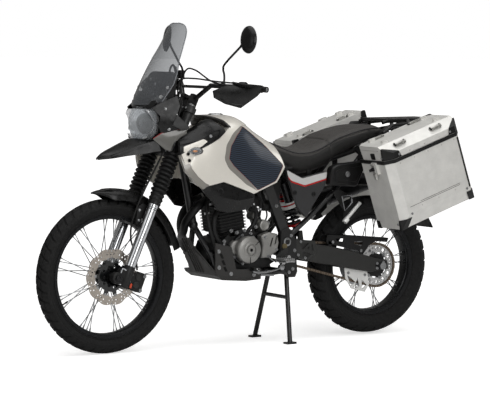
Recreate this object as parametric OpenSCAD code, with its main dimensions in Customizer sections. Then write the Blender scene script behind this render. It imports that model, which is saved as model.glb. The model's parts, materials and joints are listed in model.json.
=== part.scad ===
// Adventure touring motorcycle on its centre stand: spoked wheels, telescopic fork, single-cylinder
// engine, tall screen, and two hard side cases with hinged lids.
// +X is forward, +Y is the rider's left, +Z is up. The origin is on the ground, midway between the axles.

/* [Layout] */
// Distance between the axles
wheelbase = 1430; // [1400:5:1500]
// Height of the rear tyre above the ground on the stand
stand_lift = 6; // [5:1:20]

/* [Front wheel] */
// Outer radius of the front tyre
front_tyre_r = 347.5; // [340:0.5:352]
// Width of the front tyre
front_tyre_w = 90; // [80:1:98]
// Bead seat radius of the front rim
front_rim_r = 266.7; // [250:0.1:272]
// Radius of the front brake disc
front_disc_r = 128; // [110:1:140]

/* [Rear wheel] */
// Outer radius of the rear tyre
rear_tyre_r = 328; // [315:1:333]
// Width of the rear tyre
rear_tyre_w = 124; // [110:1:126]
// Bead seat radius of the rear rim
rear_rim_r = 228.6; // [215:0.1:235]
// Radius of the rear brake disc
rear_disc_r = 110; // [100:1:115]
// Radius over the sprocket teeth
sprocket_r = 102; // [90:1:106]

/* [Spokes] */
// Spokes in a wheel, a multiple of four
spoke_count = 36; // [28:4:40]
// Spoke diameter
spoke_d = 4; // [3:0.5:5]

/* [Fork] */
// Angle of the steering axis from the vertical
rake = 24; // [22:0.5:26]
// Distance between the fork legs
fork_spacing = 194; // [186:1:210]
// How far the axle lies ahead of the legs
leg_lead = 43; // [36:1:50]
// How far the legs lie ahead of the steering axis
clamp_offset = 38; // [30:1:45]
// Radius of a fork slider
slider_r = 24; // [21:0.5:26]
// Radius of a fork tube
fork_tube_r = 20.5; // [17:0.5:21]

/* [Engine] */
// Half width of the crankcase
case_half_w = 88; // [80:1:92]
// Radius of the alternator cover
alternator_r = 62; // [54:1:66]
// Cooling fins on the cylinder
fin_count = 9; // [5:1:12]

/* [Bodywork] */
// Half width of the tank at its widest
tank_half_w = 218; // [205:1:228]
// Thickness of the plastic panels
panel_t = 4; // [3:0.5:6]
// Half width of the seat
seat_half_w = 150; // [135:1:158]
// Height of the top of the screen
screen_top_z = 1478; // [1400:1:1500]

/* [Luggage] */
// Length of a side case
case_l = 437; // [380:1:450]
// Depth of a side case from the bike outwards
case_d = 220; // [180:1:230]
// Height of a side case without its lid
case_h = 336; // [280:1:340]
// Height of a case lid
lid_h = 66; // [55:1:75]
// Thickness of the case walls
case_wall = 2.5; // [1.5:0.5:4]
// Nose-down pitch of the side cases
case_pitch = 18.5; // [10:0.5:20]

/* [Centre stand] */
// Half distance between the stand feet
stand_half_w = 150; // [130:1:170]
// Radius of the stand tubes
stand_r = 11; // [9:0.5:13]

/* [Hidden] */

$fn = 48;
seat_gap = 0.3;                      // between pieces that rest on each other
run_gap = 1;                         // round a pin that turns
front_axle_at = [wheelbase / 2, 0, front_tyre_r];
rear_axle_at = [-wheelbase / 2, 0, rear_tyre_r + stand_lift];
leg_y = fork_spacing / 2;
leg_x = -leg_lead;                   // of the legs, in the fork's frame
stem_x = -leg_lead - clamp_offset;   // of the steering axis, in the fork's frame
axle_r = 8.5;
hub_bore_r = axle_r + 0.5;

// ---------- shared shapes ----------

module both_sides() {
    children();
    mirror([0, 1, 0]) children();
}

// A round bar from one point to another.
module rod(a, b, r) {
    d = b - a;
    translate(a)
        rotate([0, acos(d.z / norm(d)), atan2(d.y, d.x)])
            cylinder(h = norm(d), r = r);
}

// A bent tube through a list of points, with a slightly proud bead at each bend.
module tube(points, r) {
    for (i = [1 : len(points) - 1]) rod(points[i - 1], points[i], r);
    for (i = [1 : 1 : len(points) - 2]) translate(points[i]) sphere(r = r + 0.3);
}

// A flat bar from a to b: width in the plane of the bar, thickness along Y.
module flat_bar(a, b, width, thick) {
    d = b - a;
    translate(a)
        rotate([0, -atan2(d.z, d.x), 0])
            translate([0, -thick / 2, -width / 2])
                cube([norm([d.x, d.z]), thick, width]);
}

// A side-view outline, given as [x, z] points, with its thickness between two Y planes.
module side_prism(outline, y0, y1) {
    translate([0, y1, 0])
        rotate([90, 0, 0])
            linear_extrude(y1 - y0) polygon(outline);
}

// A ring turned about the Y axis through the point at: profile points are [radius, y].
module turned(at, profile) {
    translate(at) rotate([-90, 0, 0]) rotate_extrude($fn = 96) polygon(profile);
}

// A disc or ring about the Y axis.
module y_ring(at, y0, y1, r, bore = 0) {
    translate([at.x, y0, at.z])
        rotate([-90, 0, 0])
            difference() {
                cylinder(h = y1 - y0, r = r, $fn = 96);
                if (bore > 0) translate([0, 0, -1]) cylinder(h = y1 - y0 + 2, r = bore, $fn = 96);
            }
}

// The point of a smooth closed curve, square in feel when the power is high.
function round_square(t, w, h, power) =
    let (c = cos(t), s = sin(t))
    [w * sign(c) * pow(abs(c), 2 / power), h * sign(s) * pow(abs(s), 2 / power)];

// One cross-section at x: [x, half width, bottom z, top z].
function section_ring(s, power, sides) =
    [for (i = [0 : sides - 1])
        let (p = round_square(360 * i / sides, s[1], (s[3] - s[2]) / 2, power))
        [s[0], p.x, (s[2] + s[3]) / 2 + p.y]];

function middle_of(points, i = 0) =
    i == len(points) ? [0, 0, 0] : points[i] / len(points) + middle_of(points, i + 1);

// The direction that a ring of points runs round, by the right-hand rule.
function ring_normal(ring, c, i = 0) =
    i == len(ring) ? [0, 0, 0]
        : cross(ring[i] - c, ring[(i + 1) % len(ring)] - c) + ring_normal(ring, c, i + 1);

function reversed(list) = [for (i = [len(list) - 1 : -1 : 0]) list[i]];

// The closed solid through equal rings of points, whichever way they run round.
module ring_solid(given) {
    c = middle_of(given[0]);
    onward = middle_of(given[1]) - c;
    rings = ring_normal(given[0], c) * onward > 0 ? [for (r = given) reversed(r)] : given;
    n = len(rings[0]);
    m = len(rings);
    polyhedron(
        points = [for (r = rings) each r],
        faces = concat(
            [reversed([for (i = [0 : n - 1]) i])],
            [for (j = [0 : m - 2], i = [0 : n - 1]) each [
                [j * n + i, j * n + (i + 1) % n, (j + 1) * n + i],
                [(j + 1) * n + i, j * n + (i + 1) % n, (j + 1) * n + (i + 1) % n]]],
            [[for (i = [0 : n - 1]) (m - 1) * n + i]]));
}

// A body lofted through cross-sections, listed from the front to the rear.
module lofted(sections, power, sides = 28) {
    ring_solid([for (s = sections) section_ring(s, power, sides)]);
}

// Catmull-Rom value between p1 and p2.
function spline_point(p0, p1, p2, p3, t) =
    0.5 * (2 * p1 + (p2 - p0) * t + (2 * p0 - 5 * p1 + 4 * p2 - p3) * t * t
        + (3 * p1 - p0 - 3 * p2 + p3) * t * t * t);

// A smooth run through points, with steps between each pair.
function smooth(points, steps) =
    let (n = len(points))
    [for (i = [0 : n - 2], k = [0 : steps - 1])
        spline_point(
            points[max(i - 1, 0)], points[i], points[i + 1], points[min(i + 2, n - 1)], k / steps),
     points[n - 1]];

// A panel: a smooth sheet through rows of points, thickened by the vector given.
module panel(rows, thick, steps = 2) {
    smooth_rows = [for (r = rows) smooth(r, steps)];
    columns = len(smooth_rows[0]);
    grid = [for (c = [0 : columns - 1]) smooth([for (r = smooth_rows) r[c]], steps)];
    ring_solid([for (line = grid)
        concat(line, [for (i = [len(line) - 1 : -1 : 0]) line[i] + thick])]);
}

// A hose or bent tube swept along a smooth run of points. The run never goes along the vector across.
module hose(points, r, across = [0, 1, 0], steps = 3, sides = 8) {
    path = smooth(points, steps);
    n = len(path);
    ring_solid([for (i = [0 : n - 1])
        let (d = path[min(i + 1, n - 1)] - path[max(i - 1, 0)],
             side = cross(d, across) / norm(cross(d, across)),
             other = cross(d, side) / norm(cross(d, side)))
        [for (k = [0 : sides - 1])
            path[i] + r * (cos(360 * k / sides) * side + sin(360 * k / sides) * other)]]);
}

// The fork's frame: origin on the front axle, +Z up the legs, +X square to them.
module fork_frame() {
    translate(front_axle_at) rotate([0, -rake, 0]) children();
}

// ---------- wheels ----------

// Tyre cross-section: [radius, y] points, with straight beads inside the rim flanges.
function tyre_profile(outer_r, width, bead_r, bead_y) =
    let (flange = 13, wide_r = bead_r + 0.45 * (outer_r - bead_r), half = width / 2)
    concat(
        [[bead_r, -bead_y], [bead_r + flange, -bead_y]],
        [for (t = [-90 : 15 : 90])
            [wide_r + (outer_r - wide_r) * pow(cos(t), 0.8), half * sin(t)]],
        [[bead_r + flange, bead_y], [bead_r, bead_y]]);

module tyre(at, outer_r, width, bead_r, bead_y) {
    turned(at, tyre_profile(outer_r, width, bead_r, bead_y));
}

// Rim: a shallow trough with a flange at each bead.
module rim(at, bead_r, bead_y, depth) {
    outside = bead_r - seat_gap;
    flange_y = bead_y + seat_gap;
    half = [
        [outside, flange_y],
        [bead_r + 11, flange_y],
        [bead_r + 11, flange_y + 4],
        [bead_r - 3, flange_y + 4],
        [bead_r - depth, bead_y * 0.5],
    ];
    turned(at, concat(half, [for (i = [len(half) - 1 : -1 : 0]) [half[i].x, -half[i].y]]));
}

rim_depth = 9;
front_bead_y = 27;
rear_bead_y = 38;

// Laced spokes, a quarter of them leaning each way on each side.
module spokes(at, hub_r, flange_y, rim_inner_r, cross_angle) {
    quarter = spoke_count / 4;
    for (side = [-1, 1], lean = [-1, 1], i = [0 : quarter - 1]) {
        hub_a = 360 * i / quarter + (side > 0 ? 90 / quarter : 0) + (lean > 0 ? 180 / quarter : 0);
        rim_a = hub_a + lean * cross_angle;
        hub_y = side * (flange_y + lean * spoke_d * 0.75);
        rod(
            [at.x + hub_r * cos(hub_a), hub_y, at.z + hub_r * sin(hub_a)],
            [at.x + rim_inner_r * cos(rim_a), side * 5, at.z + rim_inner_r * sin(rim_a)],
            spoke_d / 2);
    }
}

// Hub barrel with two spoke flanges and a bored centre.
module hub(at, barrel_r, flange_r, flange_y, left_y, right_y) {
    flange_t = 7;
    turned(at, [
        [hub_bore_r, -right_y],
        [barrel_r * 0.8, -right_y],
        [barrel_r, -flange_y - flange_t / 2],
        [flange_r, -flange_y - flange_t / 2],
        [flange_r, -flange_y + flange_t / 2],
        [barrel_r, -flange_y + flange_t / 2],
        [barrel_r, flange_y - flange_t / 2],
        [flange_r, flange_y - flange_t / 2],
        [flange_r, flange_y + flange_t / 2],
        [barrel_r, flange_y + flange_t / 2],
        [barrel_r * 0.8, left_y],
        [hub_bore_r, left_y],
    ]);
}

module front_tyre() {
    color([0.1, 0.1, 0.1])
        tyre(front_axle_at, front_tyre_r, front_tyre_w, front_rim_r, front_bead_y);
}

module front_rim() {
    color([0.06, 0.06, 0.07]) rim(front_axle_at, front_rim_r, front_bead_y, rim_depth);
}

front_flange_y = 30;
front_hub_half = 44;
front_disc_y = 50;
disc_t = 4.5;
hub_flange_r = 42;

module front_hub() {
    color([0.12, 0.12, 0.13]) {
        hub(front_axle_at, 26, hub_flange_r, front_flange_y, front_hub_half, front_hub_half);
        spokes(front_axle_at, hub_flange_r - 4, front_flange_y, front_rim_r - rim_depth - 1.2, 32);
    }
}

// Drilled disc on a five-armed carrier.
module brake_disc(at, y, outer_r, inner_r, hub_r, hub_y) {
    difference() {
        y_ring(at, y - disc_t / 2, y + disc_t / 2, outer_r, inner_r);
        for (i = [0 : 14], row = [0, 1]) {
            a = 24 * i + 12 * row;
            r = inner_r + (outer_r - inner_r) * (0.35 + 0.32 * row);
            translate([at.x + r * cos(a), y - disc_t, at.z + r * sin(a)])
                rotate([-90, 0, 0]) cylinder(h = 2 * disc_t, r = 4, $fn = 24);
        }
    }
    arm_t = disc_t - 1;
    for (i = [0 : 4]) {
        translate([at.x, y - arm_t / 2, at.z])
            rotate([0, 72 * i + 7, 0])
                translate([hub_r, 0, -9]) cube([inner_r - hub_r + 3, arm_t, 18]);
    }
    y_ring(at, min(y - disc_t / 2, hub_y), y + disc_t / 2 + 1, hub_r + 4, hub_r - 4.5);
}

module front_brake_disc() {
    color([0.75, 0.75, 0.77])
        brake_disc(front_axle_at, front_disc_y, front_disc_r, front_disc_r * 0.62, 31,
            front_flange_y + 3.5 + seat_gap);
}

module rear_tyre() {
    color([0.1, 0.1, 0.1])
        tyre(rear_axle_at, rear_tyre_r, rear_tyre_w, rear_rim_r, rear_bead_y);
}

module rear_rim() {
    color([0.06, 0.06, 0.07]) rim(rear_axle_at, rear_rim_r, rear_bead_y, rim_depth + 3);
}

rear_flange_y = 36;
rear_hub_left = 66;
rear_hub_right = 62;
rear_hub_r = 50;
chain_y = 76;
chain_w = 16;
sprocket_t = 7;

module rear_hub() {
    color([0.12, 0.12, 0.13]) {
        hub(rear_axle_at, 32, rear_hub_r, rear_flange_y, rear_hub_left, rear_hub_right);
        spokes(rear_axle_at, rear_hub_r - 4, rear_flange_y, rear_rim_r - rim_depth - 4.4, 32);
    }
}

module rear_sprocket() {
    color([0.7, 0.7, 0.72]) {
        difference() {
            y_ring(rear_axle_at, chain_y - sprocket_t / 2, chain_y + sprocket_t / 2, sprocket_r, 30);
            for (i = [0 : 9])
                translate([rear_axle_at.x, chain_y, rear_axle_at.z])
                    rotate([90, 36 * i, 0])
                        translate([sprocket_r * 0.72, 0, 0]) cylinder(h = 20, r = 11, center = true, $fn = 24);
        }
        y_ring(rear_axle_at, rear_hub_left + seat_gap, chain_y - sprocket_t / 2, 44, 20);
    }
}

rear_disc_y = -70;

module rear_brake_disc() {
    color([0.75, 0.75, 0.77]) {
        y_ring(rear_axle_at, rear_disc_y - disc_t / 2, rear_disc_y + disc_t / 2, rear_disc_r, 38);
        y_ring(rear_axle_at, rear_disc_y - disc_t / 2, -rear_hub_right - seat_gap, 40, 20);
    }
}

// ---------- fork and steering ----------

slider_top = 383;
gaiter_top = 607;
lower_clamp = [610, 648];            // along the legs
upper_clamp = [816, 842];
stem_r = 12.5;
turning_r = 142;
head_gap = 2;                        // between the head tube and the clamps

module clamp_plate(z0, z1, reach) {
    thick = z1 - z0;
    translate([stem_x, 0, z0]) cylinder(h = thick, r = 28);
    translate([leg_x - reach / 2 - 6, -leg_y, z0]) cube([reach, fork_spacing, thick]);
    for (side = [-1, 1]) translate([leg_x, side * leg_y, z0]) cylinder(h = thick, r = fork_tube_r + 9);
    translate([stem_x, -26, z0]) cube([clamp_offset, 52, thick]);
}

module fork_clamps() {
    color([0.08, 0.08, 0.09])
        fork_frame() {
            clamp_plate(lower_clamp[0], lower_clamp[1], 40);
            clamp_plate(upper_clamp[0], upper_clamp[1], 34);
            translate([stem_x, 0, lower_clamp[0]])
                cylinder(h = upper_clamp[1] - lower_clamp[0] + 12, r = stem_r);
            for (side = [-1, 1]) {
                translate([leg_x, side * leg_y, slider_top + seat_gap])
                    cylinder(h = upper_clamp[1] - slider_top + 8, r = fork_tube_r);
                translate([leg_x, side * leg_y, slider_top + seat_gap]) cylinder(h = 4, r = fork_tube_r + 2);
            }
        }
}

lug_w = 32;

module fork_sliders() {
    color([0.8, 0.8, 0.82])
        fork_frame()
            for (side = [-1, 1])
                difference() {
                    union() {
                        translate([leg_x, side * leg_y, -28]) cylinder(h = slider_top + 28, r = slider_r);
                        translate([leg_x - 16, side * leg_y - lug_w / 2, -24]) cube([leg_lead + 16, lug_w, 74]);
                        translate([0, side * leg_y + lug_w / 2, 0])
                            rotate([90, 0, 0]) cylinder(h = lug_w, r = 25);
                    }
                    translate([0, side * leg_y + lug_w, 0])
                        rotate([90, 0, 0]) cylinder(h = 2 * lug_w, r = axle_r + 0.2);
                }
}

gaiter_r = 32;

module fork_gaiters() {
    ribs = 11;
    low = slider_top - 14;
    pitch = (gaiter_top - slider_top - 6) / ribs;
    outline = concat(
        [[slider_r + seat_gap, low], [slider_r + 5, low], [slider_r + 5, slider_top + 4]],
        [for (i = [0 : ribs - 1]) each [
            [gaiter_r - 5, slider_top + 5 + pitch * i],
            [gaiter_r + (i > 1 ? 6 : 0), slider_top + 5 + pitch * (i + 0.5)]]],
        [[gaiter_r - 4, gaiter_top], [fork_tube_r + 3, gaiter_top],
         [fork_tube_r + 3, slider_top + 5], [slider_r + seat_gap, slider_top + 5]]);
    color([0.05, 0.05, 0.05])
        fork_frame()
            for (side = [-1, 1])
                translate([leg_x, side * leg_y, 0]) rotate_extrude() polygon(outline);
}

module front_axle() {
    end_y = leg_y + lug_w / 2 + 5;
    color([0.55, 0.55, 0.57]) {
        y_ring(front_axle_at, -end_y, end_y, axle_r);
        y_ring(front_axle_at, -end_y - 4, -leg_y - lug_w / 2 - seat_gap, 15);
        y_ring(front_axle_at, leg_y + lug_w / 2 + seat_gap, end_y + 4, 15);
        // Spacers between the hub and the fork lugs.
        y_ring(front_axle_at, -leg_y + lug_w / 2 + seat_gap, -front_hub_half - run_gap, 14);
        y_ring(front_axle_at, front_hub_half + run_gap, leg_y - lug_w / 2 - seat_gap, 14);
    }
}

fender_half_w = 62;
fender_over = 44;                    // crown of the mudguard over the tyre
fender_drop = 46;                    // how far its sides hang down

// Section of the mudguard, [radius, y], pulled in by an inset.
function fender_side(inset) = [for (t = [-1 : 0.2 : 1])
    [front_tyre_r + fender_over - inset - fender_drop * pow(abs(t), 4), (fender_half_w - inset) * t]];

module front_fender() {
    color([0.06, 0.06, 0.06]) {
        difference() {
            translate(front_axle_at)
                rotate([90, 0, 0])
                    rotate([0, 0, 80])
                        rotate_extrude(angle = 82) polygon(concat(fender_side(0), reversed(fender_side(panel_t))));
            // Its front end narrows to a blunt tip.
            both_sides()
                translate([front_axle_at.x, 0, front_axle_at.z])
                    linear_extrude(500) polygon([[100, 20], [60, 24], [30, 46], [0, fender_half_w + 1], [100, fender_half_w + 1]]);
        }
        both_sides()
            side_prism([
                front_bracket(-128, 306), front_bracket(-184, 306),
                front_bracket(-154, 236), front_bracket(-116, 236)],
                fender_half_w + seat_gap, leg_y - slider_r - seat_gap);
    }
}

function front_bracket(dx, dz) = [front_axle_at.x + dx, front_axle_at.z + dz];

module front_caliper() {
    color([0.09, 0.09, 0.1])
        fork_frame()
            difference() {
                union() {
                    translate([-152, front_disc_y - 16, -20]) cube([74, 34, 92]);
                    translate([-92, front_disc_y + disc_t + 2, 0]) cube([36, 26, 60]);
                }
                translate([0, front_disc_y - disc_t, 0])
                    rotate([-90, 0, 0]) cylinder(h = 2 * disc_t, r = front_disc_r + 6);
                translate([leg_x, leg_y, -60]) cylinder(h = 160, r = slider_r + seat_gap);
            }
}

// ---------- handlebar and controls, in the fork's frame ----------

bar_clamp = [-76, 0, 902];
bar_bend = [-84, 128, 968];
bar_sweep = [-148, 262, 992];
bar_end = [-179, 402, 998];
bar_r = 11;
grip_r = 17;

function flip_y(p) = [p.x, -p.y, p.z];

module handlebar() {
    color([0.07, 0.07, 0.07])
        fork_frame() {
            tube([flip_y(bar_end), flip_y(bar_sweep), flip_y(bar_bend), bar_clamp + [0, -58, 0],
                bar_clamp + [0, 58, 0], bar_bend, bar_sweep, bar_end], bar_r);
            rod([bar_bend.x + 4, -112, 958], [bar_bend.x + 4, 112, 958], 7);
            for (side = [-1, 1])
                translate([bar_clamp.x - 17, side * 40 - 14, upper_clamp[1] + seat_gap])
                    cube([34, 28, bar_clamp.z - upper_clamp[1] + 14]);
        }
}

// Point along the outer part of the bar, from the sweep bend at 0 to the end at 1.
function grip_point(t) = bar_sweep + t * (bar_end - bar_sweep);

module bar_sleeve(t0, t1, r) {
    difference() {
        rod(grip_point(t0), grip_point(t1), r);
        rod(grip_point(t0 - 0.1), grip_point(t1 + 0.1), bar_r + 2 * seat_gap);
    }
}

module hand_controls() {
    color([0.05, 0.05, 0.05])
        fork_frame()
            both_sides() {
                bar_sleeve(0.24, 0.97, grip_r);
                bar_sleeve(0.03, 0.235, grip_r + 4);
                tube([grip_point(0.06) + [24, 0, 0], grip_point(0.2) + [62, 0, -4],
                    grip_point(0.84) + [58, 0, -10]], 5.5);
            }
}

// Guard shell round the front of each grip, open behind, joined to the bar's end and its bend.
module hand_guards() {
    color([0.06, 0.06, 0.06])
        fork_frame()
            both_sides() {
                panel([for (h = [-1, -0.4, 0.4, 1]) [
                    [-92, 218, 992 + 16 * h],
                    [-62, 268, 978 + 42 * h],
                    [-66, 330, 972 + 52 * h],
                    [-104, 388, 982 + 40 * h],
                    [-168, 417, 998 + 20 * h]]],
                    [-panel_t, 0, 0], 2);
                rod(bar_end + [0, 1, 0], bar_end + [0, 14, 0], 13);
            }
}

mirror_stem = [[-146, 270, 1017.4], [-128, 240, 1022], [-92, 190, 1036], [-77, 178, 1050], [-70, 204, 1074], [-52, 318, 1158]];

module mirrors() {
    color([0.06, 0.06, 0.06])
        fork_frame()
            both_sides() {
                hose(mirror_stem, 5.5, [1, 0, 0]);
                translate(mirror_stem[5] + [3, 34, 22])
                    rotate([0, 90 - 8, 12])
                        ring_solid([for (z = [[-9, 0.72], [-4, 0.93], [4, 1], [9, 0.9]])
                            [for (a = [0 : 15 : 345])
                                let (p = round_square(a, 60, 47, 2.3))
                                [p.x * z[1], p.y * z[1], z[0]]]]);
            }
}

hose_route = [[-96, -196, 996], [-60, -150, 950], [-26, -70, 902], [-16, 10, 880], [-8, 70, 850], [-2, 93, 795],
    [-2, 86, 700], [3, 93, 655], [7, 99, 610], [10, 88, 520], [16, 74, 400], [14, 69, 270], [-16, 63, 190], [-66, 61, 138],
    [-104, 62, 74.2]];

module front_brake_hose() {
    color([0.05, 0.05, 0.05]) fork_frame() hose(hose_route, 4.5, [1, 0, 0], 4);
}

// ---------- frame ----------

head_low = [stem_x, 0, lower_clamp[1] + head_gap];
head_high = [stem_x, 0, upper_clamp[0] - head_gap];

// A point of the fork's frame, in the bike's frame.
function from_fork(p) = front_axle_at
    + [p.x * cos(rake) - p.z * sin(rake), p.y, p.x * sin(rake) + p.z * cos(rake)];

head_foot = from_fork(head_low);
head_top = from_fork(head_high);
pivot_at = [-173, 0, 472];
dash_low_z = 1130;
rail_y = 105;
rail_r = 13;
rail = [[-50, rail_y, 812], [-300, rail_y, 824], [-560, rail_y, 884], [-745, rail_y, 950], [-985, rail_y - 12, 985]];
strut = [[-196, 116, 500], [-436, 116, 690], [-610, 113, 878]];
cradle = [[258, 0, 560], [214, 92, 420], [176, 106, 346], [-100, 110, 332], [-186, 112, 348]];
plate_y = [100, 124];
stand_pivot = [-205, 0, 326];
spar_w = 50;
spar_t = 22;

module frame() {
    color([0.12, 0.12, 0.13]) {
        difference() {
            union() {
                rod(head_foot, head_top, 29);
                rod([336, 0, 950], [258, 0, 560], 18);
                rod(head_foot + [-6, 0, 52], [-50, 0, 812], 22);
            }
            rod(head_foot - 60 * [-sin(rake), 0, cos(rake)],
                head_top + 60 * [-sin(rake), 0, cos(rake)], stem_r + run_gap);
        }
        rod([-50, -rail_y, 812], [-50, rail_y, 812], 16);
        translate([258, 0, 560]) sphere(r = 22);
        both_sides() {
            hose(cradle, 13, sides = 12);
            hose(rail, rail_r, steps = 2, sides = 12);
            hose(strut, 12, steps = 2, sides = 12);
            translate([0, rail_y + 2, 0]) flat_bar([-40, 0, 816], [-182, 0, 486], spar_w, spar_t);
            // Pivot plate with the bores of the swingarm and the stand.
            difference() {
                side_prism([[-140, 520], [-132, 400], [-176, 322], [-190, 306], [-220, 306], [-232, 330],
                    [-214, 420], [-214, 510], [-180, 534]], plate_y[0], plate_y[1]);
                y_ring(pivot_at, plate_y[0] - 1, plate_y[1] + 1, 11);
                y_ring(stand_pivot, plate_y[0] - 1, plate_y[1] + 1, 9);
            }
        }
        rod([-742, -rail_y, 949], [-742, rail_y, 949], 10);
        rod([-436, -116, 690], [-436, -100, 690], 10);
        rod([-330, -rail_y, 831], [-330, rail_y, 831], 11);
        y_ring(pivot_at, -plate_y[1] - 8, plate_y[1] + 8, 10.6);
        // Saddle under the tank, then the stays of the dash and of the headlight.
        translate([136, -38, 880]) cube([36, 76, 952 - 880 - seat_gap]);
        rod(from_fork([stem_x, 0, 770]) + [24, 0, 0], [438, 0, 1124], 9);
        translate([418, -30, 1121]) cube([40, 60, dash_low_z - 1121 - seat_gap]);
        rod(from_fork([stem_x, 0, 690]) + [24, 0, 0], [479.5, 0, 1012], 10);
        rod([479.5, -131.5, 1012], [479.5, 131.5, 1012], 8);
        both_sides() {
            // Engine mounts on the cradle, and tabs for the side panels.
            side_prism([[196, 444], [228, 452], [222, 400], [172, 390]], case_half_w + seat_gap, case_half_w + 6);
            side_prism([[-288, 826], [-312, 826], [-312, 772], [-288, 772]], rail_y + rail_r - 6, rail_y + rail_r);
        }
        // Shock bracket on the seat cross tube.
        for (side = [-1, 1])
            side_prism([[-222, 800], [-330, 830], [-330, 812], [-236, 728], [-212, 728]], side * 26 - 5, side * 26 + 5);
        rod([-224, -rail_y, 806], [-224, rail_y, 806], 11);
    }
}

// ---------- engine ----------

module crankcase() {
    color([0.1, 0.1, 0.11])
        difference() {
            side_prism([[196, 400], [184, 476], deck_point(66), deck_point(-66), [-60, 520], [-128, 508],
                [-128, 380], [-80, 356], [150, 356], [184, 372]], -case_half_w, case_half_w);
            // Recess for the chain and its front sprocket.
            side_prism(chain_outline(20), chain_y - 12, case_half_w + 1);
        }
    color([0.4, 0.4, 0.42]) y_ring(front_sprocket_at, chain_y - 12, chain_y + 4, front_sprocket_r);
}

cylinder_at = [88, 0, 508];
cylinder_lean = 8;

// A point of the deck that the cylinder stands on, x along the deck from the cylinder's centre.
function deck_point(x) = [
    cylinder_at.x + x * cos(cylinder_lean) - seat_gap * sin(cylinder_lean),
    cylinder_at.z - x * sin(cylinder_lean) - seat_gap * cos(cylinder_lean)];

module cylinder_frame() {
    translate(cylinder_at) rotate([0, cylinder_lean, 0]) children();
}

head_h = 96;
barrel_h = 108;
fin_half_l = 72;

module engine_top() {
    color([0.07, 0.07, 0.07])
        cylinder_frame() {
            cylinder(h = barrel_h, r = 56);
            translate([-60, -60, 0]) cube([120, 120, 9]);
            pitch = (barrel_h + head_h * 0.5 - 30) / fin_count;
            for (i = [0 : fin_count - 1])
                translate([-fin_half_l, -84, 26 + i * pitch]) cube([2 * fin_half_l, 168, 4]);
            translate([-62, -62, barrel_h]) cube([124, 124, head_h - 20]);
            translate([-52, -70, barrel_h + head_h - 20]) cube([104, 140, 34]);
        }
    // Exhaust ports.
    color([0.07, 0.07, 0.07]) both_sides() rod([160, 36, 676], [port_x - 0.9, 36, 676], 25);
}

module engine_covers() {
    color([0.45, 0.46, 0.48]) {
        // Alternator cover with its boss, sprocket cover, starter cover, and the clutch cover.
        y_ring([48, 0, 446], case_half_w + seat_gap, case_half_w + 58, alternator_r);
        y_ring([48, 0, 446], case_half_w + 58, case_half_w + 66, alternator_r - 12);
        y_ring([48, 0, 446], case_half_w + 66, case_half_w + 72, 19);
        difference() {
            side_prism([[-6, 516], [-58, 528], [-116, 505], [-124, 440], [-106, 402], [-50, 398], [-16, 428]],
                case_half_w + seat_gap, case_half_w + 46);
            translate([-80, chain_y - chain_w, 380]) cube([200, 2 * chain_w, 160]);
            y_ring([48, 0, 446], case_half_w, case_half_w + 70, alternator_r + seat_gap);
        }
        y_ring([-62, 0, 546.7], case_half_w - 60, case_half_w + 20, 26);
        y_ring([20, 0, 440], -case_half_w - 44, -case_half_w - seat_gap, 74);
        y_ring([128, 0, 434], -case_half_w - 30, -case_half_w - seat_gap, 52);
    }
}

// Throttle body behind the head, and the air box that sits between the spars.
module intake() {
    box_x = [-286, -182];                // in the cylinder's frame
    box_half_w = 86;
    port_z = barrel_h + 55;
    color([0.07, 0.07, 0.07])
        cylinder_frame() {
            difference() {
                side_prism([[box_x[1], 100], [box_x[1], 238], [box_x[1] - 24, 262], [box_x[0] + 30, 258],
                    [box_x[0], 216], [box_x[0] + 22, 112]], -box_half_w, box_half_w);
                rod([box_x[0] - 40, 0, 250], [box_x[0] + 30, 0, 150], 36);
            }
            rod([-62 - seat_gap, 0, port_z], [box_x[1] - 2, 0, port_z], 20);
            rod([-92, 0, port_z], [-128, 0, port_z], 34);
            rod([-110, 24, port_z], [-110, 58, port_z], 13);
            rod([-110, 0, port_z - 20], [-110, 0, port_z - 62], 15);
        }
    // Rubber blocks against the spars.
    color([0.07, 0.07, 0.07])
        both_sides()
            side_prism([[-86, 736], [-104, 692], [-120, 692], [-120, 736]], box_half_w - 10,
                rail_y + 2 - spar_t / 2 - seat_gap);
}

pipe_r = 19;
port_x = 184;

module exhaust_pipes() {
    left_pipe = [[port_x + seat_gap, 36, 676], [212, 38, 675], [250, 50, 658], [292, 44, 616], [306, 12, 572], [293, -28, 530],
        [270, -84, 500], [236, -132, 466], [196, -158, 430]];
    right_pipe = [[port_x + seat_gap, -36, 676], [210, -38, 674], [238, -52, 656], [258, -84, 612], [254, -118, 556],
        [226, -146, 492], [196, -158, 432]];
    color([0.08, 0.08, 0.08]) {
        hose(left_pipe, pipe_r, steps = 4, sides = 10);
        hose(right_pipe, pipe_r, steps = 4, sides = 10);
        hose([[200, -160, 430], [120, -166, 420], [-60, -166, 430], [-220, -168, 478], [-300, -174, 548],
            [-372, -187, 585.8], muffler_front + [1.4, 0, -0.4]], pipe_r + 5, sides = 10);
    }
}

muffler_r = 44;

muffler_front = [-424, -188, 600];
muffler_rear = [-850, -194, 716];

module muffler() {
    color([0.2, 0.2, 0.21]) {
        rod(muffler_front, muffler_rear, muffler_r);
        rod(muffler_rear, muffler_rear + 30 * (muffler_rear - muffler_front) / 440, 20);
        // Hanger from the seat rail.
        side_prism([[-604, 640], [-636, 640], [-636, 912], [-604, 912]], -138.6, -134);
        translate([-636, -136, 898]) cube([32, 136 - rail_y - rail_r - seat_gap, 14]);
    }
}

skid_outline = [[306, 506], [216, 334], [184, 313], [60, 303], [-22, 308], [-26, 352], [112, 360], [136, 462]];

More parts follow.
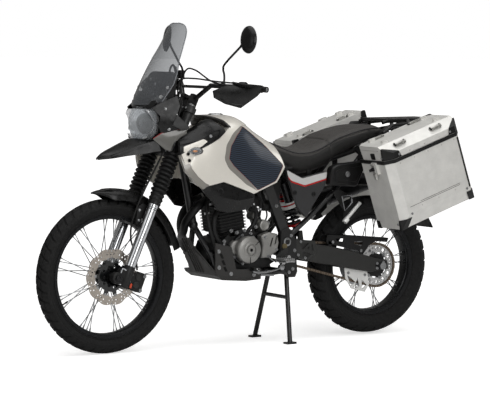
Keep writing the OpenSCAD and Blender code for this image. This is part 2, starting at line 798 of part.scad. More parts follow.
module skid_plate() {
    skid_half_w = 138;
    color([0.25, 0.26, 0.27])
        difference() {
            side_prism(skid_outline, -skid_half_w, skid_half_w);
            side_prism([[310, 524], [212, 336], [182, 317.5], [60, 307], [-40, 312], [-60, 560], [300, 560]],
                -skid_half_w + panel_t, skid_half_w - panel_t);
            // Bevelled front corners, and a right side that is low under the exhaust.
            both_sides()
                translate([0, 0, 200])
                    linear_extrude(400) polygon([[400, 40], [276, 40], [222, skid_half_w + 1], [400, skid_half_w + 1]]);
            translate([-60, -skid_half_w - 1, 392]) cube([400, 60, 160]);
            translate([120, -skid_half_w - 1, 350]) cube([200, 60, 160]);
            translate([230, -skid_half_w - 1, 430]) cube([100, skid_half_w + 18, 120]);
            for (i = [0 : 2]) translate([40 + 50 * i, 0, 280]) cube([28, 70, 50]);
            for (i = [0 : 3]) {
                translate([225 + 21 * i, skid_half_w - 60, 378 + 34 * i]) rotate([0, -60, 0]) cube([10, 50, 60]);
            }
        }
    // Pads that bolt up to the cradle tubes.
    color([0.25, 0.26, 0.27]) both_sides() translate([4, 102, 306]) cube([22, 16, 13.6]);
}

// ---------- bodywork ----------

// Shape of the tank and shrouds: [x, half width, bottom z, top z], front to rear.
tank_form = [
    [462, tank_half_w - 10, 560, 968], [400, tank_half_w, 560, 1000], [310, tank_half_w + 2, 560, 1040],
    [262, tank_half_w, 560, 1058], [205, tank_half_w - 4, 560, 1060], [110, tank_half_w - 12, 560, 1060],
    [54, tank_half_w - 22, 560, 1052], [-12, tank_half_w - 38, 570, 1010], [-88, tank_half_w - 52, 580, 966],
    [-160, tank_half_w - 62, 590, 930],
];
form_power = 3.1;

module body_form(inset = 0) {
    lofted([for (s = tank_form) [s[0], s[1] - inset, s[2] + inset, s[3] - inset]], form_power, 36);
}

// Side-view outline of the painted tank with its shroud.
tank_outline = [
    [256, 1080], [180, 1038], [164, 1012], [246, 960], [316, 928], [352, 915], [448, 890], [441, 856],
    [431, 821], [379, 762], [339, 737], [319, 750], [227, 767], [52, 706], [-45, 739], [-85, 752],
    [-141, 820], [-104, 960], [-104, 1080],
];
pad_outline = [[62, 1008], [-29, 931], [-122, 829], [-76, 762], [27, 727], [171, 841], [196, 869], [181, 924], [137, 970]];
duct_outline = [[250, 1050], [282, 1040], [394, 980], [428, 961], [447.6, 890.8], [352, 915.7], [316, 928.7], [246, 960.7], [196, 992]];
pad_centre = [36, 862];
pad_t = 4;
shroud_outline = [[326, 744], [319, 749.3], [227.4, 766.4], [52.4, 705.3], [55, 657], [80, 635], [185, 624], [245, 637], [277, 680]];
front_hollow_x = 252;
fork_room = 172;                     // half width of the room that the turning fork needs

module outline_form(outline, inset = 0) {
    intersection() {
        body_form(inset);
        side_prism(outline, -400, 400);
    }
}

module inner_room() {
    translate([front_hollow_x, -fork_room, 500]) cube([260, 2 * fork_room, 700]);
    translate([-400, -132, 500]) cube([700, 264, 348]);
    translate([-400, -46, 800]) cube([700, 92, 152]);
}

module fuel_tank() {
    color([0.72, 0.70, 0.66]) {
        difference() {
            outline_form(tank_outline);
            inner_room();
            // Shallow recess for the knee pads.
            difference() {
                side_prism(pad_outline, -400, 400);
                body_form(pad_t);
            }
        }
        translate([140, 0, 1056]) cylinder(h = 12, r = 34);
    }
}

module knee_pads() {
    color([0.14, 0.18, 0.24])
        difference() {
            outline_form([for (p = pad_outline) pad_centre + (p - pad_centre) * 0.992], 0.6);
            body_form(pad_t - seat_gap);
            translate([-200, -60, 600]) cube([600, 120, 600]);
        }
}

// Room that the clamps and legs of the fork sweep as it turns.
module turning_room() {
    fork_frame() translate([stem_x, 0, slider_top]) cylinder(h = 520, r = turning_r);
}

module side_ducts() {
    color([0.05, 0.05, 0.05])
        difference() {
            outline_form(duct_outline, 2);
            turning_room();
            body_form(12);
            translate([100, -110, 900]) cube([400, 220, 200]);
        }
}

module lower_shrouds() {
    color([0.06, 0.06, 0.06])
        difference() {
            outline_form(shroud_outline, 3);
            body_form(9);
            translate([0, -120, 600]) cube([400, 240, 200]);
            both_sides() y_ring([244, 0, 722], 100, 300, 12);
        }
}

// Seat cross-sections: [x, half width, bottom z, top z].
seat_form = [
    [-60, 88, 850, 962], [-110, 104, 838, 948], [-170, seat_half_w - 22, 806, 920],
    [-238, seat_half_w - 8, 776, 903], [-320, seat_half_w, 790, 910], [-400, seat_half_w + 2, 818, 946],
    [-483, seat_half_w, 856, 978], [-600, seat_half_w - 6, 912, 992], [-700, seat_half_w - 22, 954, 996],
    [-756, seat_half_w - 52, 966, 984],
];

module seat() {
    color([0.2, 0.2, 0.21])
        difference() {
            lofted(seat_form, 3.4, 28);
            // Room for the seat rails, then for the rear end of the tank.
            side_prism([[0, 700], [0, 835], [-300, 848], [-560, 908], [-745, 967], [-800, 967], [-800, 700]],
                -rail_y - rail_r - 5, rail_y + rail_r + 5);
            side_prism([[0, 1100], [-107, 1100], [-107, 960], [-144, 820], [-88, 750], [0, 700]], -300, 300);
        }
}

module side_panels() {
    outline = [[-146, 812], [-178, 796], [-236, 768], [-376, 796], [-368, 730], [-300, 640], [-262, 580], [-214, 628], [-160, 770]];
    inner = [[-156, 800], [-180, 786], [-236, 758], [-366, 786], [-360, 734], [-296, 648], [-258, 592], [-220, 634], [-168, 768]];
    color([0.3, 0.3, 0.31])
        both_sides()
            difference() {
                side_prism(outline, 134, 156);
                side_prism(inner, 130, 156 - panel_t);
            }
    color([0.3, 0.3, 0.31]) both_sides() y_ring([-300, 0, 781], rail_y + rail_r + seat_gap, 154, 7);
}

module rear_covers() {
    outline = [[-386, 812], [-420, 826], [-578, 840], [-584, 832], [-528, 718], [-376, 729]];
    color([0.06, 0.06, 0.06])
        both_sides()
            difference() {
                side_prism(outline, 134, 186);
                translate([-560, 120, 740]) cube([164, 60, 70]);
            }
    color([0.06, 0.06, 0.06]) both_sides() y_ring([-500, 0, 759], 127, 183, 8);
}

// ---------- fairing ----------

// Side cowl rows from the headlight back to the wing tips, low to high: [x, y, z].
cowl_rows = [
    [[514, 84, 948], [500, 132, 936], [486, 158, 912], [438, 178, 906]],
    [[520, 124, 1000], [498, 142, 990], [462, 168, 978], [414, 190, 968]],
    [[520, 128, 1045], [498, 138, 1050], [462, 154, 1048], [404, 186, 1016]],
    [[524, 100, 1100], [500, 122, 1110], [468, 136, 1112], [432, 142, 1100]],
    [[520, 76, 1122], [496, 100, 1140], [470, 122, 1160], [442, 132, 1176]],
];

module fairing() {
    color([0.05, 0.05, 0.05]) {
        difference() {
            both_sides() panel(cowl_rows, [-10, -6, 0], 2);
            lamp_room(3 * run_gap);
            outline_form(duct_outline, 2 - run_gap);
        }
        // Brow over the headlight.
        panel([[[534, -92, 1106], [552, 0, 1112], [534, 92, 1106]],
            [[512, -100, 1136], [540, 0, 1142], [512, 100, 1136]]], [-8, 0, -4], 3);
    }
}

module beak() {
    edge = [[760, 9, 870], [717, 52, 877], [650, 78, 888], [572, 98, 896], [536, 124, 905], [530, 140, 906]];
    ridge = [[762, 0, 879], [735, 0, 903], [690, 0, 922], [640, 0, 944], [589, 0, 966], [548, 0, 948.4]];
    mid = [for (i = [0 : 5]) (edge[i] + ridge[i]) / 2 + [0, 0, i == 0 ? 0 : 10]];
    color([0.05, 0.05, 0.05])
        panel([[for (p = edge) flip_y(p)], [for (p = mid) flip_y(p)], ridge, mid, edge], [0, 0, -5], 2);
}

// Headlight lens edge: [half width, z] from the bottom to the top.
levels = [[40, 954], [84, 966], [116, 1003], [122, 1035], [119, 1066], [94, 1096]];
lamp_z = 1030;

// Room that the lamp takes, as a straight prism along X.
module lamp_room(grow) {
    outline = [for (l = levels) [l[0] + grow, lamp_z + (l[1] - lamp_z) * (1 + grow / 60)]];
    translate([470, 0, 0])
        rotate([90, 0, 90])
            linear_extrude(height = 130)
                polygon(concat(outline, reversed([for (p = outline) [-p[0], p[1]]])));
}

module headlight() {
    color([0.85, 0.88, 0.9])
        panel([for (t = [-1, -0.6, 0, 0.6, 1])
            [for (i = [0 : 5])
                [522 + (1 - t * t) * (i == 0 || i == 5 ? 26 : 54), levels[i][0] * t, levels[i][1]]]],
            [-34, 0, 0], 2);
    color([0.05, 0.05, 0.05]) side_prism([[488, 984], [488, 1066], [530, 1080], [540, 976]], -90, 90);
}

// Screen rows from the base to the top: [centre x, edge sweep, half width, z].
module windshield() {
    top = screen_top_z;
    levels = [[536, 60, 138, 1150], [502, 52, 146, 1205], [470, 42, 139, 1262], [434, 36, 121, 1318],
        [408, 34, 104, 1375], [376, 24, 86, top - 44], [356, 8, 52, top - 6]];
    color([0.35, 0.35, 0.36])
        panel([for (t = [-1, -0.6, 0, 0.6, 1])
            [for (s = levels) [s[0] - s[1] * t * t, s[2] * t, s[3] - (s[3] > top - 20 ? 8 * t * t : 0)]]],
            [-panel_t, 0, 0], 2);
}

module instrument_panel() {
    color([0.04, 0.04, 0.04]) {
        side_prism([[462, dash_low_z], [474, 1200], [430, 1264], [398, 1262], [392, 1240], [414, dash_low_z]], -92, 92);
    }
}

module front_indicators() {
    lamp_at = [414, 0, 914];
    color([0.8, 0.8, 0.8])
        both_sides() {
            difference() {
                y_ring(lamp_at, tank_half_w - 40, tank_half_w + 8, 7);
                body_form(2 - seat_gap);
            }
            translate([lamp_at.x - 24, tank_half_w + 7, lamp_at.z - 17]) cube([48, 34, 34]);
        }
}

// ---------- rear end ----------

arm_y = [92, 122];
arm_mid_y = (arm_y[0] + arm_y[1]) / 2;

module swingarm() {
    axle = rear_axle_at;
    color([0.26, 0.27, 0.28]) {
        difference() {
            union() {
                both_sides()
                    side_prism([[pivot_at.x - 46, pivot_at.z + 10], [-336, 452], [-430, 438], [-560, 408],
                        [axle.x + 40, axle.z + 38],
                        [axle.x - 38, axle.z + 24], [axle.x - 44, axle.z - 16], [axle.x + 60, axle.z - 24],
                        [-484, 332], [-330, 366], [-262, 392], [pivot_at.x - 62, pivot_at.z - 50]],
                        arm_y[0], arm_y[1]);
                // Pivot bosses inside the frame plates, and the bridge behind them.
                both_sides() flat_bar([pivot_at.x, 82, pivot_at.z], [-258, 82, 442], 38, 26);
                y_ring(pivot_at, -arm_y[0] - 2, arm_y[0] + 2, 22);
                translate([-330, -arm_y[0] - 2, 412]) cube([62, 2 * arm_y[0] + 4, 58]);
                side_prism([[-296, 456], [-330, 456], [-322, 512], [-304, 512]], -34, -23);
                side_prism([[-296, 456], [-330, 456], [-322, 512], [-304, 512]], 23, 34);
            }
            y_ring(pivot_at, -200, 200, 11.2);
            both_sides() y_ring(axle, 60, 200, axle_r + 0.2);
            // The chain's runs pass through the bridge.
            chain_room();
            // Pocket in the casting at the front of each arm.
            both_sides() side_prism([[-262, 446], [-306, 446], [-288, 414], [-264, 418]], arm_y[1] - 10, 200);
        }
    }
}

module shock_absorber() {
    top = [-224, 0, 744];
    low = [-313, 0, 496];
    along = (low - top) / norm(low - top);
    color([0.75, 0.1, 0.08]) {
        difference() {
            union() {
                y_ring(top, -20.7, 20.7, 15);
                rod(top, top + 96 * along, 20);
            }
            y_ring(top, -40, 40, 5);
        }
        rod(top + 96 * along, top + 212 * along, 10);
        for (i = [0 : 7]) rod(top + (70 + 18 * i) * along, top + (79 + 18 * i) * along, 34);
        rod(top + 62 * along, top + 69.7 * along, 38);
        rod(top + 206 * along, top + 216 * along, 36);
        rod(top + 215 * along, low, 13);
        y_ring(low, -22.7, 22.7, 13);
    }
}

module rear_axle() {
    color([0.55, 0.55, 0.57]) {
        y_ring(rear_axle_at, -arm_y[1] - 12, arm_y[1] + 12, axle_r);
        both_sides() {
            y_ring(rear_axle_at, arm_y[1] + seat_gap, arm_y[1] + 16, 17);
            y_ring(rear_axle_at, 81, arm_y[0] - seat_gap, 15);
        }
    }
}

front_sprocket_at = [-70, 0, 466];
front_sprocket_r = 40;
chain_t = 13;

// Outline round both sprockets at the given distance outside their rims.
function chain_outline(grow) =
    let (d = rear_axle_at - front_sprocket_at,
         base = atan2(d.z, d.x),
         lean = acos((front_sprocket_r - sprocket_r) / norm(d)))
    concat(
        [for (a = [lean : (360 - 2 * lean) / 12 : 360 - lean])
            [front_sprocket_at.x, front_sprocket_at.z]
                + (front_sprocket_r + grow) * [cos(base + a), sin(base + a)]],
        [for (a = [-lean : 2 * lean / 20 : lean])
            [rear_axle_at.x, rear_axle_at.z] + (sprocket_r + grow) * [cos(base + a), sin(base + a)]]);

module chain() {
    color([0.4, 0.34, 0.28])
        difference() {
            side_prism(chain_outline(0.8 + chain_t), chain_y - chain_w / 2, chain_y + chain_w / 2);
            side_prism(chain_outline(0.8), chain_y - chain_w, chain_y + chain_w);
        }
}

module chain_room() {
    difference() {
        side_prism(chain_outline(8 + chain_t), chain_y - chain_w, chain_y + chain_w);
        side_prism(chain_outline(-4), chain_y - 2 * chain_w, chain_y + 2 * chain_w);
    }
}

// Guard over the upper run, and the guide that holds the lower run.
module chain_guard() {
    color([0.06, 0.06, 0.06]) {
        difference() {
            side_prism([[-405, 467], [-412, 494], [-431, 496], [-764, 464], [-755, 444], [-688, 451], [-651, 435],
                [-618, 394], [-585, 411], [-409, 452]], guard_y[0], guard_y[1]);
            side_prism([[-460, 474], [-503, 472], [-500, 457], [-463, 462]], guard_y[0] - 1, guard_y[1] + 1);
            side_prism([[-562, 454], [-614, 455], [-607, 431], [-566, 442]], guard_y[0] - 1, guard_y[1] + 1);
        }
        side_prism([[-412, 490], [-412, 494], [-431, 496], [-764, 464], [-763, 460], [-431, 492]], 68, guard_y[1]);
        // Tabs that stand on the arm.
        side_prism([[-416, 440.6], [-436, 437.1], [-436, 460], [-416, 465]], guard_y[0], guard_y[1]);
        side_prism([[-596, 397.2], [-616, 391], [-616, 400], [-596, 412]], guard_y[0], guard_y[1]);
    }
    color([0.75, 0.75, 0.75])
        difference() {
            side_prism([[-520, 346], [-528, 282], [-563, 231], [-641, 210], [-665, 245], [-650, 330]],
                chain_y + chain_w / 2 + 2, chain_y + chain_w / 2 + 7.7);
            side_prism([[-541, 290], [-580, 262], [-556, 250]], 60, 120);
            side_prism([[-600, 270], [-609, 246], [-580, 233]], 60, 120);
            side_prism([[-627, 262], [-645, 246], [-624, 228]], 60, 120);
        }
}

guard_y = [106, 111];

module foot_pegs() {
    color([0.62, 0.62, 0.63])
        both_sides() {
            // Rider's peg on its bracket.
            side_prism([[-112, 396], [-146, 396], [-168, 420], [-168, 440], [-150, 440], [-112, 412]],
                plate_y[1] + seat_gap, plate_y[1] + 14);
            translate([-152, plate_y[1] + 13, 380]) cube([44, 92, 20]);
            // Passenger's peg, folded up against its hanger.
            side_prism([[-424, 694], [-452, 712], [-576, 640], [-572, 600], [-508, 546], [-486, 548], [-488, 604]],
                128.3, 134);
            side_prism([[-484, 556], [-498, 543], [-581, 628], [-567, 641]], 133, 142);
        }
}

fender_gap = 46;

// Inner arc over the tyre, the tail housing on two stays, and the plate holder.
module rear_fender() {
    color([0.06, 0.06, 0.06]) {
        translate(rear_axle_at + [0, 74, 0])
            rotate([90, 0, 0])
                rotate([0, 0, 84])
                    rotate_extrude(angle = 70) translate([rear_tyre_r + fender_gap, 0]) square([panel_t, 148]);
        both_sides() side_prism([[-800, 690], [-840, 685], [-880, 864], [-810, 856]], 58, 64);
        difference() {
            side_prism([[-768, 928], [-1000, 958], [-1000, 892], [-880, 862], [-768, 852]], -70, 70);
            side_prism([[-780, 921], [-990, 947], [-990, 900], [-880, 870], [-780, 860]], -64, 64);
        }
        side_prism([[-992, 892], [-1000, 895], [-1034, 798], [-1028, 795]], -88, 88);
        both_sides() rod([-900, 66, 930], [-900, 91.4, 962.3], 5);
    }
}

module tail_lights() {
    color([0.6, 0.05, 0.04])
        side_prism([[-1000.3, 905], [-1000.3, 950], [-1026, 946], [-1032, 914]], -60, 60);
    color([0.85, 0.5, 0.1])
        both_sides() {
            y_ring([-950, 0, 918], 70.3, 112, 6);
            translate([-968, 112, 902]) cube([36, 30, 32]);
        }
}

rack_end_x = -wheelbase / 2 - front_tyre_r;
rack_z = [1016, 1030];
rack_half_w = 98;

module luggage_rack() {
    rack_start = -742;
    color([0.07, 0.07, 0.07]) {
        difference() {
            translate([rack_end_x, -rack_half_w, rack_z[0]])
                cube([rack_start - rack_end_x, 2 * rack_half_w, rack_z[1] - rack_z[0]]);
            for (i = [0 : 3]) translate([rack_end_x + 56 + 62 * i, -70, rack_z[0] - 1]) cube([28, 140, 20]);
            // Bolt holes for a top case plate.
            for (x = rack_bolt_x, y = [-rack_bolt_y, rack_bolt_y])
                translate([x, y, rack_z[0] - 1]) cylinder(h = 20, r = rack_bolt_r);
        }
        both_sides() {
            rod([-790, 88, rack_z[0] + 2], [-790, 99.6, 971.2], 9);
            rod([-960, 84, rack_z[0] + 2], [-960, 91.8, 996], 9);
            tube([[-700, 118, 950], [-704, 150, 968], [-738, 168, 1000], [-836, 166, 1004], [-880, 94, 1022]], 9);
        }
    }
}

rack_bolt_x = [-830, -1010];
rack_bolt_y = 84;
rack_bolt_r = 3.3;

// ---------- side cases ----------

case_in_y = 262;
case_out_y = case_in_y + case_d;
case_foot = [-597, 0, 532];
chamfer = 36;
base_chamfer = 62;
lid_gap = 2;
loop_y = 245;
loop_r = 9;
loop_x = [-60, 60 - case_l];         // in the case's frame
loop_z = [72, case_h - 46];
hinge_y = case_in_y - 6;
hinge_z = case_h + lid_gap / 2;
knuckle_r = 5;

module case_frame() {
    translate(case_foot) rotate([0, case_pitch, 0]) children();
}

function from_case(x, y, z) = case_foot
    + [x * cos(case_pitch) + z * sin(case_pitch), y, z * cos(case_pitch) - x * sin(case_pitch)];

// Plan of the case, shrunk by an inset, with the two outer corners chamfered.
function case_plan(inset) =
    let (corner = chamfer + 0.4 * inset)
    [[-inset, case_in_y + inset], [-inset, case_out_y - corner], [-corner, case_out_y - inset],
     [corner - case_l, case_out_y - inset], [inset - case_l, case_out_y - corner],
     [inset - case_l, case_in_y + inset]];

// End view of the case, shrunk by an inset, with the lower outer corner chamfered.
function case_end(inset, top) =
    [[case_in_y - 10, inset], [case_out_y - chamfer - inset, inset],
     [case_out_y - inset * 0.5, base_chamfer], [case_out_y + 10, base_chamfer], [case_out_y + 10, top],
     [case_in_y - 10, top]];

module case_form(inset, top) {
    intersection() {
        linear_extrude(top) polygon(case_plan(inset));
        translate([-case_l - 10, 0, 0])
            rotate([90, 0, 90]) linear_extrude(case_l + 20) polygon(case_end(inset, top + 10));
    }
}

knuckles = [[-70, -30], [-240, -200], [-400, -360]];

module left_case() {
    color([0.78, 0.79, 0.8])
        case_frame() {
            difference() {
                case_form(0, case_h);
                difference() {
                    case_form(case_wall, case_h + 1);
                    translate([-case_l, 0, -1]) cube([case_l, 600, case_wall + 1]);
                }
            }
            // Hinge knuckles with the pin, mounting pucks, and the lock on the front face.
            for (k = knuckles) {
                rod([k[0], hinge_y, hinge_z], [k[1], hinge_y, hinge_z], knuckle_r);
                translate([k[0], hinge_y, hinge_z - 22]) cube([k[1] - k[0], case_in_y - hinge_y, 20]);
            }
            rod([knuckles[2][0], hinge_y, hinge_z], [knuckles[0][1], hinge_y, hinge_z], 2);
            for (x = loop_x, z = loop_z) rod([x, loop_y + loop_r + seat_gap, z], [x, case_in_y + 1, z], 13);
            translate([-1, case_in_y + case_d * 0.42, case_h - 64]) cube([13, 34, 56]);
        }
}

module right_case() { mirror([0, 1, 0]) left_case(); }

// Lid: a hollow cap with a chamfer along its outer top edge, on two bored knuckles.
module left_case_lid() {
    z0 = case_h + lid_gap;
    top_chamfer = 38;
    color([0.78, 0.79, 0.8])
        case_frame() {
            difference() {
                intersection() {
                    translate([0, 0, z0]) linear_extrude(lid_h) polygon(case_plan(0));
                    translate([-case_l - 10, 0, 0])
                        rotate([90, 0, 90])
                            linear_extrude(case_l + 20)
                                polygon([[case_in_y - 20, z0], [case_out_y, z0], [case_out_y, z0 + lid_h - top_chamfer],
                                    [case_out_y - top_chamfer * 1.5, z0 + lid_h], [case_in_y - 20, z0 + lid_h]]);
                }
                intersection() {
                    translate([0, 0, z0 - 1]) linear_extrude(lid_h + 1 - case_wall) polygon(case_plan(case_wall));
                    translate([-case_l - 10, 0, 0])
                        rotate([90, 0, 90])
                            linear_extrude(case_l + 20)
                                polygon([[case_in_y - 20, z0 - 1], [case_out_y, z0 - 1],
                                    [case_out_y, z0 + lid_h - top_chamfer - case_wall],
                                    [case_out_y - top_chamfer * 1.5 - case_wall, z0 + lid_h - case_wall],
                                    [case_in_y - 20, z0 + lid_h - case_wall]]);
                }
            }
            for (k = [[knuckles[0][0] - 30, knuckles[0][0] - run_gap], [knuckles[1][0] - 30, knuckles[1][0] - run_gap]]) {
                difference() {
                    union() {
                        rod([k[0], hinge_y, hinge_z], [k[1], hinge_y, hinge_z], knuckle_r);
                        translate([k[0], hinge_y - 1, hinge_z + 1.5]) cube([k[1] - k[0], 1 + case_in_y - hinge_y + 1, 16]);
                    }
                    rod([k[0] - 1, hinge_y, hinge_z], [k[1] + 1, hinge_y, hinge_z], 2.4);
                }
            }
            // Four lugs for straps.
            for (x = [-64, 64 - case_l], y = [case_in_y + 34, case_out_y - 86])
                translate([x - 16, y - 7, z0 + lid_h - 0.5]) cube([32, 14, 13]);
        }
}

module right_case_lid() { mirror([0, 1, 0]) left_case_lid(); }

module case_rails() {
    color([0.07, 0.07, 0.07]) {
        both_sides() {
            corners = [for (p = [[0, 0], [1, 0], [1, 1], [0, 1]]) from_case(loop_x[p[0]], loop_y, loop_z[p[1]])];
            for (i = [0 : 3]) rod(corners[i], corners[(i + 1) % 4], loop_r);
            rod(corners[3], [-562, rail_y + rail_r + 2.8, 886], 8);
            rod(corners[2], [-868, rail_y + 7.8, 966], 8);
        }
        rod(from_case(loop_x[1], -loop_y, loop_z[0]), from_case(loop_x[1], loop_y, loop_z[0]), 8);
    }
}

// ---------- centre stand ----------

foot_t = 9;
stand_top = [stand_pivot.x, 72, stand_pivot.z];
stand_foot = [stand_pivot.x + 28, stand_half_w, foot_t / 2];
stand_tie = stand_top + 0.36 * (stand_foot - stand_top);

module centre_stand() {
    color([0.08, 0.08, 0.08]) {
        y_ring(stand_pivot, -plate_y[0] + 4, plate_y[0] - 4, 14);
        y_ring(stand_pivot, -plate_y[1] + 2, plate_y[1] - 2, 8.4);
        both_sides() {
            rod(stand_top, stand_foot, stand_r);
            translate([stand_foot.x - 26, stand_foot.y - 17, 0]) cube([52, 34, foot_t]);
        }
        rod(flip_y(stand_tie), stand_tie, stand_r - 2);
    }
}

frame();
crankcase();
engine_top();
engine_covers();
intake();
exhaust_pipes();
muffler();
skid_plate();
fuel_tank();
knee_pads();
side_ducts();
lower_shrouds();
seat();
side_panels();
rear_covers();
fairing();
beak();
headlight();
windshield();
instrument_panel();
front_indicators();
swingarm();
shock_absorber();
rear_axle();
chain();
chain_guard();
foot_pegs();
rear_fender();
tail_lights();
luggage_rack();
case_rails();
left_case();
right_case();
fork_clamps();
fork_sliders();
fork_gaiters();
front_axle();
front_fender();
front_caliper();
front_brake_hose();
handlebar();
hand_controls();
hand_guards();
mirrors();
front_tyre();
front_rim();
front_hub();
front_brake_disc();
rear_tyre();
rear_rim();
rear_hub();
rear_sprocket();
rear_brake_disc();
centre_stand();
left_case_lid();
right_case_lid();
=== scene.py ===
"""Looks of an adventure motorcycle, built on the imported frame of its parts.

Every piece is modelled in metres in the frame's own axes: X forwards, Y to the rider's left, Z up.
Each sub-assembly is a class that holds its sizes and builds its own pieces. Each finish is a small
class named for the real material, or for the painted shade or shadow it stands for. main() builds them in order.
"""

import json
import logging
import math
from dataclasses import dataclass, field
from enum import Enum
from typing import Any, Callable, Iterable, Sequence

import bmesh
import bpy
from mathutils import Matrix, Vector
from mathutils.geometry import tessellate_polygon


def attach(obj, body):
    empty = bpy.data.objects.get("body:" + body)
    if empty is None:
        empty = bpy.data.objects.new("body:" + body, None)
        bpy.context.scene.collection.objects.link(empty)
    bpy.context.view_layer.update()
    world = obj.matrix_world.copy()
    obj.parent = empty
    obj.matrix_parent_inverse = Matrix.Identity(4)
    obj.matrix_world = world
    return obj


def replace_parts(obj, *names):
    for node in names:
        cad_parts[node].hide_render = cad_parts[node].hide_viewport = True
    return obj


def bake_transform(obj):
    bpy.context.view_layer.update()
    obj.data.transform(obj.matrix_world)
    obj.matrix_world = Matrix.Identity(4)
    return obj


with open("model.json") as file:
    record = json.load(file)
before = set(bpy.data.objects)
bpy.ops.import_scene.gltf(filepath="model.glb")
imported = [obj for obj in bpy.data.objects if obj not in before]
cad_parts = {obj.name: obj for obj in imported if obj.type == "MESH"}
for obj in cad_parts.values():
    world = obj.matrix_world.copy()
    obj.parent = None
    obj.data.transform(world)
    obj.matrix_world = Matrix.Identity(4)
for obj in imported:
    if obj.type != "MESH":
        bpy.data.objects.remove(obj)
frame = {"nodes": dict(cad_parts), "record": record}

log = logging.getLogger("adventure_motorcycle")
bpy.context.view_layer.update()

Point = tuple[float, float, float]
Sides = (-1, 1)                       # right, left


# ---------- colours and nodes ----------

def srgb(code: str, alpha: float = 1.0) -> tuple[float, float, float, float]:
    """Turns an sRGB hex code into a linear colour.

    Args:
        code: six hex digits.
        alpha: opacity that is passed on.

    Returns:
        Linear red, green, blue and alpha.
    """
    def linear(byte: int) -> float:
        """Turns one byte to its linear value."""
        c = byte / 255
        return c / 12.92 if c <= 0.04045 else ((c + 0.055) / 1.055) ** 2.4
    return tuple(linear(int(code[i:i + 2], 16)) for i in (0, 2, 4)) + (alpha,)


def per_metre(millimetres: float) -> float:
    """Texture scale at which one feature is that many millimetres across."""
    return 1000.0 / millimetres


def add(tree: bpy.types.NodeTree, kind: str, inputs: dict[Any, Any] | None = None, **settings: Any) -> bpy.types.Node:
    """Adds a node with its settings, values and links.

    Args:
        tree: the tree that gets the node.
        kind: the node's type without its ShaderNode prefix.
        inputs: socket name or number to a value, or to the output socket that feeds it.
        settings: properties of the node itself.

    Returns:
        The new node.
    """
    made = tree.nodes.new("ShaderNode" + kind)
    for name, value in settings.items():
        setattr(made, name, value)
    for name, value in (inputs or {}).items():
        if isinstance(value, bpy.types.NodeSocket):
            tree.links.new(value, made.inputs[name])
        else:
            made.inputs[name].default_value = value
    return made


def ramp(tree: bpy.types.NodeTree, source: bpy.types.NodeSocket, stops: Sequence[tuple[float, Any]],
        interpolation: str = "LINEAR") -> bpy.types.NodeSocket:
    """Maps a value through a colour ramp.

    Args:
        tree: the tree that gets the node.
        source: the value to map.
        stops: positions with a grey level or a colour.
        interpolation: how the ramp blends between stops.

    Returns:
        The ramp's colour output.
    """
    made = add(tree, "ValToRGB", {0: source})
    made.color_ramp.interpolation = interpolation
    elements = made.color_ramp.elements
    while len(elements) < len(stops):
        elements.new(0.5)
    for element, (position, level) in zip(elements, stops):
        element.position = position
        element.color = level if isinstance(level, tuple) else (level, level, level, 1)
    return made.outputs[0]


def darkened(tree: bpy.types.NodeTree, colour: Any, shade: bpy.types.NodeSocket,
        share: float = 1.0) -> bpy.types.NodeSocket:
    """A colour multiplied by a shade, as far as the share says."""
    return add(tree, "Mix", {0: share, 6: colour, 7: shade}, data_type="RGBA", blend_type="MULTIPLY").outputs[2]


# ---------- finishes ----------

class Lay(Enum):
    """Direction of brushing on a metal, as stretch factors along the row's axes."""

    ALONG_X = (1, 60, 60)
    ALL_WAYS = (20, 20, 20)


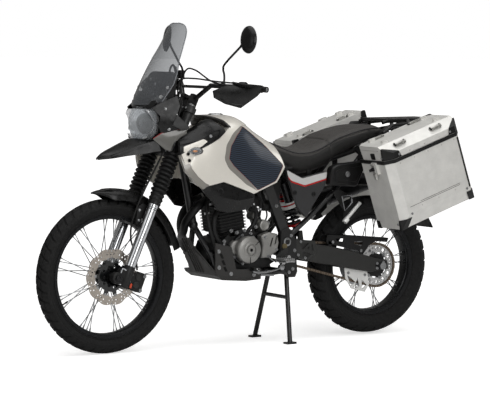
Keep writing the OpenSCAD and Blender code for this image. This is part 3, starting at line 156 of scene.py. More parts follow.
@dataclass(frozen=True)
class Finish:
    """A surface as it was made: base colour, gloss, mottling and fine relief.

    The mottle is the slow drift of tone that any real surface has; the relief is the fine texture
    that breaks its highlights.
    """

    name: str
    colour: str
    roughness: float = 0.5
    metallic: float = 0.0
    mottle: float = 0.10              # share of the tone that drifts
    mottle_mm: float = 60.0
    relief_mm: float = 0.8            # size of one grain
    relief: float = 0.08              # strength of the relief
    coat: float = 0.0
    coat_roughness: float = 0.08
    ior: float = 1.5
    specular: float = 0.28            # weight of the plain surface reflection

    def material(self) -> bpy.types.Material:
        """The finish as a material, made once and then shared."""
        found = bpy.data.materials.get(self.name)
        if found:
            return found
        made = bpy.data.materials.new(self.name)
        made.use_nodes = True
        tree = made.node_tree
        tree.nodes.clear()
        shader = add(tree, "BsdfPrincipled", {"Roughness": self.roughness, "Metallic": self.metallic,
            "Coat Weight": self.coat, "Coat Roughness": self.coat_roughness, "IOR": self.ior,
            "Specular IOR Level": self.specular})
        place = add(tree, "TexCoord").outputs["Object"]
        self.dress(tree, shader, place)
        add(tree, "OutputMaterial", {"Surface": self.last(tree, shader)})
        made.diffuse_color = srgb(self.colour)
        return made

    def last(self, tree: bpy.types.NodeTree, shader: bpy.types.Node) -> bpy.types.NodeSocket:
        """The socket that goes to the output."""
        return shader.outputs[0]

    def tone(self, tree: bpy.types.NodeTree, place: bpy.types.NodeSocket, colour: Any) -> bpy.types.NodeSocket:
        """A colour with its slow drift of tone.

        Args:
            tree: the material's tree.
            place: coordinates in metres.
            colour: linear colour or the socket that gives it.

        Returns:
            The drifting colour.
        """
        cloud = add(tree, "TexNoise", {"Vector": place, "Scale": per_metre(self.mottle_mm), "Detail": 5.0,
            "Roughness": 0.6})
        shade = ramp(tree, cloud.outputs[0], [(0.3, 1 - self.mottle), (0.7, 1 + self.mottle * 0.4)])
        return darkened(tree, colour, shade)

    def gloss(self, tree: bpy.types.NodeTree, shader: bpy.types.Node, place: bpy.types.NodeSocket,
            spread: float = 0.1) -> None:
        """Lets the roughness wander, as handling and dust make it."""
        smear = add(tree, "TexNoise", {"Vector": place, "Scale": per_metre(self.mottle_mm * 0.4), "Detail": 6.0})
        level = add(tree, "MapRange", {0: smear.outputs[0], 1: 0.3, 2: 0.7, 3: max(0.02, self.roughness - spread),
            4: min(1.0, self.roughness + spread)})
        tree.links.new(level.outputs[0], shader.inputs["Roughness"])

    def bump(self, tree: bpy.types.NodeTree, shader: bpy.types.Node, height: bpy.types.NodeSocket, strength: float,
            distance: float = 0.001) -> None:
        """Feeds a height to the shader's normal."""
        raised = add(tree, "Bump", {"Strength": strength, "Distance": distance, "Height": height})
        tree.links.new(raised.outputs[0], shader.inputs["Normal"])

    def dress(self, tree: bpy.types.NodeTree, shader: bpy.types.Node, place: bpy.types.NodeSocket) -> None:
        """Adds colour drift, gloss drift and a fine grain."""
        tree.links.new(self.tone(tree, place, srgb(self.colour)), shader.inputs["Base Color"])
        self.gloss(tree, shader, place)
        grain = add(tree, "TexNoise", {"Vector": place, "Scale": per_metre(self.relief_mm), "Detail": 3.0})
        self.bump(tree, shader, grain.outputs[0], self.relief)


@dataclass(frozen=True)
class MouldedPlastic(Finish):
    """Injection-moulded ABS or polypropylene: an even leather-like grain that dulls its highlights."""

    relief_mm: float = 1.1
    relief: float = 0.10
    mottle: float = 0.05

    def dress(self, tree: bpy.types.NodeTree, shader: bpy.types.Node, place: bpy.types.NodeSocket) -> None:
        """Adds the mould's cellular grain and a little dust."""
        tree.links.new(self.tone(tree, place, srgb(self.colour)), shader.inputs["Base Color"])
        self.gloss(tree, shader, place, 0.08)
        cells = add(tree, "TexVoronoi", {"Vector": place, "Scale": per_metre(self.relief_mm)}, feature="SMOOTH_F1")
        self.bump(tree, shader, cells.outputs[0], self.relief, 0.0006)


@dataclass(frozen=True)
class FlakePaint(Finish):
    """Metallic lacquer: aluminium flakes under a clear coat, which sparkle and then mirror softly."""

    flake_mm: float = 1.2             # real flakes are 0.05 mm; drawn coarse so that they show
    mottle: float = 0.03
    coat: float = 0.8
    metallic: float = 0.35

    def dress(self, tree: bpy.types.NodeTree, shader: bpy.types.Node, place: bpy.types.NodeSocket) -> None:
        """Adds flakes of slightly different tone and tilt."""
        flakes = add(tree, "TexVoronoi", {"Vector": place, "Scale": per_metre(self.flake_mm)})
        spark = ramp(tree, flakes.outputs[1], [(0.0, 0.93), (1.0, 1.0)])
        drift = self.tone(tree, place, srgb(self.colour))
        tree.links.new(darkened(tree, drift, spark), shader.inputs["Base Color"])
        self.bump(tree, shader, flakes.outputs[1], 0.02, 0.0004)


@dataclass(frozen=True)
class CastMetal(Finish):
    """Sand-cast or bead-blasted alloy: a fine pebbled skin, a little darker in its pores."""

    relief_mm: float = 1.6
    relief: float = 0.22

    def dress(self, tree: bpy.types.NodeTree, shader: bpy.types.Node, place: bpy.types.NodeSocket) -> None:
        """Adds the pebbled skin and darker pores."""
        skin = add(tree, "TexNoise", {"Vector": place, "Scale": per_metre(self.relief_mm), "Detail": 4.0,
            "Roughness": 0.65})
        pores = ramp(tree, skin.outputs[0], [(0.32, 0.72), (0.5, 1.0)])
        drift = self.tone(tree, place, srgb(self.colour))
        tree.links.new(darkened(tree, drift, pores, 0.6), shader.inputs["Base Color"])
        self.gloss(tree, shader, place, 0.08)
        self.bump(tree, shader, skin.outputs[0], self.relief, 0.0008)


@dataclass(frozen=True)
class BrushedMetal(Finish):
    """Metal brushed with a belt: fine scratches one way, which draw the highlight out across them."""

    metallic: float = 1.0
    lay: Lay = Lay.ALONG_X
    scratch_mm: float = 40.0          # length of one scratch

    def dress(self, tree: bpy.types.NodeTree, shader: bpy.types.Node, place: bpy.types.NodeSocket) -> None:
        """Adds stretched scratches in tone, gloss and relief."""
        stretched = add(tree, "Mapping", {"Vector": place, "Scale": self.lay.value})
        lines = add(tree, "TexNoise", {"Vector": stretched.outputs[0], "Scale": per_metre(self.scratch_mm),
            "Detail": 8.0, "Roughness": 0.7})
        tint = ramp(tree, lines.outputs[0], [(0.3, 0.86), (0.7, 1.0)])
        drift = self.tone(tree, place, srgb(self.colour))
        tree.links.new(darkened(tree, drift, tint), shader.inputs["Base Color"])
        level = add(tree, "MapRange", {0: lines.outputs[0], 1: 0.3, 2: 0.7, 3: self.roughness - 0.07,
            4: self.roughness + 0.1})
        tree.links.new(level.outputs[0], shader.inputs["Roughness"])
        self.bump(tree, shader, lines.outputs[0], self.relief, 0.0003)


@dataclass(frozen=True)
class Rubber(Finish):
    """Carbon-filled rubber: dull, with a strong drift of tone and a faint grain."""

    roughness: float = 0.78
    mottle: float = 0.25
    mottle_mm: float = 25.0
    relief_mm: float = 1.4
    relief: float = 0.18


@dataclass(frozen=True)
class ClearSheet(Finish):
    """Clear or smoked acrylic: it takes a mirror polish and tints what is behind it."""

    density: float = 0.35             # opacity of the tint
    roughness: float = 0.04

    def last(self, tree: bpy.types.NodeTree, shader: bpy.types.Node) -> bpy.types.NodeSocket:
        """Mixes the tinted, glossy sheet with what shows through it, less so at grazing angles."""
        through = add(tree, "BsdfTransparent", {"Color": srgb("f4f5f6")})
        edge = add(tree, "LayerWeight", {"Blend": 0.35})
        share = add(tree, "MapRange", {0: edge.outputs["Facing"], 1: 0.0, 2: 1.0, 3: self.density,
            4: min(1.0, self.density + 0.45)})
        return add(tree, "MixShader", {0: share.outputs[0], 1: through.outputs[0], 2: shader.outputs[0]}).outputs[0]


@dataclass(frozen=True)
class Vinyl(Finish):
    """Expanded vinyl upholstery: pebbled leather grain."""

    relief_mm: float = 2.2
    relief: float = 0.35

    def dress(self, tree: bpy.types.NodeTree, shader: bpy.types.Node, place: bpy.types.NodeSocket) -> None:
        """Adds pebbles with darker creases, gloss drift and the pebbles' relief."""
        pebbles = add(tree, "TexVoronoi", {"Vector": place, "Scale": per_metre(self.relief_mm)},
            feature="DISTANCE_TO_EDGE")
        creases = ramp(tree, pebbles.outputs[0], [(0.0, 0.0), (0.12, 1.0)])
        drift = self.tone(tree, place, srgb(self.colour))
        tree.links.new(darkened(tree, drift, creases, 0.22), shader.inputs["Base Color"])
        self.gloss(tree, shader, place, 0.07)
        self.bump(tree, shader, creases, self.relief, 0.0006)


@dataclass(frozen=True)
class TwoToneVinyl(Vinyl):
    """Grey top cover sewn to darker side panels: the tone turns where the cover turns down."""

    side: str = "171615"

    def tone(self, tree: bpy.types.NodeTree, place: bpy.types.NodeSocket, colour: Any) -> bpy.types.NodeSocket:
        """Darkens what faces sideways."""
        facing = add(tree, "SeparateXYZ", {0: add(tree, "TexCoord").outputs["Normal"]})
        turn = ramp(tree, facing.outputs[2], [(0.48, srgb(self.side)), (0.56, colour)])
        return super().tone(tree, place, turn)


@dataclass(frozen=True)
class WaveWeave(Finish):
    """Printed film with a wavy carbon pattern: two tones of thin wavy stripes under a satin coat."""

    second: str = "2a3442"
    stripe_mm: float = 9.0
    wave_m: float = 0.0035            # rise of a wave
    coat: float = 0.25

    def dress(self, tree: bpy.types.NodeTree, shader: bpy.types.Node, place: bpy.types.NodeSocket) -> None:
        """Adds the wavy stripes in colour and relief."""
        bent = add(tree, "TexWave", {"Vector": place, "Scale": 1 / (self.stripe_mm * 0.02), "Distortion": 0.0},
            bands_direction="X", wave_profile="SIN")
        height = add(tree, "Math", {0: bent.outputs[1], 1: self.wave_m}, operation="MULTIPLY")
        lift = add(tree, "CombineXYZ", {2: height.outputs[0]})
        shifted = add(tree, "VectorMath", {0: place, 1: lift.outputs[0]}, operation="ADD")
        lines = add(tree, "TexWave",
            {"Vector": shifted.outputs[0], "Scale": per_metre(self.stripe_mm) / 20 * math.tau}, bands_direction="Z",
            wave_profile="SIN")
        colours = ramp(tree, lines.outputs[1], [(0.3, srgb(self.colour)), (0.7, srgb(self.second))])
        tree.links.new(self.tone(tree, place, colours), shader.inputs["Base Color"])
        self.bump(tree, shader, lines.outputs[1], 0.15, 0.0005)


POWDER_BLACK = Finish("powder_coated_steel_black", "0f0f10", 0.33, relief_mm=1.5, relief=0.10, coat=0.3)
SATIN_GREY = Finish("satin_painted_steel_grey", "262626", 0.42, relief_mm=1.4, relief=0.10)
CAST_BLACK = CastMetal("black_painted_casting", "121212", 0.42, relief=0.2)
CAST_GREY = CastMetal("blasted_alloy_cover", "8b8a87", 0.42, metallic=0.6)
CAST_DARK = CastMetal("dark_alloy_swingarm", "2f2f2e", 0.45, metallic=0.3)
MATT_GREY = MouldedPlastic("skid_plate_grey", "2c2b2a", 0.5)
PLASTIC_BLACK = MouldedPlastic("moulded_polypropylene_black", "0c0c0c", 0.46)
PLASTIC_SATIN = MouldedPlastic("moulded_abs_satin_black", "090909", 0.3, relief=0.05)
PLASTIC_GREY = MouldedPlastic("moulded_abs_grey", "2e2e2f", 0.4, relief=0.08)
GLOSS_BLACK = Finish("gloss_black_abs", "0c0d0e", 0.12, mottle=0.02, relief=0.01, coat=0.5)
TANK_PAINT = FlakePaint("champagne_silver_lacquer", "dedad1", 0.34)
# Darker grey flake paint: painted shade on the tank's forward-turned front and round the knee pads' recess
TANK_PAINTED_SHADE = FlakePaint("champagne_lacquer_painted_shade", "86837d", 0.34)
KNEE_FILM = WaveWeave("wavy_carbon_film", "0d1118", 0.36)
SEAT_SIDE = Vinyl("seat_side_vinyl", "1e1e20", 0.58)
TYRE_RUBBER = Rubber("tyre_compound", "111111")
SOFT_RUBBER = Rubber("nitrile_rubber", "0c0c0c", 0.5, mottle=0.12)
RIM_PAINT = Finish("anodised_rim_black", "121315", 0.3, metallic=0.3, relief=0.03)
POLISHED = Finish("polished_alloy", "c2c4c7", 0.16, metallic=1.0, mottle=0.05, relief=0.02)
CHROME = Finish("chrome_plate", "d8dadc", 0.06, metallic=1.0, mottle=0.02, relief=0.01)
ZINC = Finish("zinc_plated_steel", "9a9b9c", 0.3, metallic=1.0, mottle=0.15, mottle_mm=8)
STEEL = BrushedMetal("brushed_stainless_steel", "b6b7b9", 0.27, lay=Lay.ALL_WAYS)
CHAIN_STEEL = Finish("oiled_chain_steel", "6a5e52", 0.38, metallic=0.9, mottle=0.3, mottle_mm=9)
CASE_SKIN = BrushedMetal("brushed_aluminium_sheet", "dad9d5", 0.42, metallic=0.4, lay=Lay.ALONG_X, relief=0.04)
SMOKED = ClearSheet("smoked_acrylic", "5d5f62", density=0.36)
CLEAR = ClearSheet("clear_polycarbonate", "dfe3e6", density=0.10)
RED_LENS = Finish("red_acrylic_lens", "8a0f10", 0.12, coat=1.0, relief_mm=4, relief=0.3)
RED_PAINT = Finish("red_lacquer", "b01516", 0.3, coat=0.4)
WHITE_PAINT = Finish("white_lacquer", "e6e6e4", 0.3, coat=0.4, mottle=0.03)
HEAT_BLACK = Finish("heatproof_black", "161617", 0.4, metallic=0.4, mottle=0.3, relief=0.2)
MIRROR_GLASS = Finish("mirror_glass", "d0d4d8", 0.02, metallic=1.0, mottle=0.01, relief=0.0)
AMBER_BULB = Finish("amber_bulb_glass", "d9822b", 0.15, coat=1.0)
SPOKE_STEEL = Finish("stainless_spoke_wire", "a9abad", 0.28, metallic=1.0, mottle=0.08)
DISC_STEEL = BrushedMetal("ground_disc_steel", "b3aba2", 0.3, lay=Lay.ALL_WAYS, relief=0.04)
SPROCKET_STEEL = BrushedMetal("bright_sprocket_steel", "cfcfcf", 0.26, lay=Lay.ALL_WAYS)
CHAIN_PIN = Finish("bright_chain_pins", "8e8478", 0.3, metallic=1.0, mottle=0.2, mottle_mm=6)
BLACK_BOLT = Finish("black_oxide_bolt", "1a1a1b", 0.35, metallic=0.7)
WEDGE_PAINT = FlakePaint("dark_titanium_lacquer", "5b5a56", 0.36)
DULL_RED = Finish("dull_red_tape", "7c2122", 0.45)
REFLECTOR = Finish("vacuum_metallised_reflector", "f2f3f5", 0.22, metallic=0.8, mottle=0.02, relief=0.0)
DARK_CHROME = Finish("dark_chrome_plate", "5a5c60", 0.12, metallic=1.0, mottle=0.03, relief=0.01)
SMOKED_EDGE = ClearSheet("polished_acrylic_edge", "8a8c90", density=0.55)
SEAT_TWO_TONE = TwoToneVinyl("seat_cover_vinyl", "3c3a38", 0.58)
# Near-black: painted shade in slots, grooves and openings that are not cut, and the dark joint lines of the engine
# covers
SHADE_AND_JOINT_BLACK = Finish("painted_shade_and_joint_black", "020202", 0.9)
DARK_STEEL = Finish("blackened_steel", "2a2a2b", 0.3, metallic=0.8)
WHITE_SILVER = FlakePaint("pale_silver_lacquer", "c9c9c8", 0.3)
CASE_TRIM = Finish("satin_aluminium_trim", "b9b8b4", 0.34, metallic=0.75, mottle=0.08)
ORANGE_RED = Finish("orange_red_mark", "c2401c", 0.35, coat=0.3)
# Near-black that paints the shadow between the cylinder's fins and round the intake
SHADOW_CASTING = CastMetal("painted_shadow_black_casting", "060606", 0.6, relief=0.2)
PLATE_GREY = CastMetal("dark_forged_plate", "232323", 0.45, metallic=0.3)
BRASS = Finish("dull_brass", "6b6148", 0.4, metallic=0.8, mottle=0.2, mottle_mm=6)
WHITE_ALLOY = Finish("bead_blasted_alloy", "dcdcda", 0.45, metallic=0.5, mottle=0.06)
BRIGHT_CAST = CastMetal("bright_steel_casting", "b4b4b4", 0.3, metallic=1.0)
SATIN_ALLOY = Finish("satin_alloy_edge", "9c9da0", 0.3, metallic=1.0)


# ---------- meshes ----------

def vec(*xyz: float) -> Vector:
    """A point given in millimetres, in metres."""
    return Vector(xyz) / 1000


def linked(name: str, data: bpy.types.ID) -> bpy.types.Object:
    """An object of some data, in the scene."""
    made = bpy.data.objects.new(name, data)
    bpy.context.collection.objects.link(made)
    return made


def outward(data: bpy.types.Mesh) -> bpy.types.Mesh:
    """Makes all faces of a mesh point outwards."""
    bm = bmesh.new()
    bm.from_mesh(data)
    bmesh.ops.recalc_face_normals(bm, faces=bm.faces)
    bm.to_mesh(data)
    bm.free()
    return data


def on_circle(radius: float, angle: float, y: float = 0.0) -> Vector:
    """A point at an angle round the Y axis."""
    return Vector((radius * math.cos(angle), y, radius * math.sin(angle)))


def route(*points: Sequence[float]) -> list[Vector]:
    """Points given in millimetres, in metres."""
    return [vec(*p) for p in points]


def flipped(line: Iterable[Vector]) -> list[Vector]:
    """The same points on the other side of the machine."""
    return [Vector((p.x, -p.y, p.z)) for p in line]


class Shape:
    """Collects corners and faces of one piece."""

    def __init__(self) -> None:
        """Starts empty."""
        self.verts: list[Vector] = []
        self.faces: list[tuple[int, ...]] = []

    def data(self, name: str) -> bpy.types.Mesh:
        """The shape as mesh data."""
        made = bpy.data.meshes.new(name)
        made.from_pydata([tuple(v) for v in self.verts], [], [tuple(f) for f in self.faces])
        return made

    def take(self, *others: "Shape") -> "Shape":
        """Adds other shapes to this one."""
        for other in others:
            self.join(other.verts, other.faces)
        return self

    def join(self, verts: Iterable[Vector], faces: Iterable[Sequence[int]]) -> "Shape":
        """Adds corners, and faces that count from them."""
        start = len(self.verts)
        self.verts += [Vector(v) for v in verts]
        self.faces += [tuple(start + i for i in f) for f in faces]
        return self

    def copy_turned(self, matrices: Iterable[Matrix]) -> "Shape":
        """A shape of copies of this one, each placed by a matrix."""
        made = Shape()
        for m in matrices:
            made.join([m @ v for v in self.verts], self.faces)
            if m.to_3x3().determinant() < 0:
                count = len(self.faces)
                made.faces[-count:] = [f[::-1] for f in made.faces[-count:]]
        return made

    def rings(self, rings: Sequence[Sequence[Vector]], closed: bool = False, capped: bool = True,
            turned: bool = True) -> "Shape":
        """Skins a row of rings.

        Args:
            rings: rings with the same number of points.
            closed: the last ring joins the first.
            capped: both ends get a face.
            turned: each ring is a closed loop.

        Returns:
            This shape.
        """
        n = len(rings[0])
        faces: list[tuple[int, ...]] = []
        for i in range(len(rings) if closed else len(rings) - 1):
            j = (i + 1) % len(rings)
            for k in range(n if turned else n - 1):
                m = (k + 1) % n
                faces.append((i * n + k, i * n + m, j * n + m, j * n + k))
        if capped and not closed:
            faces.append(tuple(range(n))[::-1])
            faces.append(tuple((len(rings) - 1) * n + k for k in range(n)))
        return self.join([p for ring in rings for p in ring], faces)

    def lathe(self, profile: Sequence[tuple[float, float]], steps: int = 48, closed: bool = False) -> "Shape":
        """Turns a profile of (radius, y) in metres about the Y axis."""
        rings = [[on_circle(r, math.tau * k / steps, y) for k in range(steps)] for r, y in profile]
        return self.rings(rings, closed=closed, capped=not closed)

    def block(self, size: Sequence[float], at: Vector = Vector(), bevel: float = 0.0, taper: float = 1.0) -> "Shape":
        """A block with chamfered edges, centred on a point.

        Args:
            size: lengths along x, y, z in metres.
            at: its centre.
            bevel: chamfer of the upright and top edges.
            taper: size of the top over the base.

        Returns:
            This shape.
        """
        a, b, c = (s / 2 for s in size)
        e = min(bevel, a * 0.9, b * 0.9)
        def loop(k: float, z: float) -> list[Vector]:
            """An octagon of the block at one height."""
            return [Vector((x * k, y * k, z)) + at for x, y in ((a - e, -b), (a, -b + e), (a, b - e), (a - e, b),
                (-a + e, b), (-a, b - e), (-a, -b + e), (-a + e, -b))]
        f = min(e, c * 0.9)
        shrink = 1 - f / max(min(a, b), 1e-6)
        return self.rings([loop(shrink, -c), loop(1, -c + f), loop(taper, c - f), loop(taper * shrink, c)])

    def piece(self, name: str, finish: Finish, body: str, slot: str, crease: float = 35.0) -> bpy.types.Object:
        """Makes a mesh object that rides on a body.

        Args:
            name: the piece's name.
            finish: the surface.
            body: the body it rides on, or nothing to leave the piece unattached.
            slot: the record's material slot; not used.
            crease: edges bent by more than this many degrees stay sharp.

        Returns:
            The object.
        """
        data = self.data(name)
        data.validate()
        data.polygons.foreach_set("use_smooth", [True] * len(data.polygons))
        data.set_sharp_from_angle(angle=math.radians(crease))
        made = linked(name, data)
        data.materials.append(finish.material())
        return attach(made, body) if body else made


def smooth_path(points: Sequence[Vector], steps: int) -> list[Vector]:
    """A smooth curve through all the points."""
    padded = [2 * points[0] - points[1], *points, 2 * points[-1] - points[-2]]
    out: list[Vector] = []
    for i in range(len(points) - 1):
        a, b, c, d = padded[i:i + 4]
        for k in range(steps):
            t = k / steps
            square, cube = 2 * a - 5 * b + 4 * c - d, 3 * b - a - 3 * c + d
            out.append(0.5 * (2 * b + (c - a) * t + square * t * t + cube * t ** 3))
    return out + [points[-1]]


def tube(points: Sequence[Vector], radius: float | Callable[[float], float], sides: int = 12, steps: int = 6,
        flat: float = 1.0) -> Shape:
    """A round tube along a smooth curve through the points.

    Args:
        points: the curve's points in metres.
        radius: metres, or a function of the share along the curve.
        sides: corners of one ring.
        steps: rings between two points; 0 keeps straight runs.
        flat: height of the section over its width.

    Returns:
        The shape.
    """
    path = smooth_path(points, steps) if steps else list(points)
    rings: list[list[Vector]] = []
    side = Vector((0, 1, 0))
    for i, p in enumerate(path):
        on = (path[min(i + 1, len(path) - 1)] - path[max(i - 1, 0)]).normalized()
        side = (side - side.dot(on) * on)
        side = side.normalized() if side.length > 1e-4 else on.orthogonal().normalized()
        up = on.cross(side)
        r = radius(i / (len(path) - 1)) if callable(radius) else radius
        rings.append([p + r * (math.cos(a) * side + flat * math.sin(a) * up)
            for a in (math.tau * k / sides for k in range(sides))])
    return Shape().rings(rings)


def prism(outline: Sequence[Sequence[float]], low: float, high: float, bevel: float = 0.0) -> Shape:
    """A flat part whose outline lies in the X-Z plane.

    Args:
        outline: corners in millimetres, x then z.
        low: its lower y in metres.
        high: its upper y in metres.
        bevel: width of a chamfer round both faces, in metres.

    Returns:
        The shape.
    """
    corners = [Vector((x, 0, z)) / 1000 for x, z in outline]
    centre = sum(corners, Vector()) / len(corners)
    def loop(y: float, inset: float) -> list[Vector]:
        """The outline at one y, pulled in a little."""
        out = []
        for p in corners:
            away = centre - p
            out.append(p + away * min(inset / max(away.length, 1e-6), 0.5) + Vector((0, y, 0)))
        return out
    if bevel:
        return Shape().rings([loop(low, bevel), loop(low + bevel, 0), loop(high - bevel, 0), loop(high, bevel)])
    return Shape().rings([loop(low, 0), loop(high, 0)])


def rounded(outline: Sequence[Sequence[float]], radius: float, steps: int = 4) -> list[tuple[float, float]]:
    """An outline with its corners rounded."""
    out = []
    n = len(outline)
    for i in range(n):
        p, c, q = (Vector(outline[(i + k) % n]) for k in (-1, 0, 1))
        a, b = p - c, q - c
        r = min(radius, a.length * 0.45, b.length * 0.45)
        start, end = c + a.normalized() * r, c + b.normalized() * r
        for k in range(steps + 1):
            t = k / steps
            out.append(tuple((1 - t) ** 2 * start + 2 * t * (1 - t) * c + t * t * end))
    return out


def grown(outline: Sequence[Sequence[float]], by: float) -> list[tuple[float, float]]:
    """An outline moved outwards from its middle by some millimetres."""
    middle = sum((Vector(p) for p in outline), Vector((0, 0))) / len(outline)
    return [tuple(Vector(p) + (Vector(p) - middle).normalized() * by) for p in outline]


def slab(outline: Sequence[Sequence[float]]) -> Shape:
    """Everything inside a side-view outline, well past both sides of the machine."""
    return prism(outline, -0.4, 0.4)


def about_y(at: Vector, degrees: float) -> Matrix:
    """Turns about an axis along Y through a point."""
    return Matrix.Translation(at) @ Matrix.Rotation(math.radians(degrees), 4, "Y")


def both(shape: Shape) -> Shape:
    """A shape and its mirror image as one."""
    return Shape().take(shape, shape.copy_turned([Matrix.Scale(-1, 4, (0, 1, 0))]))


def bolt(at: Vector, along: Vector, head_r: float = 0.006, head_h: float = 0.005, sides: int = 6,
        washer: bool = True) -> Shape:
    """A bolt head with its washer.

    Args:
        at: where the head sits.
        along: the way it points.
        head_r: radius across its corners.
        head_h: its height.
        sides: 6 for a hexagon, more for a socket or dome head.
        washer: adds a washer below it.

    Returns:
        The shape.
    """
    profile: list[tuple[float, float]] = []
    if sides > 8:
        profile = [(head_r * 0.96, 0), (head_r, head_h * 0.5), (head_r * 0.9, head_h * 0.85), (head_r * 0.55, head_h),
            (head_r * 0.45, head_h * 0.96), (head_r * 0.42, head_h * 0.45), (0.0001, head_h * 0.4)]
    else:
        profile = [(head_r, 0), (head_r, head_h * 0.82), (head_r * 0.88, head_h), (0.0001, head_h)]
    made = Shape().lathe(profile, 16 if sides > 8 else sides)
    if washer:
        made.take(washer_ring(head_r * 1.35, -0.0004, head_h * 0.22))
    turn = Vector((0, 1, 0)).rotation_difference(along.normalized()).to_matrix().to_4x4()
    return made.copy_turned([Matrix.Translation(at) @ turn])


def washer_ring(radius: float, low: float, high: float, steps: int = 24) -> Shape:
    """A thin disc with a soft edge."""
    e = (high - low) * 0.3
    return Shape().lathe([(radius - e, low), (radius, low + e), (radius, high - e), (radius - e, high)], steps)


def bolts(spots: Sequence[Vector], along: Vector, **size: Any) -> Shape:
    """Bolts at several places, as one shape."""
    return Shape().take(*[bolt(at, along, **size) for at in spots])


def merged(*shapes: Shape) -> Shape:
    """Several shapes as one."""
    return Shape().take(*shapes)


def dress(node: str, *finishes: Finish) -> None:
    """Gives a kept CAD node its finish."""
    data = frame["nodes"][node].data
    data.materials.clear()
    for finish in finishes:
        data.materials.append(finish.material())
    log.info("%s keeps its shape in %s", node, finishes[0].name)


def stands_for(piece: bpy.types.Object, *nodes: str) -> bpy.types.Object:
    """Says that a piece replaces CAD nodes, and reports it."""
    log.info("%s replaces %s", piece.name, ", ".join(nodes))
    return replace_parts(piece, *nodes)


# ---------- where things are ----------

def joint(name: str) -> dict[str, Any]:
    """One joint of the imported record."""
    return next(j for j in frame["record"]["behaviour"]["joints"] if j["name"] == name)


def pitch_of(name: str, along: int, across: int) -> float:
    """Angle of a joint's axis in side view, in degrees."""
    axis = joint(name)["axis"]
    return round(math.degrees(math.atan2(-axis[across], axis[along])), 2)


@dataclass(frozen=True)
class Layout:
    """Main places of the machine, in metres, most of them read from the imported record's joints."""

    rake: float = pitch_of("steering", 2, 0)
    front_axle: Vector = field(default_factory=lambda: Vector(joint("front_wheel_spin")["pos_m"]))
    rear_axle: Vector = field(default_factory=lambda: Vector(joint("rear_wheel_spin")["pos_m"]))
    case_foot: Vector = field(default_factory=lambda: vec(-597, 0, 532))
    case_pitch: float = pitch_of("left_lid_hinge", 0, 2)

    @property
    def fork(self) -> Matrix:
        """Frame of the fork: origin at the front axle, Z up along the legs."""
        return Matrix.Translation(self.front_axle) @ Matrix.Rotation(math.radians(-self.rake), 4, "Y")

    @property
    def case(self) -> Matrix:
        """Frame of the cases: X along their top edge, Z up their sides."""
        return Matrix.Translation(self.case_foot) @ Matrix.Rotation(math.radians(self.case_pitch), 4, "Y")


AT = Layout()


def in_fork(*xyz: float) -> Vector:
    """A point given in millimetres in the fork's frame."""
    return AT.fork @ vec(*xyz)


# ---------- camera, floor and light ----------

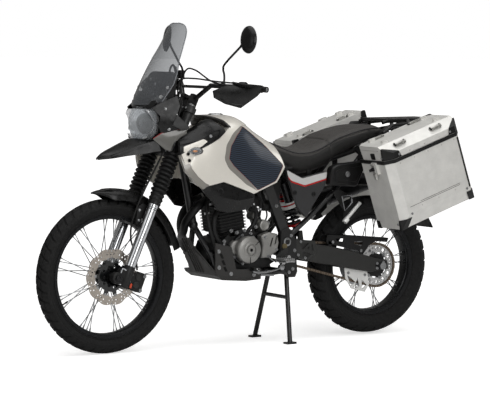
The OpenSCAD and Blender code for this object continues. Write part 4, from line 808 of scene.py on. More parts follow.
@dataclass
class Studio:
    """Long lens from the left front at waist height, a pale sweep and broad soft lights."""

    camera_at: Point = (6.2059, 9.7074, 1.4847)
    yaw: float = 237.314
    pitch: float = -4.074
    roll: float = 0.228
    lens: float = 183.68              # mm on a 36 mm sensor
    sensor: float = 36.0
    floor_tone: str = "f2f2f2"
    floor_half: float = 90.0          # m

    def camera(self) -> None:
        """Places the camera."""
        data = bpy.data.cameras.new("camera")
        data.lens = self.lens
        data.sensor_width = self.sensor
        data.clip_end = 100.0
        made = linked("camera", data)
        yaw, pitch, roll = (math.radians(a) for a in (self.yaw, self.pitch, self.roll))
        ahead = Vector((math.cos(yaw) * math.cos(pitch), math.sin(yaw) * math.cos(pitch), math.sin(pitch)))
        right = ahead.cross(Vector((0, 0, 1))).normalized()
        up = right.cross(ahead)
        x = math.cos(roll) * right + math.sin(roll) * up
        y = -math.sin(roll) * right + math.cos(roll) * up
        made.matrix_world = Matrix((x, y, -ahead)).transposed().to_4x4()
        made.matrix_world.translation = Vector(self.camera_at)
        bpy.context.scene.camera = made

    def floor(self) -> None:
        """A wide sweep that is white to the camera and keeps the object's shadow."""
        half = self.floor_half
        data = bpy.data.meshes.new("studio_floor")
        data.from_pydata([(-half, -half, 0), (half, -half, 0), (half, half, 0), (-half, half, 0)], [], [(0, 1, 2, 3)])
        made = linked("studio_floor", data)
        paper = bpy.data.materials.new("studio_paper")
        paper.use_nodes = True
        tree = paper.node_tree
        tree.nodes.clear()
        place = add(tree, "TexCoord").outputs["Object"]
        fibre = add(tree, "TexNoise", {"Vector": place, "Scale": per_metre(3.0), "Detail": 3.0})
        tone = ramp(tree, fibre.outputs[0], [(0.3, srgb("f0f0f0")), (0.7, srgb(self.floor_tone))])
        matt = add(tree, "BsdfDiffuse", {"Color": tone})
        rays = add(tree, "LightPath")
        reach = add(tree, "VectorMath", {0: place}, operation="LENGTH")
        fade = add(tree, "MapRange", {0: reach.outputs["Value"], 1: 1.6, 2: 5.0, 3: 0.60, 4: 1.0})
        lit = add(tree, "Math", {0: rays.outputs["Is Camera Ray"], 1: fade.outputs[0]}, operation="MULTIPLY")
        glow = add(tree, "Emission", {"Color": srgb("ffffff"), "Strength": lit.outputs[0]})
        both_shaders = add(tree, "AddShader", {0: matt.outputs[0], 1: glow.outputs[0]})
        add(tree, "OutputMaterial", {"Surface": both_shaders.outputs[0]})
        data.materials.append(paper)

    def world(self) -> None:
        """White behind the object for the eye, soft grey for the light it gives."""
        made = bpy.data.worlds.new("studio_world")
        made.use_nodes = True
        tree = made.node_tree
        tree.nodes.clear()
        rays = add(tree, "LightPath")
        seen = add(tree, "Background", {"Color": srgb("ffffff"), "Strength": 1.0})
        felt = add(tree, "Background", {"Color": srgb("f1efec"), "Strength": 0.26})
        share = add(tree, "MixShader", {0: rays.outputs["Is Camera Ray"], 1: felt.outputs[0], 2: seen.outputs[0]})
        add(tree, "OutputWorld", {"Surface": share.outputs[0]})
        bpy.context.scene.world = made

    def lamp(self, name: str, at: Point, aim: Point, size: tuple[float, float], power: float) -> None:
        """A soft box.

        Args:
            name: its name.
            at: its centre.
            aim: what it points at.
            size: its width and height.
            power: watts.
        """
        data = bpy.data.lights.new(name, "AREA")
        data.shape = "RECTANGLE"
        data.size, data.size_y = size
        data.energy = power
        made = linked(name, data)
        made.location = at
        made.rotation_euler = (Vector(aim) - Vector(at)).to_track_quat("-Z", "Y").to_euler()

    def build(self) -> None:
        """Sets the whole studio."""
        self.camera()
        self.floor()
        self.world()
        self.lamp("overhead_softbox", (0.2, 0.6, 3.6), (0, 0, 0.6), (4.5, 3.2), 90)
        self.lamp("left_softbox", (0.4, 4.6, 2.2), (0, 0, 0.7), (3.6, 2.2), 92)
        self.lamp("front_softbox", (4.4, 1.6, 2.0), (0.3, 0, 0.7), (2.2, 2.2), 18)
        self.lamp("rear_softbox", (-4.2, 1.0, 2.4), (-0.5, 0, 0.7), (2.2, 2.2), 24)
        bpy.context.scene.view_settings.view_transform = "Standard"


# ---------- flat plates with holes ----------

def polar(radius: float, angle: float) -> tuple[float, float]:
    """A point of a plate at an angle round its middle."""
    return radius * math.cos(angle), radius * math.sin(angle)


def circle(at: tuple[float, float], radius: float, steps: int = 20) -> list[tuple[float, float]]:
    """Corners of a circle in millimetres."""
    return [(at[0] + radius * math.cos(math.tau * k / steps), at[1] + radius * math.sin(math.tau * k / steps))
        for k in range(steps)]


def plate(outline: Sequence[Sequence[float]], holes: Sequence[Sequence[Sequence[float]]], low: float,
        high: float) -> Shape:
    """A flat plate in the X-Z plane with holes through it.

    Args:
        outline: its corners in millimetres.
        holes: corners of each hole in millimetres.
        low: its lower y in metres.
        high: its upper y in metres.

    Returns:
        The shape.
    """
    loops = [list(outline), *[list(h) for h in holes]]
    flat = [[Vector((x / 1000, z / 1000, 0)) for x, z in loop] for loop in loops]
    triangles = tessellate_polygon(flat)
    points = [p for loop in flat for p in loop]
    made = Shape()
    for y, flip in ((low, False), (high, True)):
        corners = [Vector((p.x, y, p.y)) for p in points]
        faces = []
        for t in triangles:
            a, b, c = (points[i] for i in t)
            turn = (b - a).cross(c - a).z
            faces.append(tuple(t) if (turn > 0) != flip else tuple(reversed(t)))
        made.join(corners, faces)
    for loop in flat:
        n = len(loop)
        made.join([Vector((p.x, low, p.y)) for p in loop] + [Vector((p.x, high, p.y)) for p in loop],
            [(k, (k + 1) % n, n + (k + 1) % n, n + k) for k in range(n)])
    return made


def fixed_normals(piece: bpy.types.Object) -> bpy.types.Object:
    """The same piece with all its faces pointing outwards."""
    outward(piece.data)
    return piece


# ---------- wheels ----------

@dataclass
class Wheel:
    """Laced wheel: block-tread tyre, black rim, crossed spokes with nipples, and hub."""

    name: str
    body: str
    at: Vector
    tyre_r: float
    tyre_w: float
    bead_r: float
    bead_y: float
    hub_r: float
    barrel_r: float
    flange_y: float
    ends: tuple[float, float]         # y of the hub's right and left ends
    pitches: int = 40                 # tread blocks round the tyre
    depth: float = 0.0075             # of the tread
    spoke_count: int = 36
    spoke_r: float = 0.0022
    rim_depth: float = 0.010

    def crown(self, y: float) -> float:
        """Radius of the tread at one y."""
        wide = self.bead_r + 0.45 * (self.tyre_r - self.bead_r)
        t = math.asin(max(-1.0, min(1.0, y / (self.tyre_w / 2))))
        return wide + (self.tyre_r - wide) * max(math.cos(t), 0.0) ** 0.8

    def placed(self, shape: Shape, turn: float = 0.0) -> Shape:
        """A shape moved from the axle's frame to the machine's."""
        return shape.copy_turned([about_y(self.at, turn)])

    def carcass(self) -> Shape:
        """Casing of the tyre with ribs on its side walls."""
        half = self.tyre_w / 2
        profile: list[tuple[float, float]] = []
        for k in range(-30, 31):
            t = math.radians(3 * k)
            y = half * math.sin(t)
            r = self.crown(y)
            shoulder = max(0.0, min(1.0, (0.93 - abs(y) / half) / 0.1))
            r -= self.depth * shoulder
            inset = 0.0012 if k % 4 == 0 and abs(k) > 22 else 0.0
            profile.append((r, y * (1 - inset / half)))
        low = [(self.bead_r, -self.bead_y), (self.bead_r + 0.006, -self.bead_y - 0.0015),
            (self.bead_r + 0.013, -self.bead_y - 0.001), (self.bead_r + 0.0165, -self.bead_y - 0.0045),
            (self.bead_r + 0.019, -self.bead_y - 0.0035)]
        high = [(r, -y) for r, y in reversed(low)]
        return Shape().lathe(low + profile[1:-1] + high, 120, closed=True)

    def block(self, corners: Sequence[tuple[float, float]]) -> Shape:
        """One tread block.

        Args:
            corners: four corners as (angle in pitches, share of the half width), in order.

        Returns:
            A block that follows the crown.
        """
        pitch = math.tau / self.pitches
        half = self.tyre_w / 2
        nu, nv = 2, 3
        centre = (sum(c[0] for c in corners) / 4, sum(c[1] for c in corners) / 4)
        def at(u: float, v: float, grow: float, sink: float) -> Vector:
            """A point of the block."""
            (a0, b0), (a1, b1), (a2, b2), (a3, b3) = corners
            a = (a0 * (1 - u) + a1 * u) * (1 - v) + (a3 * (1 - u) + a2 * u) * v
            b = (b0 * (1 - u) + b1 * u) * (1 - v) + (b3 * (1 - u) + b2 * u) * v
            a = centre[0] + (a - centre[0]) * grow
            b = centre[1] + (b - centre[1]) * grow
            r = self.crown(b * half) - sink
            return on_circle(r, a * pitch, b * half)
        edge = [(i / nu, 0.0) for i in range(nu)] + [(1.0, j / nv) for j in range(nv)] + \
               [(1 - i / nu, 1.0) for i in range(nu)] + [(0.0, 1 - j / nv) for j in range(nv)]
        rings = [[at(u, v, g, s) for u, v in edge] for g, s in ((1.12, self.depth + 0.002), (1.03, 0.0012),
            (0.95, 0.0))]
        made = Shape().rings(rings, capped=False)
        grid = [[at(i / nu, j / nv, 0.95, 0.0) for i in range(nu + 1)] for j in range(nv + 1)]
        made.join([p for row in grid for p in row], [(j * (nu + 1) + i, j * (nu + 1) + i + 1,
            (j + 1) * (nu + 1) + i + 1, (j + 1) * (nu + 1) + i) for j in range(nv) for i in range(nu)])
        return made

    def tread(self) -> Shape:
        """Slanting centre and shoulder blocks, staggered left to right."""
        made = Shape()
        for k in range(self.pitches):
            for side in Sides:
                a = k + (0.5 if side > 0 else 0.0)
                blocks = (((a, 0.05), (a + 0.72, 0.05), (a + 0.42, 0.46), (a - 0.30, 0.46)),
                    ((a - 0.36, 0.54), (a + 0.36, 0.54), (a + 0.12, 0.93), (a - 0.62, 0.93)),)
                for corners in blocks:
                    made.take(self.block([(u, v * side) for u, v in corners]))
        return made

    def rim(self) -> Shape:
        """Shallow trough with rolled flanges."""
        r, y = self.bead_r, self.bead_y
        half = [(r - 0.001, y + 0.0005), (r + 0.009, y + 0.0005), (r + 0.011, y + 0.002), (r + 0.010, y + 0.004),
            (r + 0.004, y + 0.0042), (r - 0.003, y + 0.0038), (r - 0.006, y + 0.001), (r - 0.007, y * 0.72),
            (r - self.rim_depth + 0.001, y * 0.62), (r - self.rim_depth, y * 0.5)]
        return Shape().lathe(half + [(a, -b) for a, b in reversed(half)], 120, closed=True)

    def lacing(self) -> tuple[Shape, Shape]:
        """Spokes in crossing pairs, and the nipples that hold them in the rim."""
        spokes, nipples = Shape(), Shape()
        quarter = self.spoke_count // 4
        rim_r = self.bead_r - self.rim_depth + 0.001
        for side in Sides:
            for lean in (-1, 1):
                for i in range(quarter):
                    hub_a = math.tau * i / quarter + (math.pi / 2 / quarter if side > 0 else 0) \
                        + (math.pi / quarter if lean > 0 else 0)
                    rim_a = hub_a + lean * math.radians(32)
                    y = side * (self.flange_y + lean * 0.0035)
                    hub = on_circle(self.hub_r - 0.004, hub_a, y)
                    rim = on_circle(rim_r, rim_a, side * 0.006)
                    spokes.take(tube([hub, rim], self.spoke_r, sides=6, steps=0))
                    on = (rim - hub).normalized()
                    end = tube([rim - on * 0.017, rim - on * 0.008, rim + on * 0.004],
                        lambda t: 0.0026 if t < 0.1 else 0.0036, sides=6, steps=0)
                    nipples.take(end)
                    spokes.take(tube([hub + Vector((0, -lean * side * 0.006, 0)), hub], self.spoke_r * 1.5, sides=6,
                        steps=0))
        return spokes, nipples

    def hub(self) -> Shape:
        """Barrel with two drilled flanges."""
        b, f, y, t = self.barrel_r, self.hub_r, self.flange_y, 0.0035
        low, high = self.ends
        profile = [(0.010, low), (b * 0.62, low), (b * 0.66, low + 0.002), (b * 0.78, -y - 0.004), (b, -y - t),
            (f - 0.001, -y - t), (f, -y - t + 0.001), (f, -y + t - 0.001), (f - 0.001, -y + t), (b * 1.04, -y + t),
            (b * 0.86, -y + 0.012), (b * 0.84, 0), (b * 0.86, y - 0.012), (b * 1.04, y - t), (f - 0.001, y - t),
            (f, y - t + 0.001), (f, y + t - 0.001), (f - 0.001, y + t), (b, y + t), (b * 0.78, y + 0.004),
            (b * 0.66, high - 0.002), (b * 0.62, high), (0.010, high)]
        return Shape().lathe(profile, 48, closed=True)

    def valve(self) -> Shape:
        """Tyre valve with its cap."""
        r = self.bead_r - self.rim_depth
        stem = [(0.0045, 0.0), (0.0045, 0.006), (0.003, 0.007), (0.003, 0.022), (0.0042, 0.023), (0.0042, 0.034),
            (0.0030, 0.036), (0.0001, 0.036)]
        one = Shape().lathe(stem, 12)
        turn = Vector((0, 1, 0)).rotation_difference(Vector((0, 0, -1))).to_matrix().to_4x4()
        return one.copy_turned([Matrix.Translation((0, 0, r + 0.001)) @ turn])

    def build(self) -> None:
        """Makes the whole wheel."""
        tyre = self.placed(merged(self.carcass(), self.tread())).piece(f"{self.name}_block_tyre", TYRE_RUBBER,
            self.body, "tyre_rubber", 30)
        stands_for(tyre, f"{self.name}_tyre")
        rim = self.placed(self.rim()).piece(f"{self.name}_rim_band", RIM_PAINT, self.body, "rim_black")
        stands_for(rim, f"{self.name}_rim")
        hub = self.placed(self.hub()).piece(f"{self.name}_hub_barrel", CAST_BLACK, self.body, "hub_black")
        stands_for(hub, f"{self.name}_hub")
        spokes, nipples = self.lacing()
        self.placed(spokes).piece(f"{self.name}_spokes", SPOKE_STEEL, self.body, "steel", 60)
        self.placed(nipples).piece(f"{self.name}_nipples", ZINC, self.body, "steel")
        self.placed(self.valve(), 118).piece(f"{self.name}_valve", SOFT_RUBBER, self.body, "rubber_black")


@dataclass
class FrontDisc:
    """Wave-edged drilled disc on a black carrier."""

    radius: float = 128.0             # mm
    inner: float = 84.0
    waves: int = 10
    y: tuple[float, float] = (0.04775, 0.05225)

    def band(self) -> Shape:
        """The steel band with its wave edges and holes."""
        def edge(r: float, depth: float, steps: int) -> list[tuple[float, float]]:
            """A waved circle."""
            return [polar(r - depth * abs(math.sin(self.waves * math.pi * k / steps)) ** 3, math.tau * k / steps)
                for k in range(steps)]
        holes = [edge(self.inner, -4.0, 100)]
        for k in range(self.waves):
            for offset, r, size in ((-9.5, 119, 3.6), (0, 116.5, 4.0), (9.5, 119, 3.6), (-13, 105, 3.8),
                    (-3.5, 102, 4.2), (6, 104, 3.8), (0, 91.5, 3.4)):
                holes.append(circle(polar(r, math.radians(360 * (k + 0.5) / self.waves + offset)), size, 12))
        return plate(edge(self.radius, 6.5, 200), holes, *self.y)

    def carrier(self) -> Shape:
        """Black alloy spider with its arms and rivets."""
        outline = []
        arms = 10
        for k in range(arms * 8):
            share = (k % 8) / 8
            outline.append(polar(84 if share < 0.28 else 66, math.tau * k / (arms * 8)))
        holes = [circle((0, 0), 27, 40)] + [circle(polar(47, math.tau * (k + 0.5) / 5), 7, 14) for k in range(5)]
        return plate(outline, holes, self.y[0] - 0.004, self.y[1] - 0.001)

    def build(self) -> None:
        """Makes the disc, its carrier, rivets and bolts."""
        at = Matrix.Translation(AT.front_axle)
        disc = fixed_normals(self.band().copy_turned([at]).piece("front_wave_disc", DISC_STEEL, "front_wheel",
            "steel"))
        stands_for(disc, "front_brake_disc")
        fixed_normals(self.carrier().copy_turned([at]).piece("front_disc_carrier", GLOSS_BLACK, "front_wheel",
            "hub_black"))
        y = self.y[1]
        rivets = [AT.front_axle + on_circle(0.0825, math.tau * (k + 0.14) / 10, y - 0.0015) for k in range(10)]
        heads = [AT.front_axle + on_circle(0.038, math.tau * k / 5, y - 0.001) for k in range(5)]
        bolts(rivets, Vector((0, 1, 0)), head_r=0.0065, head_h=0.003, sides=16,
            washer=False).piece("front_disc_bobbins", ZINC, "front_wheel", "steel")
        bolts(heads, Vector((0, 1, 0)), head_r=0.0062, head_h=0.005, sides=16).piece("front_disc_bolts", BLACK_BOLT,
            "front_wheel", "hub_black")


@dataclass
class ChainDrive:
    """Rear sprocket, roller chain and its guards."""

    sprocket_r: float = 0.102
    front_r: float = 0.035
    front_at: Vector = field(default_factory=lambda: vec(-70, 76, 440))
    y: float = 0.076
    pitch: float = 0.0155             # a little under 5/8 inch, to close the loop

    def sprocket(self) -> Shape:
        """Toothed silver ring with lightening holes."""
        teeth = 42
        outline = []
        for k in range(teeth * 4):
            r = self.sprocket_r * 1000 + (1.5, 1.5, -5.5, -5.5)[k % 4]
            a = math.tau * (k + (0.22 if k % 4 == 0 else -0.22 if k % 4 == 1 else 0)) / (teeth * 4)
            outline.append(polar(r, a))
        holes = [circle((0, 0), 62, 48)]
        for r, size, steps, shift in ((80, 8.5, 16, 0), (84, 4.2, 12, 0.5)):
            holes += [circle(polar(r, math.tau * (k + shift) / 12), size, steps) for k in range(12)]
        return plate(outline, holes, self.y - 0.0032, self.y + 0.0032)

    def carrier(self) -> Shape:
        """Black hub carrier bolted behind the ring."""
        outline = [polar(70 if (k % 12) < 5 else 55, math.tau * k / 72) for k in range(72)]
        return plate(outline, [circle((0, 0), 20, 32)], self.y - 0.0065, self.y + 0.001)

    def loop(self, grow: float = 0.0) -> list[Vector]:
        """Points along the chain's run, one per link."""
        a, b = AT.rear_axle, self.front_at
        ra, rb = self.sprocket_r - 0.001 + grow, self.front_r + grow
        d = math.hypot(b.x - a.x, b.z - a.z)
        line = math.atan2(b.z - a.z, b.x - a.x)
        lean = math.acos((ra - rb) / d)
        path: list[Vector] = []
        def arc(c: Vector, r: float, a0: float, a1: float) -> None:
            """Adds an arc."""
            for k in range(41):
                t = a0 + (a1 - a0) * k / 40
                path.append(Vector((c.x + r * math.cos(t), self.y, c.z + r * math.sin(t))))
        arc(a, ra, line + lean, line + math.tau - lean)
        arc(b, rb, line - lean, line + lean)
        path.append(path[0])
        lengths = [0.0]
        for p, q in zip(path, path[1:]):
            lengths.append(lengths[-1] + (q - p).length)
        count = 2 * round(lengths[-1] / self.pitch / 2)
        out, i = [], 0
        for k in range(count):
            want = lengths[-1] * k / count
            while lengths[i + 1] < want:
                i += 1
            t = (want - lengths[i]) / max(lengths[i + 1] - lengths[i], 1e-9)
            out.append(path[i].lerp(path[i + 1], t))
        return out

    def chain(self) -> tuple[Shape, Shape]:
        """Side plates, and rollers with their pins."""
        pins = self.loop()
        plates, rollers = Shape(), Shape()
        for k, p in enumerate(pins):
            q = pins[(k + 1) % len(pins)]
            mid, on = (p + q) / 2, (q - p)
            turn = math.atan2(on.z, on.x)
            half = on.length / 2
            gap = 0.0052 if k % 2 else 0.0072
            outline = []
            for sx, a0 in ((1, -math.pi / 2), (-1, math.pi / 2)):
                for j in range(5):
                    t = a0 + math.pi * j / 4
                    outline.append((sx * half + 0.0056 * math.cos(t) , 0.0056 * math.sin(t)))
            for side in Sides:
                lo = side * gap - 0.0008
                rings = []
                for y in (lo, lo + 0.0016):
                    rings.append([mid + Vector((x * math.cos(turn) - z * math.sin(turn), y,
                        x * math.sin(turn) + z * math.cos(turn))) for x, z in outline])
                plates.rings(rings)
            roller = Shape().lathe([(0.0046, -0.0050), (0.0046, 0.0050)], 10)
            pin = Shape().lathe([(0.0024, -0.0088), (0.0024, 0.0088)], 8)
            for s in (roller, pin):
                rollers.join([v + Vector((p.x, self.y, p.z)) for v in s.verts], s.faces)
        return plates, rollers

    def build(self) -> None:
        """Makes the sprocket, carrier and chain."""
        at = Matrix.Translation(Vector((AT.rear_axle.x, 0, AT.rear_axle.z)))
        ring = fixed_normals(self.sprocket().copy_turned([at]).piece("rear_sprocket_ring", SPROCKET_STEEL,
            "rear_wheel", "steel"))
        stands_for(ring, "rear_sprocket")
        fixed_normals(self.carrier().copy_turned([at]).piece("rear_sprocket_carrier", CAST_BLACK, "rear_wheel",
            "hub_black"))
        spots = [AT.rear_axle + on_circle(0.065, math.tau * (k + 0.2) / 6, self.y + 0.001) for k in range(6)]
        bolts(spots, Vector((0, 1, 0)), head_r=0.007, head_h=0.006).piece("sprocket_nuts", ZINC, "rear_wheel",
            "steel")
        cush = Shape().lathe([(0.020, 0.060), (0.052, 0.060), (0.054, 0.063), (0.054, 0.068), (0.050, 0.070),
            (0.020, 0.070)], 48)
        cush.copy_turned([at]).piece("rear_cush_drive", CAST_BLACK, "rear_wheel", "hub_black")
        plates, rollers = self.chain()
        links = fixed_normals(plates.piece("chain_side_plates", CHAIN_STEEL, "chassis", "chain_steel"))
        stands_for(links, "chain")
        rollers.piece("chain_rollers", CHAIN_PIN, "chassis", "chain_steel")


# ---------- sheets and panels ----------

def sheet(rows: Sequence[Sequence[Vector]], thick: Vector, steps: int = 6) -> Shape:
    """A smooth sheet through rows of points, thickened along a vector.

    Args:
        rows: equally long rows of points in metres.
        thick: from the outer to the inner face.
        steps: divisions between two points both ways.

    Returns:
        The closed sheet.
    """
    fine = [smooth_path(list(r), steps) for r in rows]
    grid = [smooth_path([r[c] for r in fine], steps) for c in range(len(fine[0]))]
    return Shape().rings([line + [p + thick for p in reversed(line)] for line in grid])


def draped(corners: Sequence[Sequence[float]], thick: float, bulge: float = 0.0, reach: float = 25.0,
        cell: float = 9.0) -> Shape:
    """A panel over an outline in side view whose surface runs smoothly through its corners.

    Args:
        corners: (x, z, y) in millimetres round the outline.
        thick: thickness in millimetres, inwards.
        bulge: how far the middle stands out of the corners' surface.
        reach: distance from the edge over which the bulge rises.
        cell: size of the mesh.

    Returns:
        The panel on the left side.
    """
    outline = [Vector(c[:2]) for c in corners]
    depths = [c[2] for c in corners]

    def height(p: Vector) -> float:
        """Mean-value blend of the corners' depths."""
        arms = [q - p for q in outline]
        for arm, depth in zip(arms, depths):
            if arm.length < 1e-4:
                return depth
        n = len(arms)
        halves = []
        for i in range(n):
            a, b = arms[i], arms[(i + 1) % n]
            cross = a.x * b.y - a.y * b.x
            halves.append(math.tan(math.atan2(cross, a.dot(b)) / 2) if abs(a.dot(b) + a.length * b.length) > 1e-9
                else 1e6)
        weights = [(halves[i - 1] + halves[i]) / arms[i].length for i in range(n)]
        total = sum(weights)
        return sum(w * d for w, d in zip(weights, depths)) / total if abs(total) > 1e-12 else depths[0]

    def inside(p: Vector) -> float:
        """Distance from the outline."""
        best = 1e9
        for i, a in enumerate(outline):
            b = outline[(i + 1) % len(outline)]
            t = min(1.0, max(0.0, (p - a).dot(b - a) / max((b - a).length_squared, 1e-9)))
            best = min(best, (p - a - t * (b - a)).length)
        return best

    bm = bmesh.new()
    bm.faces.new([bm.verts.new((p.x, 0, p.y)) for p in outline])
    for axis, values in ((0, [p.x for p in outline]), (2, [p.y for p in outline])):
        at = math.ceil(min(values) / cell) * cell
        while at < max(values):
            normal = Vector((1, 0, 0)) if axis == 0 else Vector((0, 0, 1))
            bmesh.ops.bisect_plane(bm, geom=bm.verts[:] + bm.edges[:] + bm.faces[:], plane_co=normal * at,
                plane_no=normal, dist=0.01)
            at += cell
    bm.verts.ensure_lookup_table()
    bm.verts.index_update()
    outer, inner = [], []
    for v in bm.verts:
        flat = Vector((v.co.x, v.co.z))
        y = height(flat) + bulge * (1 - math.exp(-inside(flat) / reach))
        outer.append(vec(flat.x, y, flat.y))
        inner.append(vec(flat.x, y - thick, flat.y))
    n = len(outer)
    faces = [tuple(v.index for v in f.verts) for f in bm.faces]
    walls = [tuple(v.index for v in e.verts) for e in bm.edges if e.is_boundary]
    bm.free()
    return Shape().join(outer + inner, faces + [tuple(i + n for i in reversed(f))
        for f in faces] + [(a, b, b + n, a + n) for a, b in walls])


def lifted(corners: Sequence[Sequence[float]], by: float) -> list[tuple[float, float, float]]:
    """The same corners further out."""
    return [(x, z, y + by) for x, z, y in corners]


def shrunk(corners: Sequence[Sequence[float]], share: float) -> list[tuple[float, ...]]:
    """Corners drawn towards their middle."""
    middle = [sum(c[k] for c in corners) / len(corners) for k in range(3)]
    return [tuple(m + (v - m) * share for v, m in zip(c, middle)) for c in corners]


def bead(corners: Sequence[Sequence[float]], radius: float) -> Shape:
    """A round bead along a closed line of (x, z, y) corners."""
    line = [vec(x, y, z) for x, z, y in corners]
    return tube(line + [line[0]], radius, sides=6, steps=3)


# ---------- front ----------

@dataclass
class FrontEnd:
    """Beak, cowl, headlight, screen and dash."""

    brow_z: float = 1106.0
    lens_levels: tuple[tuple[float, float], ...] = ((40, 954), (84, 966), (113, 990), (122, 1020), (123, 1048),
        (116, 1074), (94, 1096))

    def beak(self) -> None:
        """Pointed beak with a crisp side crease, a grey tip and grey side wedges."""
        ridge = [(762, 0, 879), (735, 0, 901), (690, 0, 922), (640, 0, 944), (589, 0, 962), (548, 0, 952)]
        crease = [(760, 9, 876), (717, 46, 892), (650, 70, 915), (580, 88, 938), (536, 104, 951), (512, 112, 955)]
        edge = [(758, 9, 870), (714, 52, 876), (650, 78, 887), (578, 98, 896), (530, 112, 905), (500, 118, 908)]
        over, fold, low = route(*ridge), route(*crease), route(*edge)
        mid = [(a + b) / 2 + Vector((0, 0, 0.003)) for a, b in zip(over, fold)]
        top = sheet([flipped(fold), flipped(mid), over, mid, fold], vec(0, 0, -4), 5)
        sides = both(sheet([fold, [(a + b) / 2 for a, b in zip(fold, low)], low], vec(0, -4, 0), 4))
        whole = merged(top, sides).piece("beak_shell", PLASTIC_SATIN, "chassis", "black_plastic", 28)
        stands_for(whole, "beak")
        ledge = [(548, 948, 104), (640, 917, 77), (712, 890, 53), (716, 884, 53), (640, 908, 79), (548, 938, 106)]
        both(draped(ledge, 3)).piece("beak_side_ledge", SATIN_GREY, "chassis", "black_plastic", 28)
        tip = [(762, 876, 10), (718, 890, 48), (716, 878, 53), (758, 869, 10)]
        both(draped(tip, 5)).piece("beak_tip_insert", SATIN_GREY, "chassis", "black_plastic", 28)
        wedge = [(538, 962, 112), (498, 988, 124), (383, 1010, 150), (386, 973, 150), (439, 950, 140),
            (456, 908, 134), (478, 912, 126)]
        both(draped(wedge, 7, 3)).piece("beak_side_wedge", WEDGE_PAINT, "chassis", "cover_grey", 28)
        dark = [(386, 972, 146), (438, 949, 137), (455, 907, 131), (430, 896, 130), (392, 914, 136), (362, 950, 148),
            (366, 996, 154)]
        both(draped(dark, 4, 2)).piece("beak_rear_panel", PLASTIC_SATIN, "chassis", "black_plastic", 28)
        # Thin zinc strip on the side of the beak: painted highlight along its edge
        line = [(458, 912, 140), (450, 934, 142), (443, 950, 144), (439, 948, 144), (448, 926, 141), (454, 908, 139)]
        both(draped(line, 2)).piece("beak_painted_edge_highlight", ZINC, "chassis", "steel", 28)
        red = [(456, 1027, 156), (428, 1024, 158), (420, 1015, 159), (440, 1016, 157)]
        both(draped(red, 3)).piece("beak_red_flash", RED_PAINT, "chassis", "black_plastic", 28)
        strip = [(536, 966, 112), (498, 992, 124), (384, 1014, 151), (384, 1011, 151), (498, 988, 125),
            (537, 963, 113)]
        both(draped(strip, 2, 0)).piece("beak_red_line", DULL_RED, "chassis", "black_plastic", 28)

    def cowl(self) -> None:
        """Side cowls that hug the lamp, with the arms to the ducts and a brow."""
        panel = [(543, 1100, 112), (500, 1126, 124), (430, 1154, 142), (421, 1110, 152), (438, 1072, 154),
            (458, 1030, 152), (400, 1012, 160), (500, 985, 122), (517, 1018, 126), (511, 1065, 130)]
        cowls = both(draped(panel, 9, 5, 30)).piece("cowl_panels", PLASTIC_SATIN, "chassis", "black_plastic", 28)
        stands_for(cowls, "fairing")
        arm = [(440, 1070, 158), (398, 1022, 186), (392, 1006, 188), (420, 1000, 176), (462, 1024, 158)]
        both(draped(arm, 6, 2)).piece("cowl_arms", SATIN_GREY, "chassis", "black_plastic", 28)
        inner = [(505, 1085, 112), (440, 1120, 128), (430, 1040, 140), (470, 1000, 124), (504, 1010, 118)]
        both(draped(inner, 12, 0)).piece("cowl_liner", PLASTIC_BLACK, "chassis", "black_plastic", 28)
        brow = [[vec(534, y, self.brow_z - 2 - y * y / 900 * 0.3) + vec(20 - y * y / 420, 0, 0)
            for y in (-100, -50, 0, 50, 100)], [vec(524, y, 1132) + vec(22 - y * y / 420, 0, 0)
            for y in (-108, -54, 0, 54, 108)]]
        sheet(brow, vec(-7, 0, -4), 6).piece("lamp_brow", GLOSS_BLACK, "chassis", "black_plastic", 28)
        for x, z, y in ((487, 1096, 131), (470, 1006, 135)):
            merged(*[bolt(vec(x, s * (y + 3), z), Vector((0.5, s, 0)), 0.0055, 0.003, 12)
                for s in Sides]).piece(f"cowl_screws_{z}", ZINC, "chassis", "steel")

    def lens_rows(self, deep: float, share: float, rim: float) -> list[list[Vector]]:
        """Rows of the lens or of what lies behind it.

        Args:
            deep: how far behind the lens in millimetres.
            share: size over the lens.
            rim: how far its middle stands out of its edge.

        Returns:
            One row for each level.
        """
        rows = []
        for half, z in self.lens_levels:
            t_z = (z - 1028) / 76
            row = []
            for t in (-1, -0.8, -0.5, 0, 0.5, 0.8, 1):
                x = 518 - deep + rim * (1 - t * t) * (1 - 0.45 * t_z * t_z)
                row.append(vec(x, half * share * t, 1028 + (z - 1028) * share))
            rows.append(row)
        return rows

